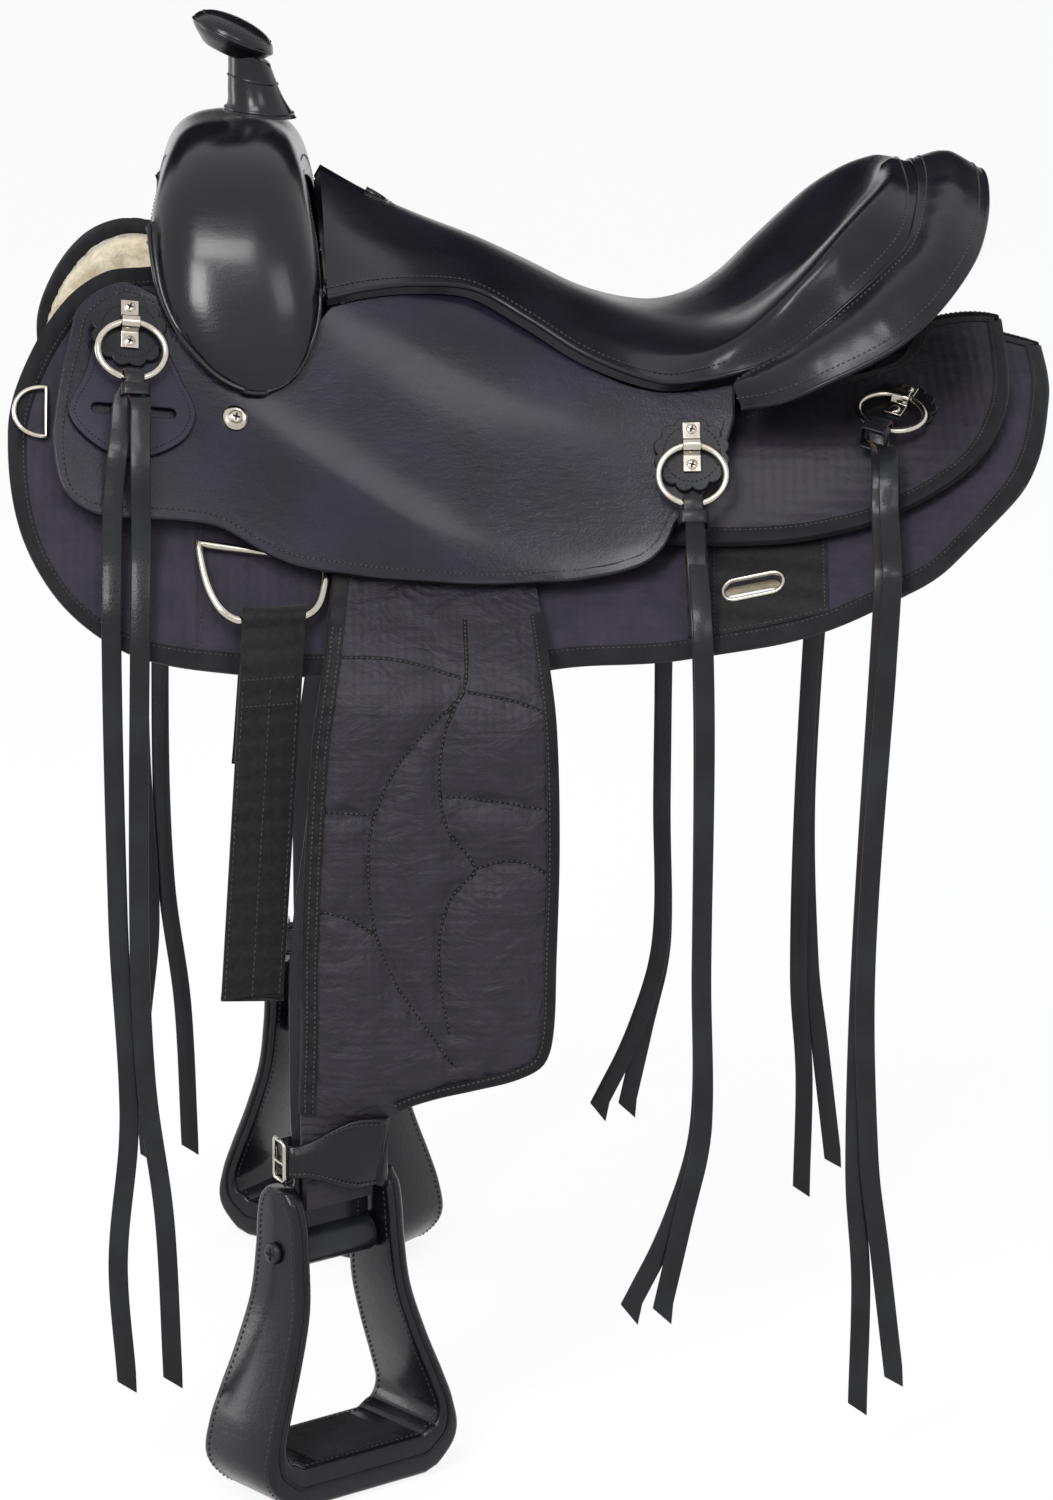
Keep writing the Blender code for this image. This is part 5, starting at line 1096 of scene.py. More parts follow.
# %% Ribs of the seat
SEAT_THICK = 0.009
SEAT_ON_JOCKEY = (
    ((-0.141, 0.152), (-0.139, 0.075, 0.129), (-0.1365, 0.106)),
    ((-0.11, 0.134), (-0.111, 0.074, 0.118), (-0.108, 0.088)),
    ((-0.075, 0.117), (-0.075, 0.069, 0.107), (-0.075, 0.069)),
    ((-0.035, 0.101), (-0.038, 0.062, 0.095), (-0.038, 0.0546)),
    ((0.0, 0.084), (0.0, 0.07, 0.0765), (-0.002, 0.0673)),
    ((0.04, 0.064), (0.04, 0.086, 0.0545), (0.038, 0.0865)),
    ((0.08, 0.05), (0.084, 0.106, 0.0415), (0.084, 0.0997)),
    ((0.11, 0.046), (0.114, 0.12, 0.0435), (0.111, 0.1003)),
    ((0.135, 0.051), (0.138, 0.128, 0.056), (0.134, 0.0985)),
)
SEAT_ON_CANTLE = (
    ((0.155, 0.059), (0.1634, 0.134, 0.079), (0.1635, 0.143, 0.044)),
    ((0.175, 0.073), (0.1825, 0.13, 0.098), (0.187, 0.143, 0.061)),
    ((0.195, 0.088), (0.203, 0.117, 0.119), (0.21, 0.138, 0.08)),
    ((0.213, 0.106), (0.224, 0.094, 0.1365), (0.2488, 0.108, 0.1125)),
    ((0.227, 0.124), (0.241, 0.062, 0.148), (0.26, 0.072, 0.135)),
    ((0.237, 0.138), (0.247, 0.033, 0.152), (0.262, 0.038, 0.147)),
    ((0.243, 0.151), (0.25, 0.0, 0.155), (0.262, 0.0, 0.1525)),
)
HAND_HOLD = (-0.16, -0.097, 0.026)


def seat_half(rib_steps, half_steps):
    """Ribs of the near half: points from the spine over the crest to the border."""
    ribs = []
    for spine, crest, border in SEAT_ON_JOCKEY + SEAT_ON_CANTLE:
        if len(border) == 2:
            edge = lay(*border, jockey_top(*border) + REST_GAP + SEAT_THICK, -1)
        else:
            edge = mirrored(Vector(border))
        ribs.append((Vector((spine[0], 0, spine[1])), mirrored(Vector(crest)), edge))
    columns = [spline([rib[k] for rib in ribs], rib_steps) for k in range(3)]
    return [spline([mirrored(crest), middle, crest, border], half_steps)[half_steps:]
            for middle, crest, border in zip(*columns)]


def both_halves(half):
    return [[mirrored(p) for p in reversed(rib[1:])] + rib for rib in half]


def cut(thing, cutter):
    """Cut one object with another, and keep the result as plain mesh."""
    modifier = thing.modifiers.new("cut", "BOOLEAN")
    modifier.object, modifier.operation, modifier.solver = cutter, "DIFFERENCE", "EXACT"
    bpy.context.view_layer.update()
    result = bpy.data.meshes.new_from_object(thing.evaluated_get(bpy.context.evaluated_depsgraph_get()))
    thing.modifiers.clear()
    thing.data = result
    bpy.data.objects.remove(cutter, do_unlink=True)
    result.shade_smooth()
    result.set_sharp_from_angle(angle=radians(50))


# %% The seat's leather and its hand-hold
half = seat_half(8, 14)
seat = both_halves(half)
JOCKEY_CURVE = spline(JOCKEY_EDGE, 0.02, closed=True)


def above_jockey(point):
    """Keep the seat's underside on the jockey where it lies over it."""
    s, height = pattern_place(point)
    least = jockey_top(point.x, s) + REST_GAP
    if height < least and inside(np.array([[point.x, s + 0.01]]), JOCKEY_CURVE)[0]:
        return lay(point.x, s, least, -1 if point.y < 0 else 1)
    return point


seat_piece, _ = shell("seat_leather_pad", seat, SEAT_THICK, seat_leather, node="seat", smooth=70)
total = len(seat_piece.data.vertices) // 2
for vertex in list(seat_piece.data.vertices)[total:]:
    vertex.co = above_jockey(vertex.co.copy())
front, back, width = HAND_HOLD
slot_line = stadium(((front + back) / 2, 0.0), back - front, width, points=14)
block = [Vector((p.x, p.y, z)) for z in (0.05, 0.2) for p in slot_line]
cut(seat_piece, loose("slot_cutter", block, grid_faces(2, len(slot_line), ring=True, caps=True)))
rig.padded(seat_piece, fill=0.8)
print("seat:", len(seat_piece.data.polygons), "faces")


# %% [markdown]
# The border of the seat carries a stitch row about seven millimetres in, and the hand-hold has
# a rolled lip with its own stitches. A piece of round piping closes the border against the
# jockeys. These lines are found by walking along each rib from its end.

# %% Seat border, stitches and the lip of the hand-hold
def walk(rib, distance):
    """The point at a distance along a rib, counted from its last point."""
    points = list(reversed(rib))
    for a, b in zip(points, points[1:]):
        length = (b - a).length
        if distance <= length:
            return a.lerp(b, distance / length)
        distance -= length
    return points[-1]


def seat_out(p):
    """Straight out of the seat near its border."""
    place = pattern_place(p)[0]
    return off_form(p.x, place, -1 if p.y < 0 else 1).lerp(Vector((0, 0, 1)), 0.4).normalized()


for side, word in SIDES:
    ribs = half if side < 0 else [[mirrored(p) for p in rib] for rib in half]
    row = [walk(rib, 0.0075) for rib in ribs]
    lifted = [p + seat_out(p) * 0.0004 for p in row]
    stitch_row(f"{word}_seat_stitches", lifted, seat_out, pitch=0.0036, width=0.0013, height=0.0006)
    border = [rib[-1] - seat_out(rib[-1]) * 0.0018 for rib in ribs]
    tube(f"{word}_seat_piping", border, 0.0019, seat_leather, "saddle", sides=8)


def on_spine(x):
    """The height of the seat's middle line at x."""
    middle = [rib[len(rib) // 2] for rib in seat]
    return float(np.interp(x, [p.x for p in middle], [p.z for p in middle]))


lip = [Vector((p.x, p.y, on_spine(p.x) - 0.0008)) for p in slot_line if p.x > -0.1425]
lip.sort(key=lambda p: atan2(p.y, p.x - (back - 0.02)))
tube("hand_hold_lip", lip, 0.0026, seat_leather, "saddle", sides=10)
around = [p + Vector((p.x - (back - width / 2), p.y, 0)).normalized() * 0.0062 for p in lip]
around = [Vector((p.x, p.y, on_spine(p.x) + 0.0003)) for p in around]
stitch_row("hand_hold_stitches", around, lambda p: Vector((0, 0, 1)), width=0.0012)
print("seat border is stitched")

# %% [markdown]
# ## Cantle roll
#
# The roll is the thick rim behind the seat. Padding under the leather makes it bulge between
# two seams, and the pull of the seams wrinkles it. A shell with a raised crest gives the bulge;
# small noise along its length gives the wrinkles, which die out towards the seams.

# %% The rolled rim, its seams and its wrinkles
ROLL_THICK, ROLL_BULGE = 0.008, 0.009
ROLL_RIBS = (
    ((0.1385, 0.14, 0.03), (0.137, 0.16, 0.012)), ((0.1635, 0.1445, 0.045), (0.16, 0.179, 0.02)),
    ((0.1875, 0.1445, 0.062), (0.188, 0.188, 0.0335)), ((0.211, 0.1395, 0.081), (0.2325, 0.185, 0.055)),
    ((0.233, 0.129, 0.099), (0.259, 0.172, 0.0735)), ((0.2505, 0.11, 0.1135), (0.281, 0.15, 0.094)),
    ((0.259, 0.084, 0.13), (0.297, 0.12, 0.1125)), ((0.264, 0.045, 0.146), (0.308, 0.07, 0.133)),
    ((0.2645, 0.0, 0.1535), (0.3125, 0.0, 0.1465)),
)
near = [[Vector((p[0], -p[1], p[2])) for p in rib] for rib in ROLL_RIBS]
ribs = near + [[mirrored(p) for p in rib] for rib in reversed(near[:-1])]
inner, outer = (spline([rib[k] for rib in ribs], 8) for k in (0, 1))
roll, roll_rise = [], []
for i, (a, b, way) in enumerate(zip(inner, outer, ways(outer))):
    rise = way.cross(b - a).normalized()
    rise = -rise if rise.z < 0 else rise
    rib = spline([a, (a + b) / 2 + rise * ROLL_BULGE, b], 8)
    for k, p in enumerate(rib):
        pull = sin(pi * min(1.0, k / (len(rib) - 1)))
        along_rim = i * 0.9
        wrinkle = noise.noise(Vector((along_rim, k * 0.12, 3.0))) * 0.6
        wrinkle += noise.noise(Vector((along_rim * 2.3, k * 0.3, 9.0))) * 0.4
        rib[k] = p + rise * wrinkle * 0.0011 * pull
    roll.append(rib)
    roll_rise.append(rise)
roll_piece, _ = shell("cantle_roll_leather", roll, ROLL_THICK, seat_leather, node="cantle_roll", smooth=70)
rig.padded(roll_piece, fill=0.9)
roll_out = nearest([rib[8] for rib in roll], roll_rise)
for name, rows, reach in (("inner", [list(reversed(rib)) for rib in roll], 0.006), ("outer", roll, 0.007)):
    lifted = [walk(rib, reach) + rise * 0.0002 for rib, rise in zip(rows, roll_rise)]
    stitch_row(f"roll_{name}_stitches", lifted, roll_out, pitch=0.0038, width=0.0013, height=0.0006)
for name, end, sink, radius in (("outer", -1, 0.0012, 0.0019), ("inner", 0, 0.001, 0.0017)):
    tube(f"roll_{name}_piping", [rib[end] - rise * sink for rib, rise in zip(roll, roll_rise)], radius,
         seat_leather, "saddle", sides=8)
print("roll runs", round(sum((b - a).length for a, b in zip(outer, outer[1:])), 2), "m round the cantle")

# %% [markdown]
# ## Fenders
#
# A fender keeps the rider's leg off the horse's flank. This one is padded nylon, quilted along
# curved seams, and it tucks in under the seat jockey. Below, it narrows to a neck and turns
# outwards with the stirrup. The pattern is drawn in the side view and then hung: first along
# the skirt, then straight down, then twisted about the neck's middle line.

# %% The way a fender hangs
FENDER_TOP_STAND, FENDER_PLANE, FENDER_BEND = 0.0205, 0.2555, (-0.1, -0.18)
FENDER_EDGE = (
    (-0.133, -0.0815, CORNER), (-0.14, -0.136), (-0.148, -0.19), (-0.1535, -0.27),
    (-0.1565, -0.34), (-0.1575, -0.4), (-0.1605, -0.45), (-0.1665, -0.505, CORNER),
    (-0.1135, -0.505, CORNER), (-0.108, -0.456, CORNER), (-0.094, -0.443), (-0.07, -0.434),
    (-0.045, -0.428), (-0.015, -0.42), (0.002, -0.41), (0.008, -0.39), (0.01, -0.34),
    (0.012, -0.26), (0.01, -0.18), (0.004, -0.13), (-0.001, -0.0985, CORNER),
    (-0.062, -0.0935),
)
NECK_TWIST, NECK_X, STRAP_BEHIND = (-0.42, -0.51), -0.14, 0.0048
STIRRUP_TURN = radians(37)
BOLT = Vector((NECK_X, STRAP_BEHIND - FENDER_PLANE, -0.533))


def neck_turn(z):
    """How far the neck has turned towards the stirrup at a height."""
    return STIRRUP_TURN * smooth_step((NECK_TWIST[0] - z) / (NECK_TWIST[0] - NECK_TWIST[1]))


def hang(x, z, height, side):
    """A fender point: along the skirt at its top, then straight down, its neck turned."""
    ridge, slope, radius = along(BACK, x)
    slope = radians(slope)
    reach = radius + FENDER_TOP_STAND
    angle = acos((max(z, FENDER_BEND[1]) - ridge + radius * cos(slope)) / reach)
    y = reach * sin(angle) - radius * sin(slope)
    plumb = smooth_step((FENDER_BEND[0] - z) / (FENDER_BEND[0] - FENDER_BEND[1]))
    y += (FENDER_PLANE - y) * plumb
    out = Vector((0, sin(angle), cos(angle) * (1 - plumb))).normalized()
    turn = neck_turn(z)
    u, v = x - NECK_X, y + out.y * height - (FENDER_PLANE - STRAP_BEHIND)
    return Vector((NECK_X + u * cos(turn) + v * sin(turn),
                   side * (FENDER_PLANE - STRAP_BEHIND - u * sin(turn) + v * cos(turn)),
                   z + out.z * height))


def hang_out(x, z, side):
    return (hang(x, z, 0.05, side) - hang(x, z, 0.0, side)).normalized()


# %% Quilting lines, given in the side view
QUILT = (
    ((-0.048, -0.12), (-0.05, -0.157), (-0.071, -0.178), (-0.095, -0.208), (-0.11, -0.245),
     (-0.113, -0.28), (-0.108, -0.32), (-0.096, -0.352), (-0.077, -0.382), (-0.058, -0.41)),
    ((-0.05, -0.157), (-0.062, -0.182), (-0.066, -0.222), (-0.06, -0.25), (-0.043, -0.275),
     (-0.058, -0.294), (-0.066, -0.32), (-0.066, -0.352), (-0.06, -0.388)),
    ((-0.141, -0.136), (-0.0947, -0.1391), (-0.052, -0.15)),
    ((-0.048, -0.158), (-0.0166, -0.1638), (0.006, -0.172)),
    ((-0.062, -0.226), (-0.0265, -0.2303), (0.008, -0.2367)),
    ((-0.149, -0.236), (-0.1116, -0.2377)),
    ((-0.043, -0.275), (-0.0232, -0.2697), (-0.0068, -0.2725), (0.0085, -0.2829)),
    ((-0.152, -0.302), (-0.1252, -0.3089), (-0.108, -0.3213)),
)
PLEATS = (
    ((-0.0663, -0.3918), (-0.0744, -0.4159)), ((-0.056, -0.4), (-0.0612, -0.424)),
    ((-0.0412, -0.398), (-0.05, -0.42)), ((-0.0267, -0.395), (-0.036, -0.416)),
)


def away_from(rows, places):
    """The distance of many places from the nearest of some open lines."""
    return np.min([edge_distance(places, row, closed=False) for row in rows], axis=0)


FENDER_LINE = spline(FENDER_EDGE, 0.006, closed=True)
SEAMS = [spline([Vector(p) for p in row], 0.006) for row in QUILT]


def quilt_height(places):
    """Thickness of the padding at many pattern places: full between seams, thin along them."""
    edge, seam = edge_distance(places, FENDER_LINE), away_from(SEAMS, places)
    pleat = away_from([[Vector(p) for p in row] for row in PLEATS], places)
    free = np.minimum(seam, np.clip(edge - 0.008, 0, 1))
    full = 0.0042 + 0.0072 * np.sqrt(np.clip(free / 0.026, 0, 1))
    pucker = np.array([noise.noise(Vector((x * 85, z * 30, 3.0)))
                       + noise.noise(Vector((x * 40, z * 110, 9.0))) for x, z in places])
    full += 0.0016 * pucker * np.exp(-((free - 0.008) / 0.01) ** 2) * np.clip(edge / 0.02, 0, 1)
    full -= 0.003 * np.exp(-pleat / 0.003)
    top = np.clip((places[:, 1] - FENDER_BEND[1]) / 0.06, 0, 1)
    neck = np.clip((-0.43 - places[:, 1]) / 0.022, 0, 1)
    full += (np.minimum(full, 0.0045) - full) * (top * top * (3 - 2 * top))
    return full + (0.0055 - full) * (neck * neck * (3 - 2 * neck))


# %% [markdown]
# Padding doesn't lie flat: it swells between its seams, and the fabric pulls into small creases
# where the seams hold it. So the fender's face starts as the quilted height, and then a short
# cloth simulation blows it up a little. The edge, the back and every seam are pinned, so that
# they stay where they are sewn. The movement is capped and kept as plain mesh.

# %% Fender pads, with a cloth simulation
def swell_up(thing, pinned, pressure=4.0, cap=0.004, frames=20):
    """Blow a piece up with Cloth while some points are held, and keep the result."""
    start = [v.co.copy() for v in thing.data.vertices]
    group = thing.vertex_groups.new(name="held")
    group.add(sorted(pinned), 1.0, "REPLACE")
    cloth = thing.modifiers.new("padding", "CLOTH")
    settings = cloth.settings
    settings.use_pressure, settings.uniform_pressure_force = True, pressure
    settings.effector_weights.gravity = 0.0
    settings.tension_stiffness = settings.compression_stiffness = 10.0
    settings.bending_stiffness = 0.3
    settings.vertex_group_mass = group.name
    settings.quality = 6
    cloth.collision_settings.use_collision = False
    cloth.point_cache.frame_start, cloth.point_cache.frame_end = 1, frames
    for frame_number in range(1, frames + 1):
        bpy.context.scene.frame_set(frame_number)
    swollen = thing.evaluated_get(bpy.context.evaluated_depsgraph_get()).data
    moved = [v.co.copy() for v in swollen.vertices]
    thing.modifiers.remove(cloth)
    thing.vertex_groups.remove(group)
    farthest = 0.0
    for vertex, before, after in zip(thing.data.vertices, start, moved):
        step = after - before
        step = step * min(1.0, cap / max(step.length, 1e-9))
        farthest = max(farthest, step.length)
        vertex.co = before + step
    bpy.context.scene.frame_set(1)
    return farthest


def fender_pad(side, word):
    """The quilted pad of one fender; its back, its edge, its seams and its hidden ends are held."""
    flat, triangles, loops = fill_outline(FENDER_LINE, (), 0.0046, SEAMS)
    places = np.array([tuple(p) for p in flat])
    count = len(flat)
    vertices = [hang(p.x, p.y, 0.0, side) for p in flat]
    vertices += [hang(p.x, p.y, float(h), side) for p, h in zip(flat, quilt_height(places))]
    pad = piece(f"{word}_fender_pad", vertices, two_sided(triangles, count, loops), fender_nylon,
                f"{word}_fender", node=f"{word}_fender", smooth=75)
    sewn = (away_from(SEAMS, places) < 0.0035) | (edge_distance(places, FENDER_LINE) < 0.0115)
    hidden = (places[:, 1] > -0.125) | (places[:, 1] < -0.432)
    held = set(range(count)) | {int(i) + count for i in np.flatnonzero(sewn | hidden)}
    moved = 0.0 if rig.quick() else swell_up(pad, held)
    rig.padded(pad, fill=0.5)
    return moved


for side, word in SIDES:
    moved = fender_pad(side, word)
    print(word, "fender padded; cloth moved it", round(moved * 1000, 1), "mm at most")

# %% [markdown]
# Every quilting line is sewn, so each gets a row of stitches lying in its channel, over a
# near-black strip that is the channel's painted shade. The front edge is bound with broad
# webbing, and the rest of the edge with narrow tape in two rows.

# %% Fender bindings and stitches
FENDER_CURVE = spline(FENDER_EDGE, 0.004, closed=True)


def into_fender(places):
    """The direction inwards from the fender's edge, at each of some places on it."""
    found = []
    for p, way in zip(places, ways(places)):
        n = Vector((-way.y, way.x))
        found.append(n if inside(np.array([tuple(p + n * 0.003)]), FENDER_CURVE)[0] else -n)
    return found


def hung_band(name, places, profile, side, material, body):
    """Tape folded over the edge of a hung piece: an inset and a height for each point of its profile."""
    rings = [[hang((p + n * inset).x, (p + n * inset).y, height, side) for inset, height in profile]
             for p, n in zip(places, into_fender(places))]
    swept(name, rings, material, body, smooth=60)


def between(start, end):
    """Outline points from the one nearest to a start to the one nearest to an end."""
    a, b = (min(range(len(FENDER_CURVE)), key=lambda i: (FENDER_CURVE[i] - Vector(place)).length)
            for place in (start, end))
    return FENDER_CURVE[a:b + 1]


def on_pad(line, extra, side):
    """A line of the pattern, laid on the padding's face."""
    heights = quilt_height(np.array([tuple(p) for p in line]))
    return [hang(p.x, p.y, float(h) + extra, side) for p, h in zip(line, heights)]


STITCH_TOP = -0.118
FRONT_PART = between((-0.134, -0.088), (-0.16, -0.444))
REST_PART = between((-0.0935, -0.4428), (-0.001, STITCH_TOP))
WEB_PROFILE = ((0.0105, 0.0046), (0.01, 0.0068), (0.0014, 0.0064), (-0.0007, 0.0045), (-0.0011, 0.0022),
               (-0.0006, -0.0006), (0.0014, -0.0012), (0.0095, -0.001))
TAPE_PROFILE = ((0.0075, 0.0044), (0.007, 0.0062), (0.0014, 0.0058), (-0.0006, 0.0042), (-0.0009, 0.0022),
                (-0.0005, -0.0004), (0.0014, -0.0008), (0.007, -0.0006))
EDGE_ROWS = ((FRONT_PART, 0.0082, 0.0071), (FRONT_PART, 0.003, 0.0071), (REST_PART, 0.0058, 0.0065))
for side, word in SIDES:
    body = f"{word}_fender"
    hung_band(f"{word}_fender_web", FRONT_PART, WEB_PROFILE, side, webbing, body)
    hung_band(f"{word}_fender_tape", REST_PART, TAPE_PROFILE, side, binding_tape, body)

    def fender_out(p, side=side):
        return hang_out(p.x if p.z > -0.43 else NECK_X, p.z, side)

    for k, row in enumerate(QUILT):
        path = on_pad(spline([Vector(p) for p in row], 0.004), 0.0002, side)
        ups = [fender_out(p) for p in path]
        across = [u.cross(way).normalized() for u, way in zip(ups, ways(path))]
        # A near-black strip in each channel is its painted shade.
        ribbon(f"{word}_quilt_channel_shade_{k}", path, across, ups, 0.003, 0.0003, stitch_channel, body)
        path = [p + u * 0.0004 for p, u in zip(path, ups)]
        stitch_row(f"{word}_quilt_stitches_{k}", path, fender_out, body, pitch=0.0036, width=0.0013,
                   height=0.0007)
    for k, (part, inset, height) in enumerate(EDGE_ROWS):
        places = [p + n * inset for p, n in zip(part, into_fender(part))]
        path = [hang(q.x, q.y, height, side) for q in places if q.y < STITCH_TOP]
        stitch_row(f"{word}_fender_edge_stitches_{k}", path, fender_out, body, width=0.0012)
print("fenders are bound and sewn")

# %% [markdown]
# ## Stirrup leathers
#
# Behind the fender runs the leather that carries the rider. It goes round a metal sleeve on the
# stirrup's bolt and back up. The hobble strap is buckled round it and the fender's neck, and
# holds the stirrup turned for the foot. Straps are swept along a path with rounded edges.

# %% A strap with rounded edges
EDGE_ROUND = 0.32


def strap_piece(name, path, width, thick, across, material, body, closed=False, slant=0.0, ends=None,
                **named):
    """A flat strap along a path; across is its width direction at each point, and width may change."""
    widths = width if isinstance(width, list) else [width] * len(path)
    broadest, section = max(widths), []
    for cx, cy in ((1, 1), (-1, 1), (-1, -1), (1, -1)):
        for degrees in (0, 45, 90) if cx * cy > 0 else (90, 45, 0):
            a = radians(degrees)
            section.append((cx * (1 - EDGE_ROUND * thick / broadest * 2 * (1 - cos(a))) / 2,
                            cy * (1 - EDGE_ROUND * 2 * (1 - sin(a))) / 2))
    rings = []
    for point, tangent, aside, wide in zip(path, ways(path, closed), across, widths):
        aside = (aside - tangent * aside.dot(tangent)).normalized()
        up = tangent.cross(aside).normalized()
        rings.append([point + aside * u * wide + up * v * thick for u, v in section])
    rings[-1] = [p + Vector((0, 0, slant * (0.5 + u))) for p, (u, v) in zip(rings[-1], section)]
    last = (len(rings) - 1) * len(section)
    cut_faces = [last, last + 1] + [i for i in range(last) if i % len(section) in (5, 11)]
    return swept(name, rings, [material, ends] if ends else material, body, closed=closed, smooth=50,
                 edge_faces=cut_faces if ends else (), **named)


def turned_axes(side):
    """Across the stirrup along its bolt, and through its opening."""
    return (Vector((cos(STIRRUP_TURN), -sin(STIRRUP_TURN) * side, 0)),
            Vector((sin(STIRRUP_TURN), cos(STIRRUP_TURN) * side, 0)))


def on_side(point, side):
    return Vector(point) if side < 0 else mirrored(Vector(point))


def from_bolt(side):
    """A way to place points by how far they are along the bolt, above it and through the stirrup."""
    bolt, (across, through) = on_side(BOLT, side), turned_axes(side)
    return lambda x, z, d: bolt + across * x + Vector((0, 0, z)) + through * d


# %% Leathers, hangers and the sleeve's eye
STRAP_THICK, STRAP_WIDTH, STRAP_TOP, STRAP_TOP_X = 0.0038, 0.052, -0.2, -0.124
SLEEVE_RADIUS, WRAP_WIDTH = 0.008, 0.062
HANG_X, HANGER_S, HANGER_WIDTH, HANGER_LEVELS = -0.105, (0.19, 0.215), 0.064, (0.0205, 0.0233)
eye_inner = SLEEVE_RADIUS + 0.001
eye_outer = eye_inner + STRAP_THICK
EYE_SECTION = ((eye_outer, -0.49), (eye_outer, 0.49), (eye_inner, 0.49), (eye_inner, -0.49))
for side, word in SIDES:
    bolt, body = on_side(BOLT, side), f"{word}_fender"
    across, through = turned_axes(side)
    path, widths = [], []
    for z in list(np.arange(STRAP_TOP, bolt.z + eye_outer, -0.006)) + [bolt.z + eye_outer - 0.001]:
        x = STRAP_TOP_X + (NECK_X - STRAP_TOP_X) * smooth_step((STRAP_TOP - z) / 0.16)
        turn = neck_turn(z)
        place = hang(x, float(z), -STRAP_BEHIND, side)
        path.append(place.lerp(Vector((bolt.x, bolt.y, z)), smooth_step((-0.49 - z) / 0.028)))
        widths.append(Vector((cos(turn), -sin(turn) * side, 0)))
    spread = [STRAP_WIDTH + (WRAP_WIDTH - STRAP_WIDTH) * smooth_step((-0.48 - p.z) / 0.022) for p in path]
    strap_piece(f"{word}_leather_strap", path, spread, STRAP_THICK, widths, strap_leather, body,
                node=f"{word}_stirrup_leather")
    for k, off in enumerate((-0.022, 0.022)):
        line = [p + w * off + through * (STRAP_THICK / 2 + 0.0002) for p, w in zip(path, widths)]
        stitch_row(f"{word}_leather_stitches_{k}", line, lambda p: through, body)
    spokes = [Vector((0, 0, 1)) * sin(a) + through * cos(a) for a in (tau * k / 48 for k in range(48))]
    eye = [[bolt + across * (WRAP_WIDTH - 0.002) * w + spoke * radius for radius, w in EYE_SECTION]
           for spoke in spokes]
    swept(f"{word}_leather_eye", eye, strap_leather, body, closed=True)
    hanger = [(HANG_X + u * HANGER_WIDTH / 2, s, CORNER) for s, turns in zip(HANGER_S, ((-1, 1), (1, -1)))
              for u in turns]
    strap = panel(f"{word}_hanger_strap", hanger, level(HANGER_LEVELS[0]), level(HANGER_LEVELS[1]), lay, side,
                  strap_leather, f"{word}_hanger", cell=0.008, node=f"{word}_leather_hanger")
    soften(strap, 0.0008)
print("leathers hang to", round(bolt.z, 3), "m")

# %% [markdown]
# ## Hobble straps
#
# The hobble strap slants a little as it goes round the neck. It has a small roller buckle on
# its front edge and a stitched border. The round mark on it is left bare.

# %% Hobble strap and buckle
HOBBLE, HOBBLE_THICK, HOBBLE_HALF = (-0.4565, -0.4855), 0.004, 0.0345


def hobble_path(side):
    """The closed path round the neck, the strap's upright direction, and the place along the neck's width."""
    top, bottom = HOBBLE
    inner = -STRAP_BEHIND - STRAP_THICK / 2 - HOBBLE_THICK / 2 - 0.0028
    outer = 0.0055 + HOBBLE_THICK / 2 + 0.0028
    corner, places = 0.006, []
    flat = HOBBLE_HALF - corner
    for cx, cy, start in ((1, 1, 0), (-1, 1, 90), (-1, -1, 180), (1, -1, 270)):
        height = (outer if cy > 0 else inner) - cy * corner
        for k in range(7):
            a = radians(start + 15 * k)
            places.append((cx * flat + corner * cos(a), height + corner * sin(a)))
        if start in (0, 180):
            places += [(cx * flat * k / 4, height + cy * corner) for k in range(3, -4, -1)]
    levels = [[hang(NECK_X + x, z, h, side) for x, h in places] for z in ((top + bottom) / 2, top, bottom)]
    return levels[0], [high - low for high, low in zip(*levels[1:])], [x for x, _ in places]


for side, word in SIDES:
    body = f"{word}_fender"
    path, upright, across_neck = hobble_path(side)
    widths = [0.021 + 0.031 * smooth_step((x + 0.03) / 0.05) for x in across_neck]
    strap_piece(f"{word}_hobble", path, widths, HOBBLE_THICK, upright, stirrup_leather, body, closed=True,
                node=f"{word}_hobble_strap")
    middle = sum(path, Vector()) / len(path)
    for k, off in enumerate((-1, 1)):
        line = [p + u.normalized() * off * (wide / 2 - 0.0026) for p, u, wide in zip(path, upright, widths)]
        outs = [way.cross(u).normalized() for way, u in zip(ways(line, closed=True), upright)]
        outs = [n if n.dot(p - middle) > 0 else -n for p, n in zip(line, outs)]
        row = [p + n * (HOBBLE_THICK / 2 + 0.0002) for p, n in zip(line, outs)]
        stitch_row(f"{word}_hobble_stitches_{k}", row, nearest(row, outs), body, closed=True, width=0.0012)
    # The buckle sits on the front edge, facing forwards.
    level_z = sum(HOBBLE) / 2
    out, turn = hang_out(NECK_X, level_z, side), neck_turn(level_z)
    forward = -Vector((cos(turn), -sin(turn) * side, 0))
    front = hang(NECK_X - HOBBLE_HALF, level_z, 0.0002, side) + forward * 0.0034
    corners = ((-1, -0.85), (-0.85, -1), (0.85, -1), (1, -0.85), (1, 0.85), (0.85, 1), (-0.85, 1), (-1, 0.85))
    tube(f"{word}_hobble_buckle", [front + out * u * 0.009 + Vector((0, 0, v * 0.0135)) for u, v in corners],
         0.0013, nickel, body, closed=True, sides=10)
    tongue = [front + out * u * 0.0105 + forward * f
              for u, f in ((-0.9, 0.0), (-0.4, 0.0016), (0.3, 0.0018), (1.0, 0.0012))]
    tube(f"{word}_hobble_tongue", tongue, 0.001, nickel, body, sides=8)
print("hobbles are buckled")

# %% [markdown]
# ## Stirrups
#
# Bell stirrups are bent wood covered in leather: deep at the tread, narrow at the bolt. The
# leather is sewn along both rims, and the tread has a rough, hard-wearing face. The band is a
# rounded rectangle swept round the opening, wider at the bottom.

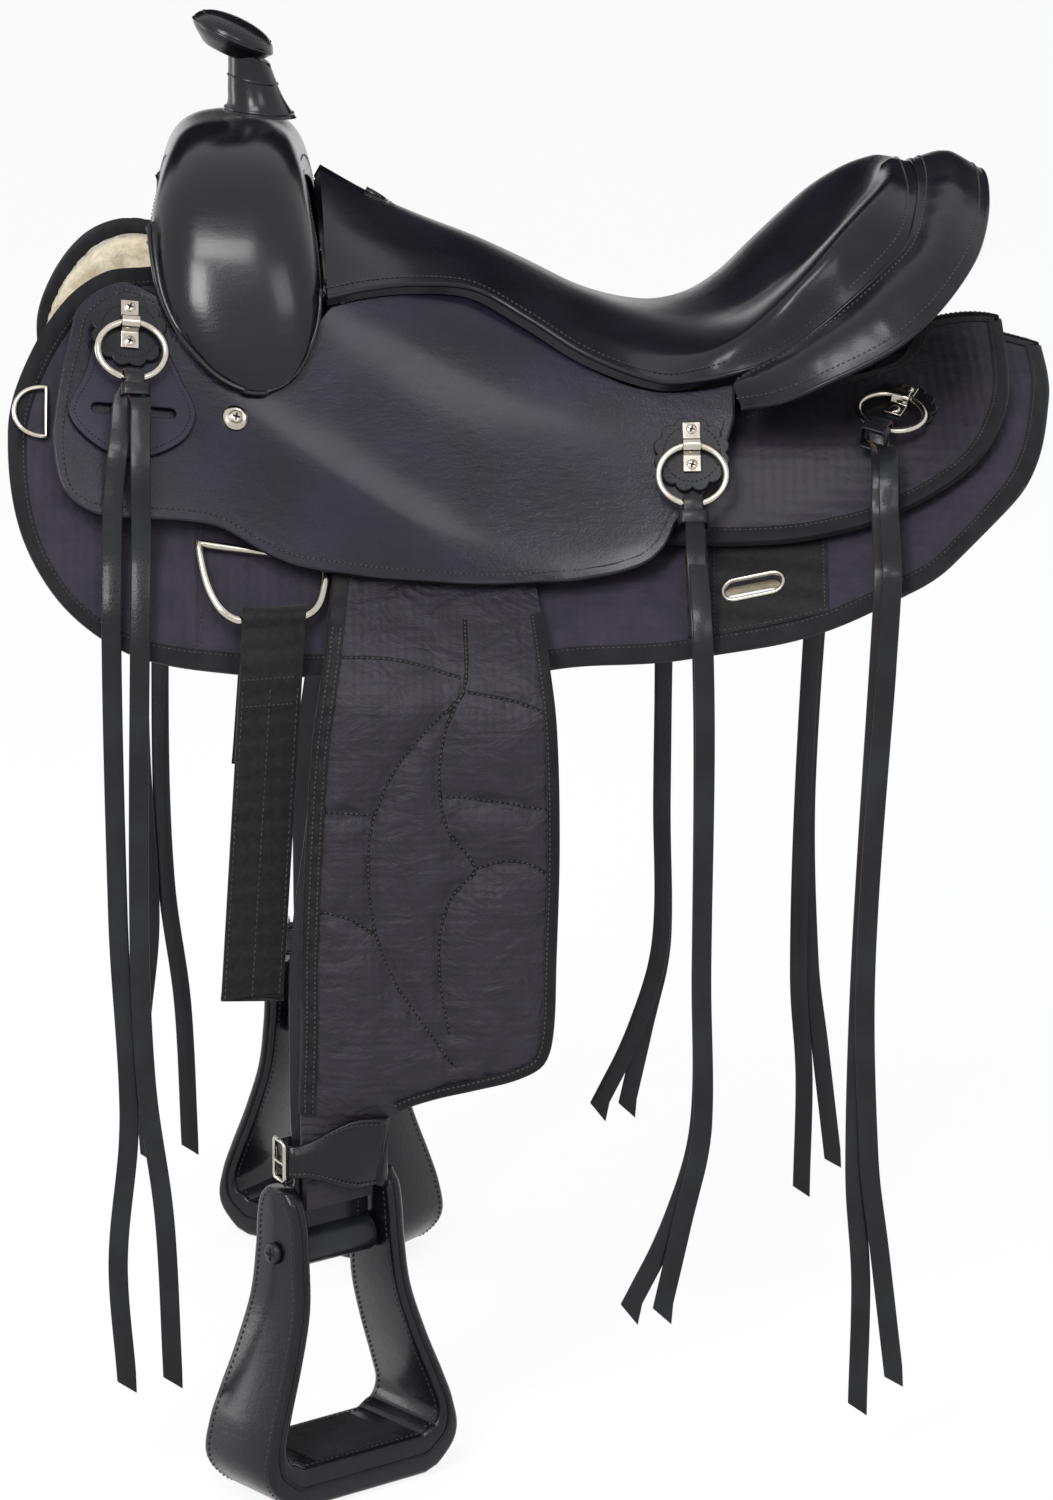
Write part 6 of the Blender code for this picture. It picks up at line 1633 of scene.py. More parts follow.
# %% The stirrup's band
STIRRUP_PATH = (
    (0.0402, 0.044), (0.04, 0.036), (0.0394, 0.02), (0.0396, 0.0), (0.042, -0.035),
    (0.052, -0.07), (0.0645, -0.104), (0.0705, -0.124), (0.0685, -0.141), (0.056, -0.1525),
)
TREAD_HALF, TREAD_Z, TREAD_THICK, LEG_THICK, WELT_TOP = 0.04, -0.1545, 0.028, 0.012, 0.036
BAND_DEPTH = (
    (-0.1545, 0.076), (-0.124, 0.076), (-0.07, 0.064), (0.0, 0.049), (0.02, 0.046), (0.036, 0.037),
    (0.044, 0.022),
)


def stirrup_band():
    """Where the band goes in its own plane: place, outward direction, half thickness and half depth."""
    right = [Vector((p.x, 0, p.y)) for p in spline([Vector(p) for p in STIRRUP_PATH], 5)]
    right += [Vector((x, 0, TREAD_Z)) for x in (0.05, TREAD_HALF, 0.025, 0.01)]
    path, stations = [Vector((-p.x, 0, p.z)) for p in right] + list(reversed(right)), []
    for place, way in zip(path, ways(path)):
        out = Vector((-way.z, 0, way.x))
        if abs(place.x) <= TREAD_HALF + 1e-6 and place.z < -0.1:
            out = Vector((0, 0, 1))
        flat = smooth_step((-0.12 - place.z) / 0.035)
        thick = (LEG_THICK + (TREAD_THICK - LEG_THICK) * flat) / 2
        stations.append((place, out, thick, along(BAND_DEPTH, place.z)[0] / 2))
    return stations


STATIONS = stirrup_band()
RIMS = ((-1, "a"), (1, "b"))
for side, word in SIDES:
    body, at, (across, _) = f"{word}_stirrup", from_bolt(side), turned_axes(side)
    rings = []
    for place, out, thick, deep in STATIONS:
        corner = min(0.0042, thick * 0.8)
        rings.append([at((place + out * t).x, (place + out * t).z, d)
                      for t, d in round_corners(thick - corner, deep - corner, corner, 4)])
    swept(f"{word}_stirrup_band", rings, stirrup_leather, body, smooth=50, node=f"{word}_stirrup")
    for face_sign, face in ((-1, "outer"), (1, "inner")):
        normals = [across * out.x * face_sign + Vector((0, 0, out.z * face_sign))
                   for _, out, _, _ in STATIONS]
        local = [place + out * (thick + 0.0002) * face_sign for place, out, thick, _ in STATIONS]
        for rim, letter in RIMS:
            path = [at(p.x, p.z, (deep - 0.0062) * rim) for p, (_, _, _, deep) in zip(local, STATIONS)]
            stitch_row(f"{word}_stirrup_stitches_{face}_{letter}", path, nearest(path, normals), body,
                       pitch=0.0042, width=0.0014, height=0.0006)
    # A welt of folded leather runs round both rims.
    for rim, letter in RIMS:
        welt = [at(place.x, place.z, (deep + 0.0002) * rim) for place, _, _, deep in STATIONS
                if place.z < WELT_TOP]
        tube(f"{word}_stirrup_welt_{letter}", welt, 0.0016, rough_inner_leather, body, sides=8)
    # The tread's worn pad.
    low = TREAD_Z + TREAD_THICK / 2
    pad = [at(x, z, d) for z in (low - 0.001, low + 0.0009) for x in np.linspace(-0.036, 0.036, 10)
           for d in np.linspace(-0.03, 0.03, 8)]
    faces = two_sided(grid_faces(10, 8), 80, [border_loop(10, 8)])
    soften(piece(f"{word}_tread_pad", pad, faces, rough_inner_leather, body), 0.0006)
print("stirrups are sewn")

# %% Bolts with their sleeves
BOX_FACES = [(0, 1, 3, 2), (4, 6, 7, 5), (0, 4, 5, 1), (2, 3, 7, 6), (0, 2, 6, 4), (1, 5, 7, 3)]


def cross_recess(name, at, half_length, half_width, heights, body, first_turn=0):
    """Two slots across a screw's head, painted near-black as the shade in the recess."""
    for k in (0, 1):
        spin = at @ Matrix.Rotation(radians(first_turn + 90 * k), 4, "Z")
        corners = [spin @ Vector((u * half_length, v * half_width, w)) for u in (-1, 1) for v in (-1, 1)
                   for w in heights]
        piece(f"{name}{k}", corners, BOX_FACES, stitch_channel, body)


BOLT_HALF, SLEEVE_HALF, HEAD_THICK = 0.0396 + LEG_THICK / 2 + 0.0006, 0.031, 0.004
BOLT_PROFILE = (
    (SLEEVE_RADIUS, SLEEVE_HALF), (0.004, SLEEVE_HALF), (0.004, BOLT_HALF), (0.0075, BOLT_HALF),
    (0.0075, BOLT_HALF + 0.0022), (0.0068, BOLT_HALF + 0.0034), (0.005, BOLT_HALF + HEAD_THICK),
    (0, BOLT_HALF + HEAD_THICK),
)
for side, word in SIDES:
    bolt, (across, _) = on_side(BOLT, side), turned_axes(side)
    at_bolt = Matrix.Translation(bolt) @ across.to_track_quat("Z", "Y").to_matrix().to_4x4()
    turned(f"{word}_bolt", [(r, -h) for r, h in reversed(BOLT_PROFILE)] + list(BOLT_PROFILE), at_bolt,
           blackened_steel, f"{word}_stirrup", 32, node=f"{word}_stirrup_bolt")
    for end, letter in RIMS:
        at_head = at_bolt @ Matrix.Translation((0, 0, end * (BOLT_HALF + HEAD_THICK)))
        cross_recess(f"{word}_bolt_slot_{letter}", at_head, 0.0042, 0.0007, (end * -0.0004, end * 0.00025),
                     f"{word}_stirrup")
print("bolts are in")

# %% [markdown]
# ## Rings, clips and rosettes
#
# Three rings on each side hold the saddle strings. Each hangs in a humped metal clip that is
# screwed down through a scalloped leather rosette. The small frame on the leather's surface
# gives three directions, along, down and out, so that all of it sits square on a curved face.

# %% Frames on a laid surface
def surface_frame(x, s, top, side, turn=0.0, footprint=(), gap=0.0, level_axis=True):
    """First axis along the saddle, second down, third out, clear of the surface by a gap."""
    step = 0.008

    def place(u, v):
        return lay(u, v, top(u, v), side)

    ahead, below = place(x + step, s) - place(x - step, s), place(x, s + step) - place(x, s - step)
    out = ahead.cross(below).normalized()
    out = -out if out.y * side < 0 else out
    if level_axis:
        forward = Vector((0, 0, 1)).cross(out).normalized() * -side
        down = forward.cross(out) * -side
    else:
        down = below.normalized()
        forward = out.cross(down) * -side
    forward, down = (forward * cos(turn) + down * sin(turn),
                     down * cos(turn) - forward * sin(turn))
    origin, stand = place(x, s), 0.0
    for u, v in footprint:
        spot = origin + forward * u + down * v
        stand = max(stand, (place(spot.x, pattern_place(spot)[0]) - origin).dot(out))
    at = Matrix((forward, down, out)).transposed().to_4x4()
    at.translation = origin + out * (stand + gap)
    return at


def stick_on(at, top):
    """A way to lay a small flat piece, given in a frame's axes, over what is under it."""
    forward, down = at.to_3x3() @ Vector((1, 0, 0)), at.to_3x3() @ Vector((0, 1, 0))

    def shape(u, v, height, side):
        spot = at.translation + forward * u + down * v
        reach = pattern_place(spot)[0]
        return lay(spot.x, reach, top(spot.x, reach) + REST_GAP + height, side)

    return shape


def disc(radius, centre=(0.0, 0.0), points=12):
    return [(centre[0] + radius * cos(tau * k / points), centre[1] + radius * sin(tau * k / points))
            for k in range(points)]


# %% Their sizes
RING_SPOTS = (("front", -0.2665, 0.18, 0.0), ("middle", 0.104, 0.134, 0.0), ("rear", 0.247, 0.109, 26.0))
RING_RADIUS, RING_WIRE, RING_DROP = 0.0225, 0.0023, 0.0205
CLIP_WIDTH, CLIP_LENGTH, CLIP_THICK, CLIP_RISE, HINGE_PLAY = 0.012, 0.034, 0.0014, 0.0038, 0.0013
ROSETTE_RADIUS, ROSETTE_THICK = 0.0255, 0.003
STRING_SPACE = 0.0066


def leather_top(place, side):
    """What a ring's rosette is sewn to."""
    if place == "rear":
        return rear_top
    if place == "front" and side < 0:
        return lambda x, s: jockey_top(x, s) + REST_GAP + KEEPER_THICK
    return jockey_top


def screw_head(name, at, radius, height=0.0013, body="saddle"):
    """A pan head with a cross recess."""
    profile = ((0, -0.0004), (radius, -0.0004), (radius, height * 0.3), (radius * 0.86, height * 0.75),
               (radius * 0.55, height), (0, height))
    turned(name, profile, at, nickel, body, 24)
    cross_recess(f"{name}_cross_", at, radius * 0.62, radius * 0.15, (height - 0.0006, height + 0.00006),
                 body, 20)


def ring_clip(name, at, node):
    """The humped strap over the ring's top, with its two screws."""
    inner, wide = RING_WIRE + HINGE_PLAY, RING_WIRE + HINGE_PLAY + CLIP_THICK
    under = [(-CLIP_LENGTH / 2, 0.0), (-inner - 0.001, 0.0)]
    over = [(-CLIP_LENGTH / 2, CLIP_THICK), (-wide - 0.0006, CLIP_THICK)]
    for k in range(13):
        a = pi - pi * k / 12
        under.append((inner * cos(a), CLIP_RISE + inner * sin(a)))
        over.append((wide * cos(a), CLIP_RISE + wide * sin(a)))
    under += [(inner + 0.001, 0.0), (CLIP_LENGTH / 2, 0.0)]
    over += [(wide + 0.0006, CLIP_THICK), (CLIP_LENGTH / 2, CLIP_THICK)]
    count = len(under)
    points = []
    for u in (-CLIP_WIDTH / 2, CLIP_WIDTH / 2):
        points += [at @ Vector((u, v, n)) for v, n in under] + [at @ Vector((u, v, n)) for v, n in over]
    faces = []
    for k in range(count - 1):
        for base in (0, count):
            a = base + k
            faces.append((a, a + 1, a + 1 + 2 * count, a + 2 * count))
        for layer in (0, 2 * count):
            faces.append((layer + k, layer + k + 1, layer + count + k + 1, layer + count + k))
    for k in (0, count - 1):
        faces.append((k, k + count, k + 3 * count, k + 2 * count))
    soften(piece(name, points, faces, nickel, "saddle", smooth=35, node=node), 0.0005)
    for k, v in enumerate((-CLIP_LENGTH * 0.36, CLIP_LENGTH * 0.36)):
        screw_head(f"{name}_screw_{k}", at @ Matrix.Translation((0, v, CLIP_THICK)), 0.0036)


def rosette(name, at, base, side, node):
    """Twelve scallops round a leather disc, with a pricked line inside them, its holes painted near-black as shade."""
    outline = []
    for k in range(144):
        a = tau * k / 144
        radius = ROSETTE_RADIUS * (0.88 + 0.12 * abs(sin(a * 6)) ** 0.7)
        outline.append((radius * cos(a), 0.004 + radius * sin(a), CORNER))
    shape = stick_on(at, base)
    soften(panel(name, outline, level(0.0), level(ROSETTE_THICK), shape, side, strap_leather, "saddle",
                 cell=0.005, step=0.02, edge=burnished_edge, node=node), 0.0007)
    row = [shape(u, v + 0.004, ROSETTE_THICK + 0.0001, side)
           for u, v in disc(ROSETTE_RADIUS * 0.74, points=60)]
    normal = at.to_3x3() @ Vector((0, 0, 1))
    # The pricked holes are near-black bumps of painted shade.
    stitch_row(name + "_line", row, lambda p: normal, closed=True, pitch=0.003, height=0.0003,
               material=stitch_channel)


# %% Put the rings, clips and rosettes on
ring_lows = {}
plate = [(u, v) for u in (-0.006, 0.006) for v in (-0.017, -0.008, 0.008, 0.017)]
for side, word in SIDES:
    for place, x, s, degrees in RING_SPOTS:
        name, base, angle = f"{word}_{place}", leather_top(place, side), radians(degrees)

        def rosette_top(u, v, base=base):
            return base(u, v) + REST_GAP + ROSETTE_THICK

        rosette(name + "_rosette_disc", surface_frame(x, s, base, side, angle, (), 0.0, False), base, side,
                name + "_rosette")
        at = surface_frame(x, s, rosette_top, side, angle, plate, 0.0004, False)
        ring_clip(name + "_clip_strap", at, name + "_clip")
        pivot = at @ Vector((0, 0, CLIP_RISE))
        low_at = surface_frame(pivot.x, s, base, side, angle, disc(0.008, (0, 2 * RING_DROP)), 0.0, False)
        low = low_at @ Vector((0, 2 * RING_DROP, STRING_SPACE + RING_WIRE))
        forward = at.to_3x3() @ Vector((1, 0, 0))
        down = (low - pivot).normalized()
        forward = (forward - down * forward.dot(down)).normalized()
        path = [pivot + forward * RING_RADIUS * sin(a) + down * (RING_DROP * (1 - cos(a)) - 0.0004)
                for a in np.linspace(0, tau, 56, endpoint=False)]
        tube(name + "_ring_wire", path, RING_WIRE, nickel, name + "_ring", closed=True, sides=14,
             node=name + "_ring")
        ring_lows[word, place] = (pivot + down * (2 * RING_DROP - 0.0004), forward, down)
print("rings:", len(ring_lows))

# %% [markdown]
# ## Saddle strings
#
# Each string is one thong of leather, doubled over its ring, with two tails that hang straight
# down and end in slanting cuts. The black coat stops at the cut edges, where tan leather
# shows. A tail is declared as a limp cord of its own, from the ring to its tip.

# %% The ways of the tails, as in the frame
STRING_PLAY, STRING_WIDTH, STRING_THICK, STRING_CUT, STRING_STEP = 0.0026, 0.013, 0.0024, 0.009, 0.018
STRING_LEAD, STRING_TWIST = 0.006, 0.06
KEEPER_REACH = (-0.2, 0.285)
STRING_WAYS = {
    "front": (
        ((0.011, -0.006), (0.092, -0.014), (0.351, -0.014), (0.49, -0.009), (0.588, -0.018),
         (0.672, -0.0135)),
        ((0.011, 0.005), (0.092, 0.005), (0.351, 0.0), (0.464, 0.003), (0.555, 0.0135), (0.667, 0.0175)),
    ),
    "middle": (
        ((0.011, 0.001), (0.141, 0.005), (0.311, 0.005), (0.42, 0.004), (0.49, -0.016), (0.545, -0.042)),
        ((0.011, 0.002), (0.141, 0.006), (0.311, 0.005), (0.42, 0.006), (0.48, -0.006), (0.545, -0.02)),
    ),
    "rear": (
        ((0.011, -0.001), (0.1, -0.004), (0.345, -0.015), (0.494, -0.017), (0.568, -0.012), (0.657, -0.013)),
        ((0.011, 0.003), (0.1, 0.001), (0.345, -0.012), (0.483, -0.008), (0.547, 0.0), (0.636, 0.011)),
    ),
}
SKIRT_CURVE = spline(SKIRT_EDGE, 0.02, closed=True)
REAR_CURVE = spline(REAR_JOCKEY_EDGE, 0.02, closed=True)


def flank_profile(x, start_s):
    """Outer face of the leathers at x, from a pattern place down to the skirt's edge."""
    reach = max(p.y for p in SKIRT_CURVE if abs(p.x - x) < 0.02)
    line = np.array([(x, s) for s in np.arange(start_s, reach + 1e-9, 0.006)]).reshape(-1, 2)
    on_rear, on_jockey = inside(line, REAR_CURVE), inside(line, JOCKEY_CURVE)
    points = []
    for (x, s), rear, jockey in zip(line, on_rear, on_jockey):
        top = jockey_top(x, s) if jockey else rear_top(x, s) if rear else SKIRT_TOP
        if x < KEEPER_REACH[0] and s < KEEPER_REACH[1]:
            top = jockey_top(x, s) + REST_GAP + KEEPER_THICK
        points.append(lay(x, s, top, 1))
    return points + [lay(x, reach, SKIRT_TOP, 1)]


# %% Tails of the strings
for side, word in SIDES:
    for place, *_ in RING_SPOTS:
        low, flat, down = ring_lows[word, place]
        body, start_s = f"{word}_{place}_string", pattern_place(low)[0]
        off_ring = flat.cross(down) * -side
        bend = RING_WIRE + STRING_PLAY + STRING_THICK / 2
        around = [flat * u + off_ring * v for u, v in round_corners(0.0062, bend - 0.001, 0.0028, 4)]
        knot_at = low + down * 0.0105
        knot = strap_piece(f"{word}_{place}_hitch", [knot_at + p for p in around], 0.0085, 0.002,
                           [down] * len(around), strap_leather, body, closed=True)
        for number, way in enumerate(STRING_WAYS[place]):
            stand = 0.0028 + STRING_THICK / 2 + number * (STRING_THICK + 0.0016)
            sign = 1 if number else -1
            arc = [low + off_ring * sign * bend * sin(radians(a)) - down * bend * cos(radians(a))
                   for a in (0, 15, 30, 45, 60, 75, 90)]
            tail = [low + off_ring * bend * sign + down * STRING_LEAD]
            least = side * tail[0].y
            stops = spline(way, STRING_STEP)
            for stop, after in zip(stops, stops[1:] + stops[-1:]):
                for aside in (-STRING_WIDTH / 2, 0.0, STRING_WIDTH / 2):
                    profile = flank_profile(low.x + stop.y + aside, start_s + 0.002)
                    clear = max((p.y for p in profile if p.z > low.z - after.x), default=0.0)
                    least = max(least, clear + stand)
                tail.append(Vector((low.x + stop.y, side * least, low.z - stop.x)))
            path = spline(arc + tail, 0.006)
            across = [flat.lerp(Vector((1, 0, 0)), smooth_step((low.z - p.z) / STRING_TWIST)) for p in path]
            curl = [noise.noise(p * 9.0 + Vector((number * 5.0, 0, 0))) for p in path]
            across = [(a + Vector((0, 0.1 * c, 0))).normalized() for a, c in zip(across, curl)]
            tail_piece = strap_piece(f"{body}_{'ab'[number]}", path, STRING_WIDTH, STRING_THICK, across,
                                     strap_leather, body, slant=-STRING_CUT, ends=raw_edge, node=body)
            path[-1] = path[-1] - Vector((0, 0, STRING_CUT / 2))
            length = sum((b - a).length for a, b in zip(path, path[1:]))
            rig.cord(tail_piece, exit=tuple(path[0]), length=round(length, 3), diameter=STRING_WIDTH,
                    far_end="bare", stiffness="limp", lay="hanging", path=[tuple(p) for p in path],
                    with_pieces=[] if number else [knot])
print("tails are about", round(length, 2), "m long")

# %% [markdown]
# ## Rigging
#
# The cinch hangs from a heavy metal dee on each side, partly covered by the seat jockey. On the
# near side a long nylon latigo is folded through it, on the far side a shorter billet. Webbing
# is ribbed along its length.

# %% Dees with the latigo and the billet
RIGGING_SPOT, RIGGING_LIFT, RIGGING_WIRE = (-0.183, 0.272), 0.006, 0.0028
RIGGING_SHAPE = (
    (-0.041, -0.006), (-0.0205, -0.0015), (0.0, 0.003), (0.0205, 0.0075), (0.041, 0.012),
    (0.0408, 0.021), (0.038, 0.031), (0.0325, 0.043), (0.0235, 0.05), (0.008, 0.0515),
    (-0.008, 0.0515), (-0.0235, 0.05), (-0.0325, 0.043), (-0.038, 0.031), (-0.0405, 0.016),
)
LATIGO_WIDTH, LATIGO_THICK, LATIGO_LENGTH, BILLET_LENGTH = 0.042, 0.003, 0.25, 0.215
LATIGO_DRIFT, LATIGO_PLACE = -0.017, 0.001
for side, word in SIDES:
    at = surface_frame(*RIGGING_SPOT, skirt_top, side, 0.0, RIGGING_SHAPE, REST_GAP + RIGGING_WIRE)
    body, node = f"{word}_rigging", "latigo" if side < 0 else "off_billet"
    drop = max(v for u, v in RIGGING_SHAPE)
    marked = [(*p, CORNER) if k in (0, 4) else p for k, p in enumerate(RIGGING_SHAPE)]
    path = [at @ Vector((p.x, p.y, RIGGING_LIFT * p.y / drop)) for p in spline(marked, 5, closed=True)]
    tube(f"{word}_dee_wire", path, RIGGING_WIRE, nickel, body, closed=True, sides=16,
         node=f"{word}_rigging_dee")
    low = at @ Vector((LATIGO_PLACE, drop, RIGGING_LIFT))
    length = LATIGO_LENGTH if side < 0 else BILLET_LENGTH
    eye = RIGGING_WIRE + 0.0022 + LATIGO_THICK / 2
    outer_side, ply = Vector((0, side, 0)), LATIGO_THICK / 2 + 0.0005
    profile = flank_profile(low.x, pattern_place(low)[0])
    clear = max(p.y for p in profile) + 0.003 + LATIGO_THICK + 0.0005
    shift = max(0.0, clear - side * low.y)
    eye_path = [low + outer_side * (eye * cos(a)) + Vector((0, 0, eye * sin(a)))
                for a in np.radians(np.linspace(-20, 200, 25))]
    plies = []
    for sign in (-1, 1):
        line = []
        for k in range(1, 29):
            fall = length * k / 28
            aside = shift * smooth_step((fall + 0.012) / 0.045)
            drift = LATIGO_DRIFT * fall / length
            line.append(low + outer_side * (aside + sign * ply) + Vector((drift, 0, -fall)))
        plies.append(line)
    end = plies[0][-1] + outer_side * ply - Vector((0, 0, 2 * ply))
    path = eye_path + plies[0] + [end] + list(reversed(plies[1]))
    aside, lifted = at.to_3x3() @ Vector((1, 0, 0)), outer_side * (LATIGO_THICK / 2 + 0.0002)
    strap_piece(f"{node}_web", path, LATIGO_WIDTH, LATIGO_THICK, [aside] * len(path), webbing, body,
                closed=True, node=node)
    for k, off in enumerate((-0.0185, 0.0, 0.0185)):
        stitch_row(f"{node}_stitches_{k}", [p + aside * off + lifted for p in plies[1][4:]],
                   lambda p: outer_side, body, pitch=0.0042)
    for k, p in enumerate((plies[1][3], plies[1][5])):
        row = [p + aside * u + lifted for u in np.linspace(-0.018, 0.018, 8)]
        stitch_row(f"{node}_bar_{k}", row, lambda p: outer_side, body, pitch=0.003)
print("webbing hangs from the dees")

# %% [markdown]
# ## Small fittings
#
# At the front of each skirt a small dee takes the breast collar. On the near side a teardrop of
# leather with a slot keeps the latigo's loose end. One large screw with a cup washer holds each
# seat jockey to the tree.

# %% Breast dees, keeper and jockey screws
BREAST_SPOT, BREAST_SIZE, BREAST_WIRE = (-0.3215, 0.256), (0.034, 0.021), 0.0017
KEEPER_EDGE = (
    (-0.016, -0.013), (0.014, -0.013), (0.024, 0.01), (0.034, 0.032), (0.044, 0.056), (0.035, 0.077),
    (0.003, 0.0915), (-0.023, 0.083), (-0.04, 0.062), (-0.029, 0.034), (-0.023, 0.01),
)
KEEPER_SLOT = (0.003, 0.058, 0.056, 0.007)
SCREW_SPOT, SCREW_RADIUS = (-0.198, 0.199), 0.0085
CUP = ((0, 0), (SCREW_RADIUS, 0), (SCREW_RADIUS, 0.0009), (0.0079, 0.0016), (0.0062, 0.0024), (0.005, 0.0021),
       (0.0046, 0.0014), (0, 0.0014))
for side, word in SIDES:
    at = surface_frame(*BREAST_SPOT, skirt_top, side, 0.0, disc(0.018, (-0.01, 0)), BREAST_WIRE + REST_GAP,
                       False)
    half_size, reach = BREAST_SIZE[0] / 2, BREAST_SIZE[1]
    shape_line = [(0.0, -half_size + half_size * k / 4) for k in range(9)]
    shape_line += [(-reach * sin(a) ** 0.8, half_size * cos(a)) for a in np.linspace(0, pi, 32)[1:-1]]
    tube(f"{word}_breast_wire", [at @ Vector((u, v, 0)) for u, v in shape_line], BREAST_WIRE, nickel,
         f"{word}_breast_dee", closed=True, sides=12, node=f"{word}_breast_dee")
    at = surface_frame(*SCREW_SPOT, jockey_top, side, 0.0, disc(SCREW_RADIUS), 0.0006)
    turned(f"{word}_cup_washer", CUP, at, nickel, "saddle", 36, node=f"{word}_jockey_screw")
    screw_head(f"{word}_jockey_screw_head", at @ Matrix.Translation((0, 0, CUP[-1][1])), 0.0043, 0.002)

keeper_at = surface_frame(RING_SPOTS[0][1], RING_SPOTS[0][2], jockey_top, -1, 0.0, (), 0.0, False)
keeper_shape = stick_on(keeper_at, jockey_top)
soften(panel("keeper_leather", KEEPER_EDGE, level(0.0), level(KEEPER_THICK), keeper_shape, -1, keeper_leather,
             "saddle", holes=[stadium(KEEPER_SLOT[:2], *KEEPER_SLOT[2:])], cell=0.006, step=0.003,
             edge=burnished_edge, node="latigo_keeper"), 0.0008)
edge_line = spline(KEEPER_EDGE, 0.003, closed=True)
places = [p + n * 0.004 for p, n in zip(edge_line, inward(edge_line))]
out = keeper_at.to_3x3() @ Vector((0, 0, 1))
# The keeper's pricked line is near-black bumps of painted shade.
stitch_row("keeper_line_0", [keeper_shape(p.x, p.y, KEEPER_THICK, -1) for p in places if p.y > 0.024],
           lambda p: out, pitch=0.0026, height=0.0003, material=stitch_channel)
print("small fittings are on")

# %% [markdown]
# ## What stays of the frame
#
# The tree shows only through the hand-hold and from below, so its own solid stays and takes a
# moulded polymer finish. Everything else has been made again above.

# %% Finish what stays
kept = [name for name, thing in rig.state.nodes.items() if not thing.hide_render]
for name in kept:
    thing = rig.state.nodes[name]
    if not thing.material_slots:
        thing.data.materials.append(tree_polymer)
    for slot in thing.material_slots:
        slot.material = tree_polymer
print("kept from the frame:", kept)

# %% [markdown]
# ## Room and light
#
# The photograph has a plain white ground and one large soft light high on the left, which draws
# the bright patch on the swell. Black leather needs big, pale things to mirror, so the world is
# pale too, and the camera sees it as white. The floor is plain and pale, and keeps the shadow.

# %% Floor, world and lamps
def seen_white(tree):
    """1 where a ray comes straight from the camera, or by way of gloss or glass."""
    paths = tree.nodes.new("ShaderNodeLightPath")
    seen = paths.outputs["Is Camera Ray"]
    for kind in ("Is Glossy Ray", "Is Transmission Ray"):
        either = tree.nodes.new("ShaderNodeMath")
        either.operation = "MAXIMUM"
        tree.links.new(seen, either.inputs[0])
        tree.links.new(paths.outputs[kind], either.inputs[1])
        seen = either.outputs[0]
    return seen


def flat_sheet(name, half_size, height, material):
    """A level sheet that is part of the room, not of the saddle."""
    mesh = bpy.data.meshes.new(name)
    corners = [(x * half_size[0], y * half_size[1], height) for x, y in ((-1, -1), (1, -1), (1, 1), (-1, 1))]
    mesh.from_pydata(corners, [], [(0, 1, 2, 3)])
    mesh.materials.append(material)
    thing = bpy.data.objects.new(name, mesh)
    bpy.context.scene.collection.objects.link(thing)
    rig.stage(thing)
    return thing


def aim(thing, at, towards):
    """Put a sheet or lamp somewhere and turn its face to a point."""
    thing.location = at
    thing.rotation_euler = (Vector(towards) - Vector(at)).to_track_quat("-Z", "Y").to_euler()


def blend_shaders(tree, amount, plain, other, output=None):
    """Mix two shaders, by a number or by a socket's value."""
    mix = tree.nodes.new("ShaderNodeMixShader")
    if isinstance(amount, float):
        mix.inputs[0].default_value = amount
    else:
        tree.links.new(amount, mix.inputs[0])
    tree.links.new(plain.outputs[0], mix.inputs[1])
    tree.links.new(other.outputs[0], mix.inputs[2])
    if output:
        tree.links.new(mix.outputs[0], output.inputs["Surface"])
    return mix


ROOM_LEVEL, FLOOR_REACH, FLOOR_GLOW = 0.5, 30.0, 0.86
world = bpy.data.worlds.new("studio")
bpy.context.scene.world = world
world.use_nodes = True
tree = world.node_tree
plain = tree.nodes["Background"]
plain.inputs["Color"].default_value = (0.94, 0.96, 1.0, 1)
plain.inputs["Strength"].default_value = ROOM_LEVEL
white = tree.nodes.new("ShaderNodeBackground")
white.inputs["Color"].default_value = (1, 1, 1, 1)
blend_shaders(tree, seen_white(tree), plain, white, tree.nodes["World Output"])

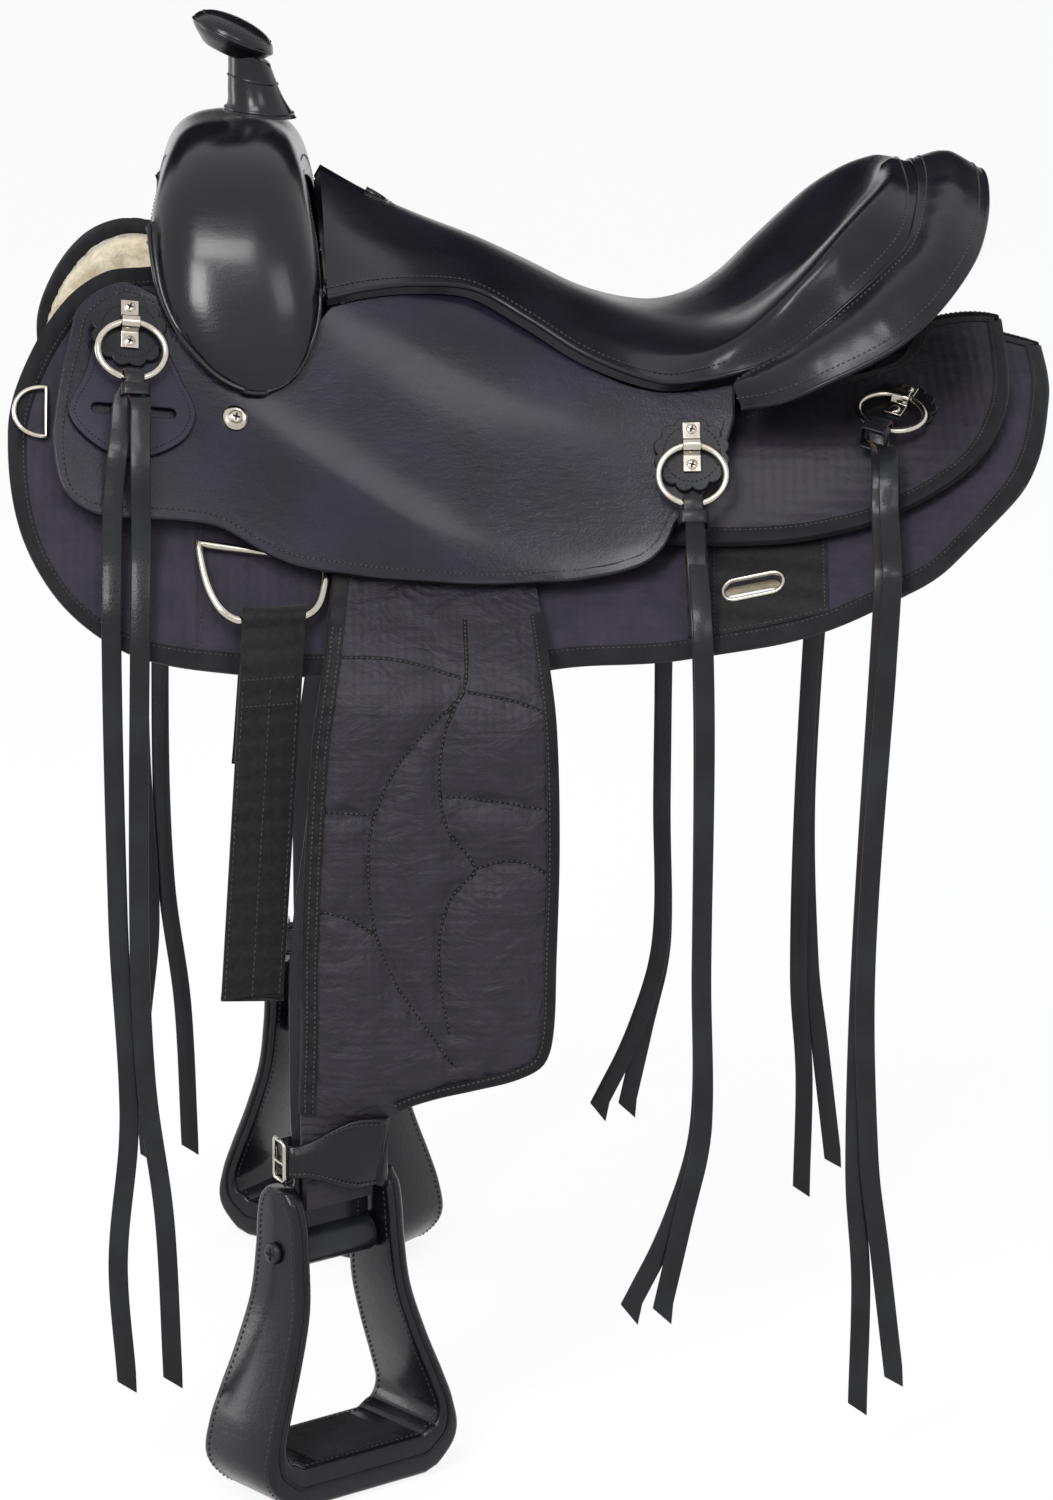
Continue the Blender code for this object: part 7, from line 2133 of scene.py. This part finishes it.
paper = finish("white_paper", (0.9, 0.9, 0.9), 0.9, Specular_IOR_Level=0.0)
tree = paper.node_tree
glow = tree.nodes.new("ShaderNodeEmission")
glow.inputs["Strength"].default_value = 1.04
matt = tree.nodes["Principled BSDF"]
half_glow = blend_shaders(tree, FLOOR_GLOW, matt, glow)
blend_shaders(tree, seen_white(tree), matt, half_glow, tree.nodes["Material Output"])
flat_sheet("studio_floor", (FLOOR_REACH, FLOOR_REACH), cad_box[0][2] - 0.002, paper)

# A black card as photographers use it: only the gloss sees it, and so black leather stays black.
cloth = finish("card_behind_cloth", (0.02, 0.02, 0.02), 1.0, Specular_IOR_Level=0.0)
card = flat_sheet("card_behind", (2.5, 1.2), 0, cloth)
aim(card, (0.0, 3.0, 1.5), (0, 0, 0))
for ray in ("camera", "diffuse", "transmission", "shadow"):
    setattr(card, "visible_" + ray, False)


def soft_light(name, at, towards, size, power, mirrored_too=True, sheen_only=False):
    """A soft box. One that only fills shadows isn't mirrored, and a sheen lamp is only mirrored."""
    lamp = bpy.data.lights.new(name, "AREA")
    lamp.shape, lamp.size, lamp.size_y = "RECTANGLE", size[0], size[1]
    lamp.energy = power
    thing = bpy.data.objects.new(name, lamp)
    aim(thing, at, towards)
    thing.visible_glossy = mirrored_too
    thing.visible_diffuse = not sheen_only
    bpy.context.scene.collection.objects.link(thing)


soft_light("key", (-1.15, -2.4, 1.45), (-0.15, 0, 0.1), (0.7, 0.9), 31)
soft_light("over_the_flank", (-0.65, -2.0, 2.3), (-0.15, 0, 0), (1.3, 0.7), 34)
soft_light("jockey_sheen", (1.0, -2.36, 1.6), (-0.13, -0.17, 0), (1.0, 0.8), 10, sheen_only=True)
soft_light("left_rim", (-2.7, 0.7, 0.1), (0, 0, -0.1), (0.7, 1.4), 16)
soft_light("front_fill", (1.2, -2.6, 0.9), (0, 0, -0.2), (1.8, 1.8), 8, mirrored_too=False)
soft_light("behind", (0.9, 1.9, 2.2), (0.1, 0, 0), (1.0, 0.8), 16, mirrored_too=False)
bpy.context.scene.view_settings.view_transform = "Standard"

# %% Write the sizes and finish
visual_box = [[float(v) for v in corner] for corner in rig.bounds()]
with open("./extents.json", "w") as sizes:
    json.dump({"cad": cad_box, "visual": visual_box}, sizes)
print("visual box:", visual_box)
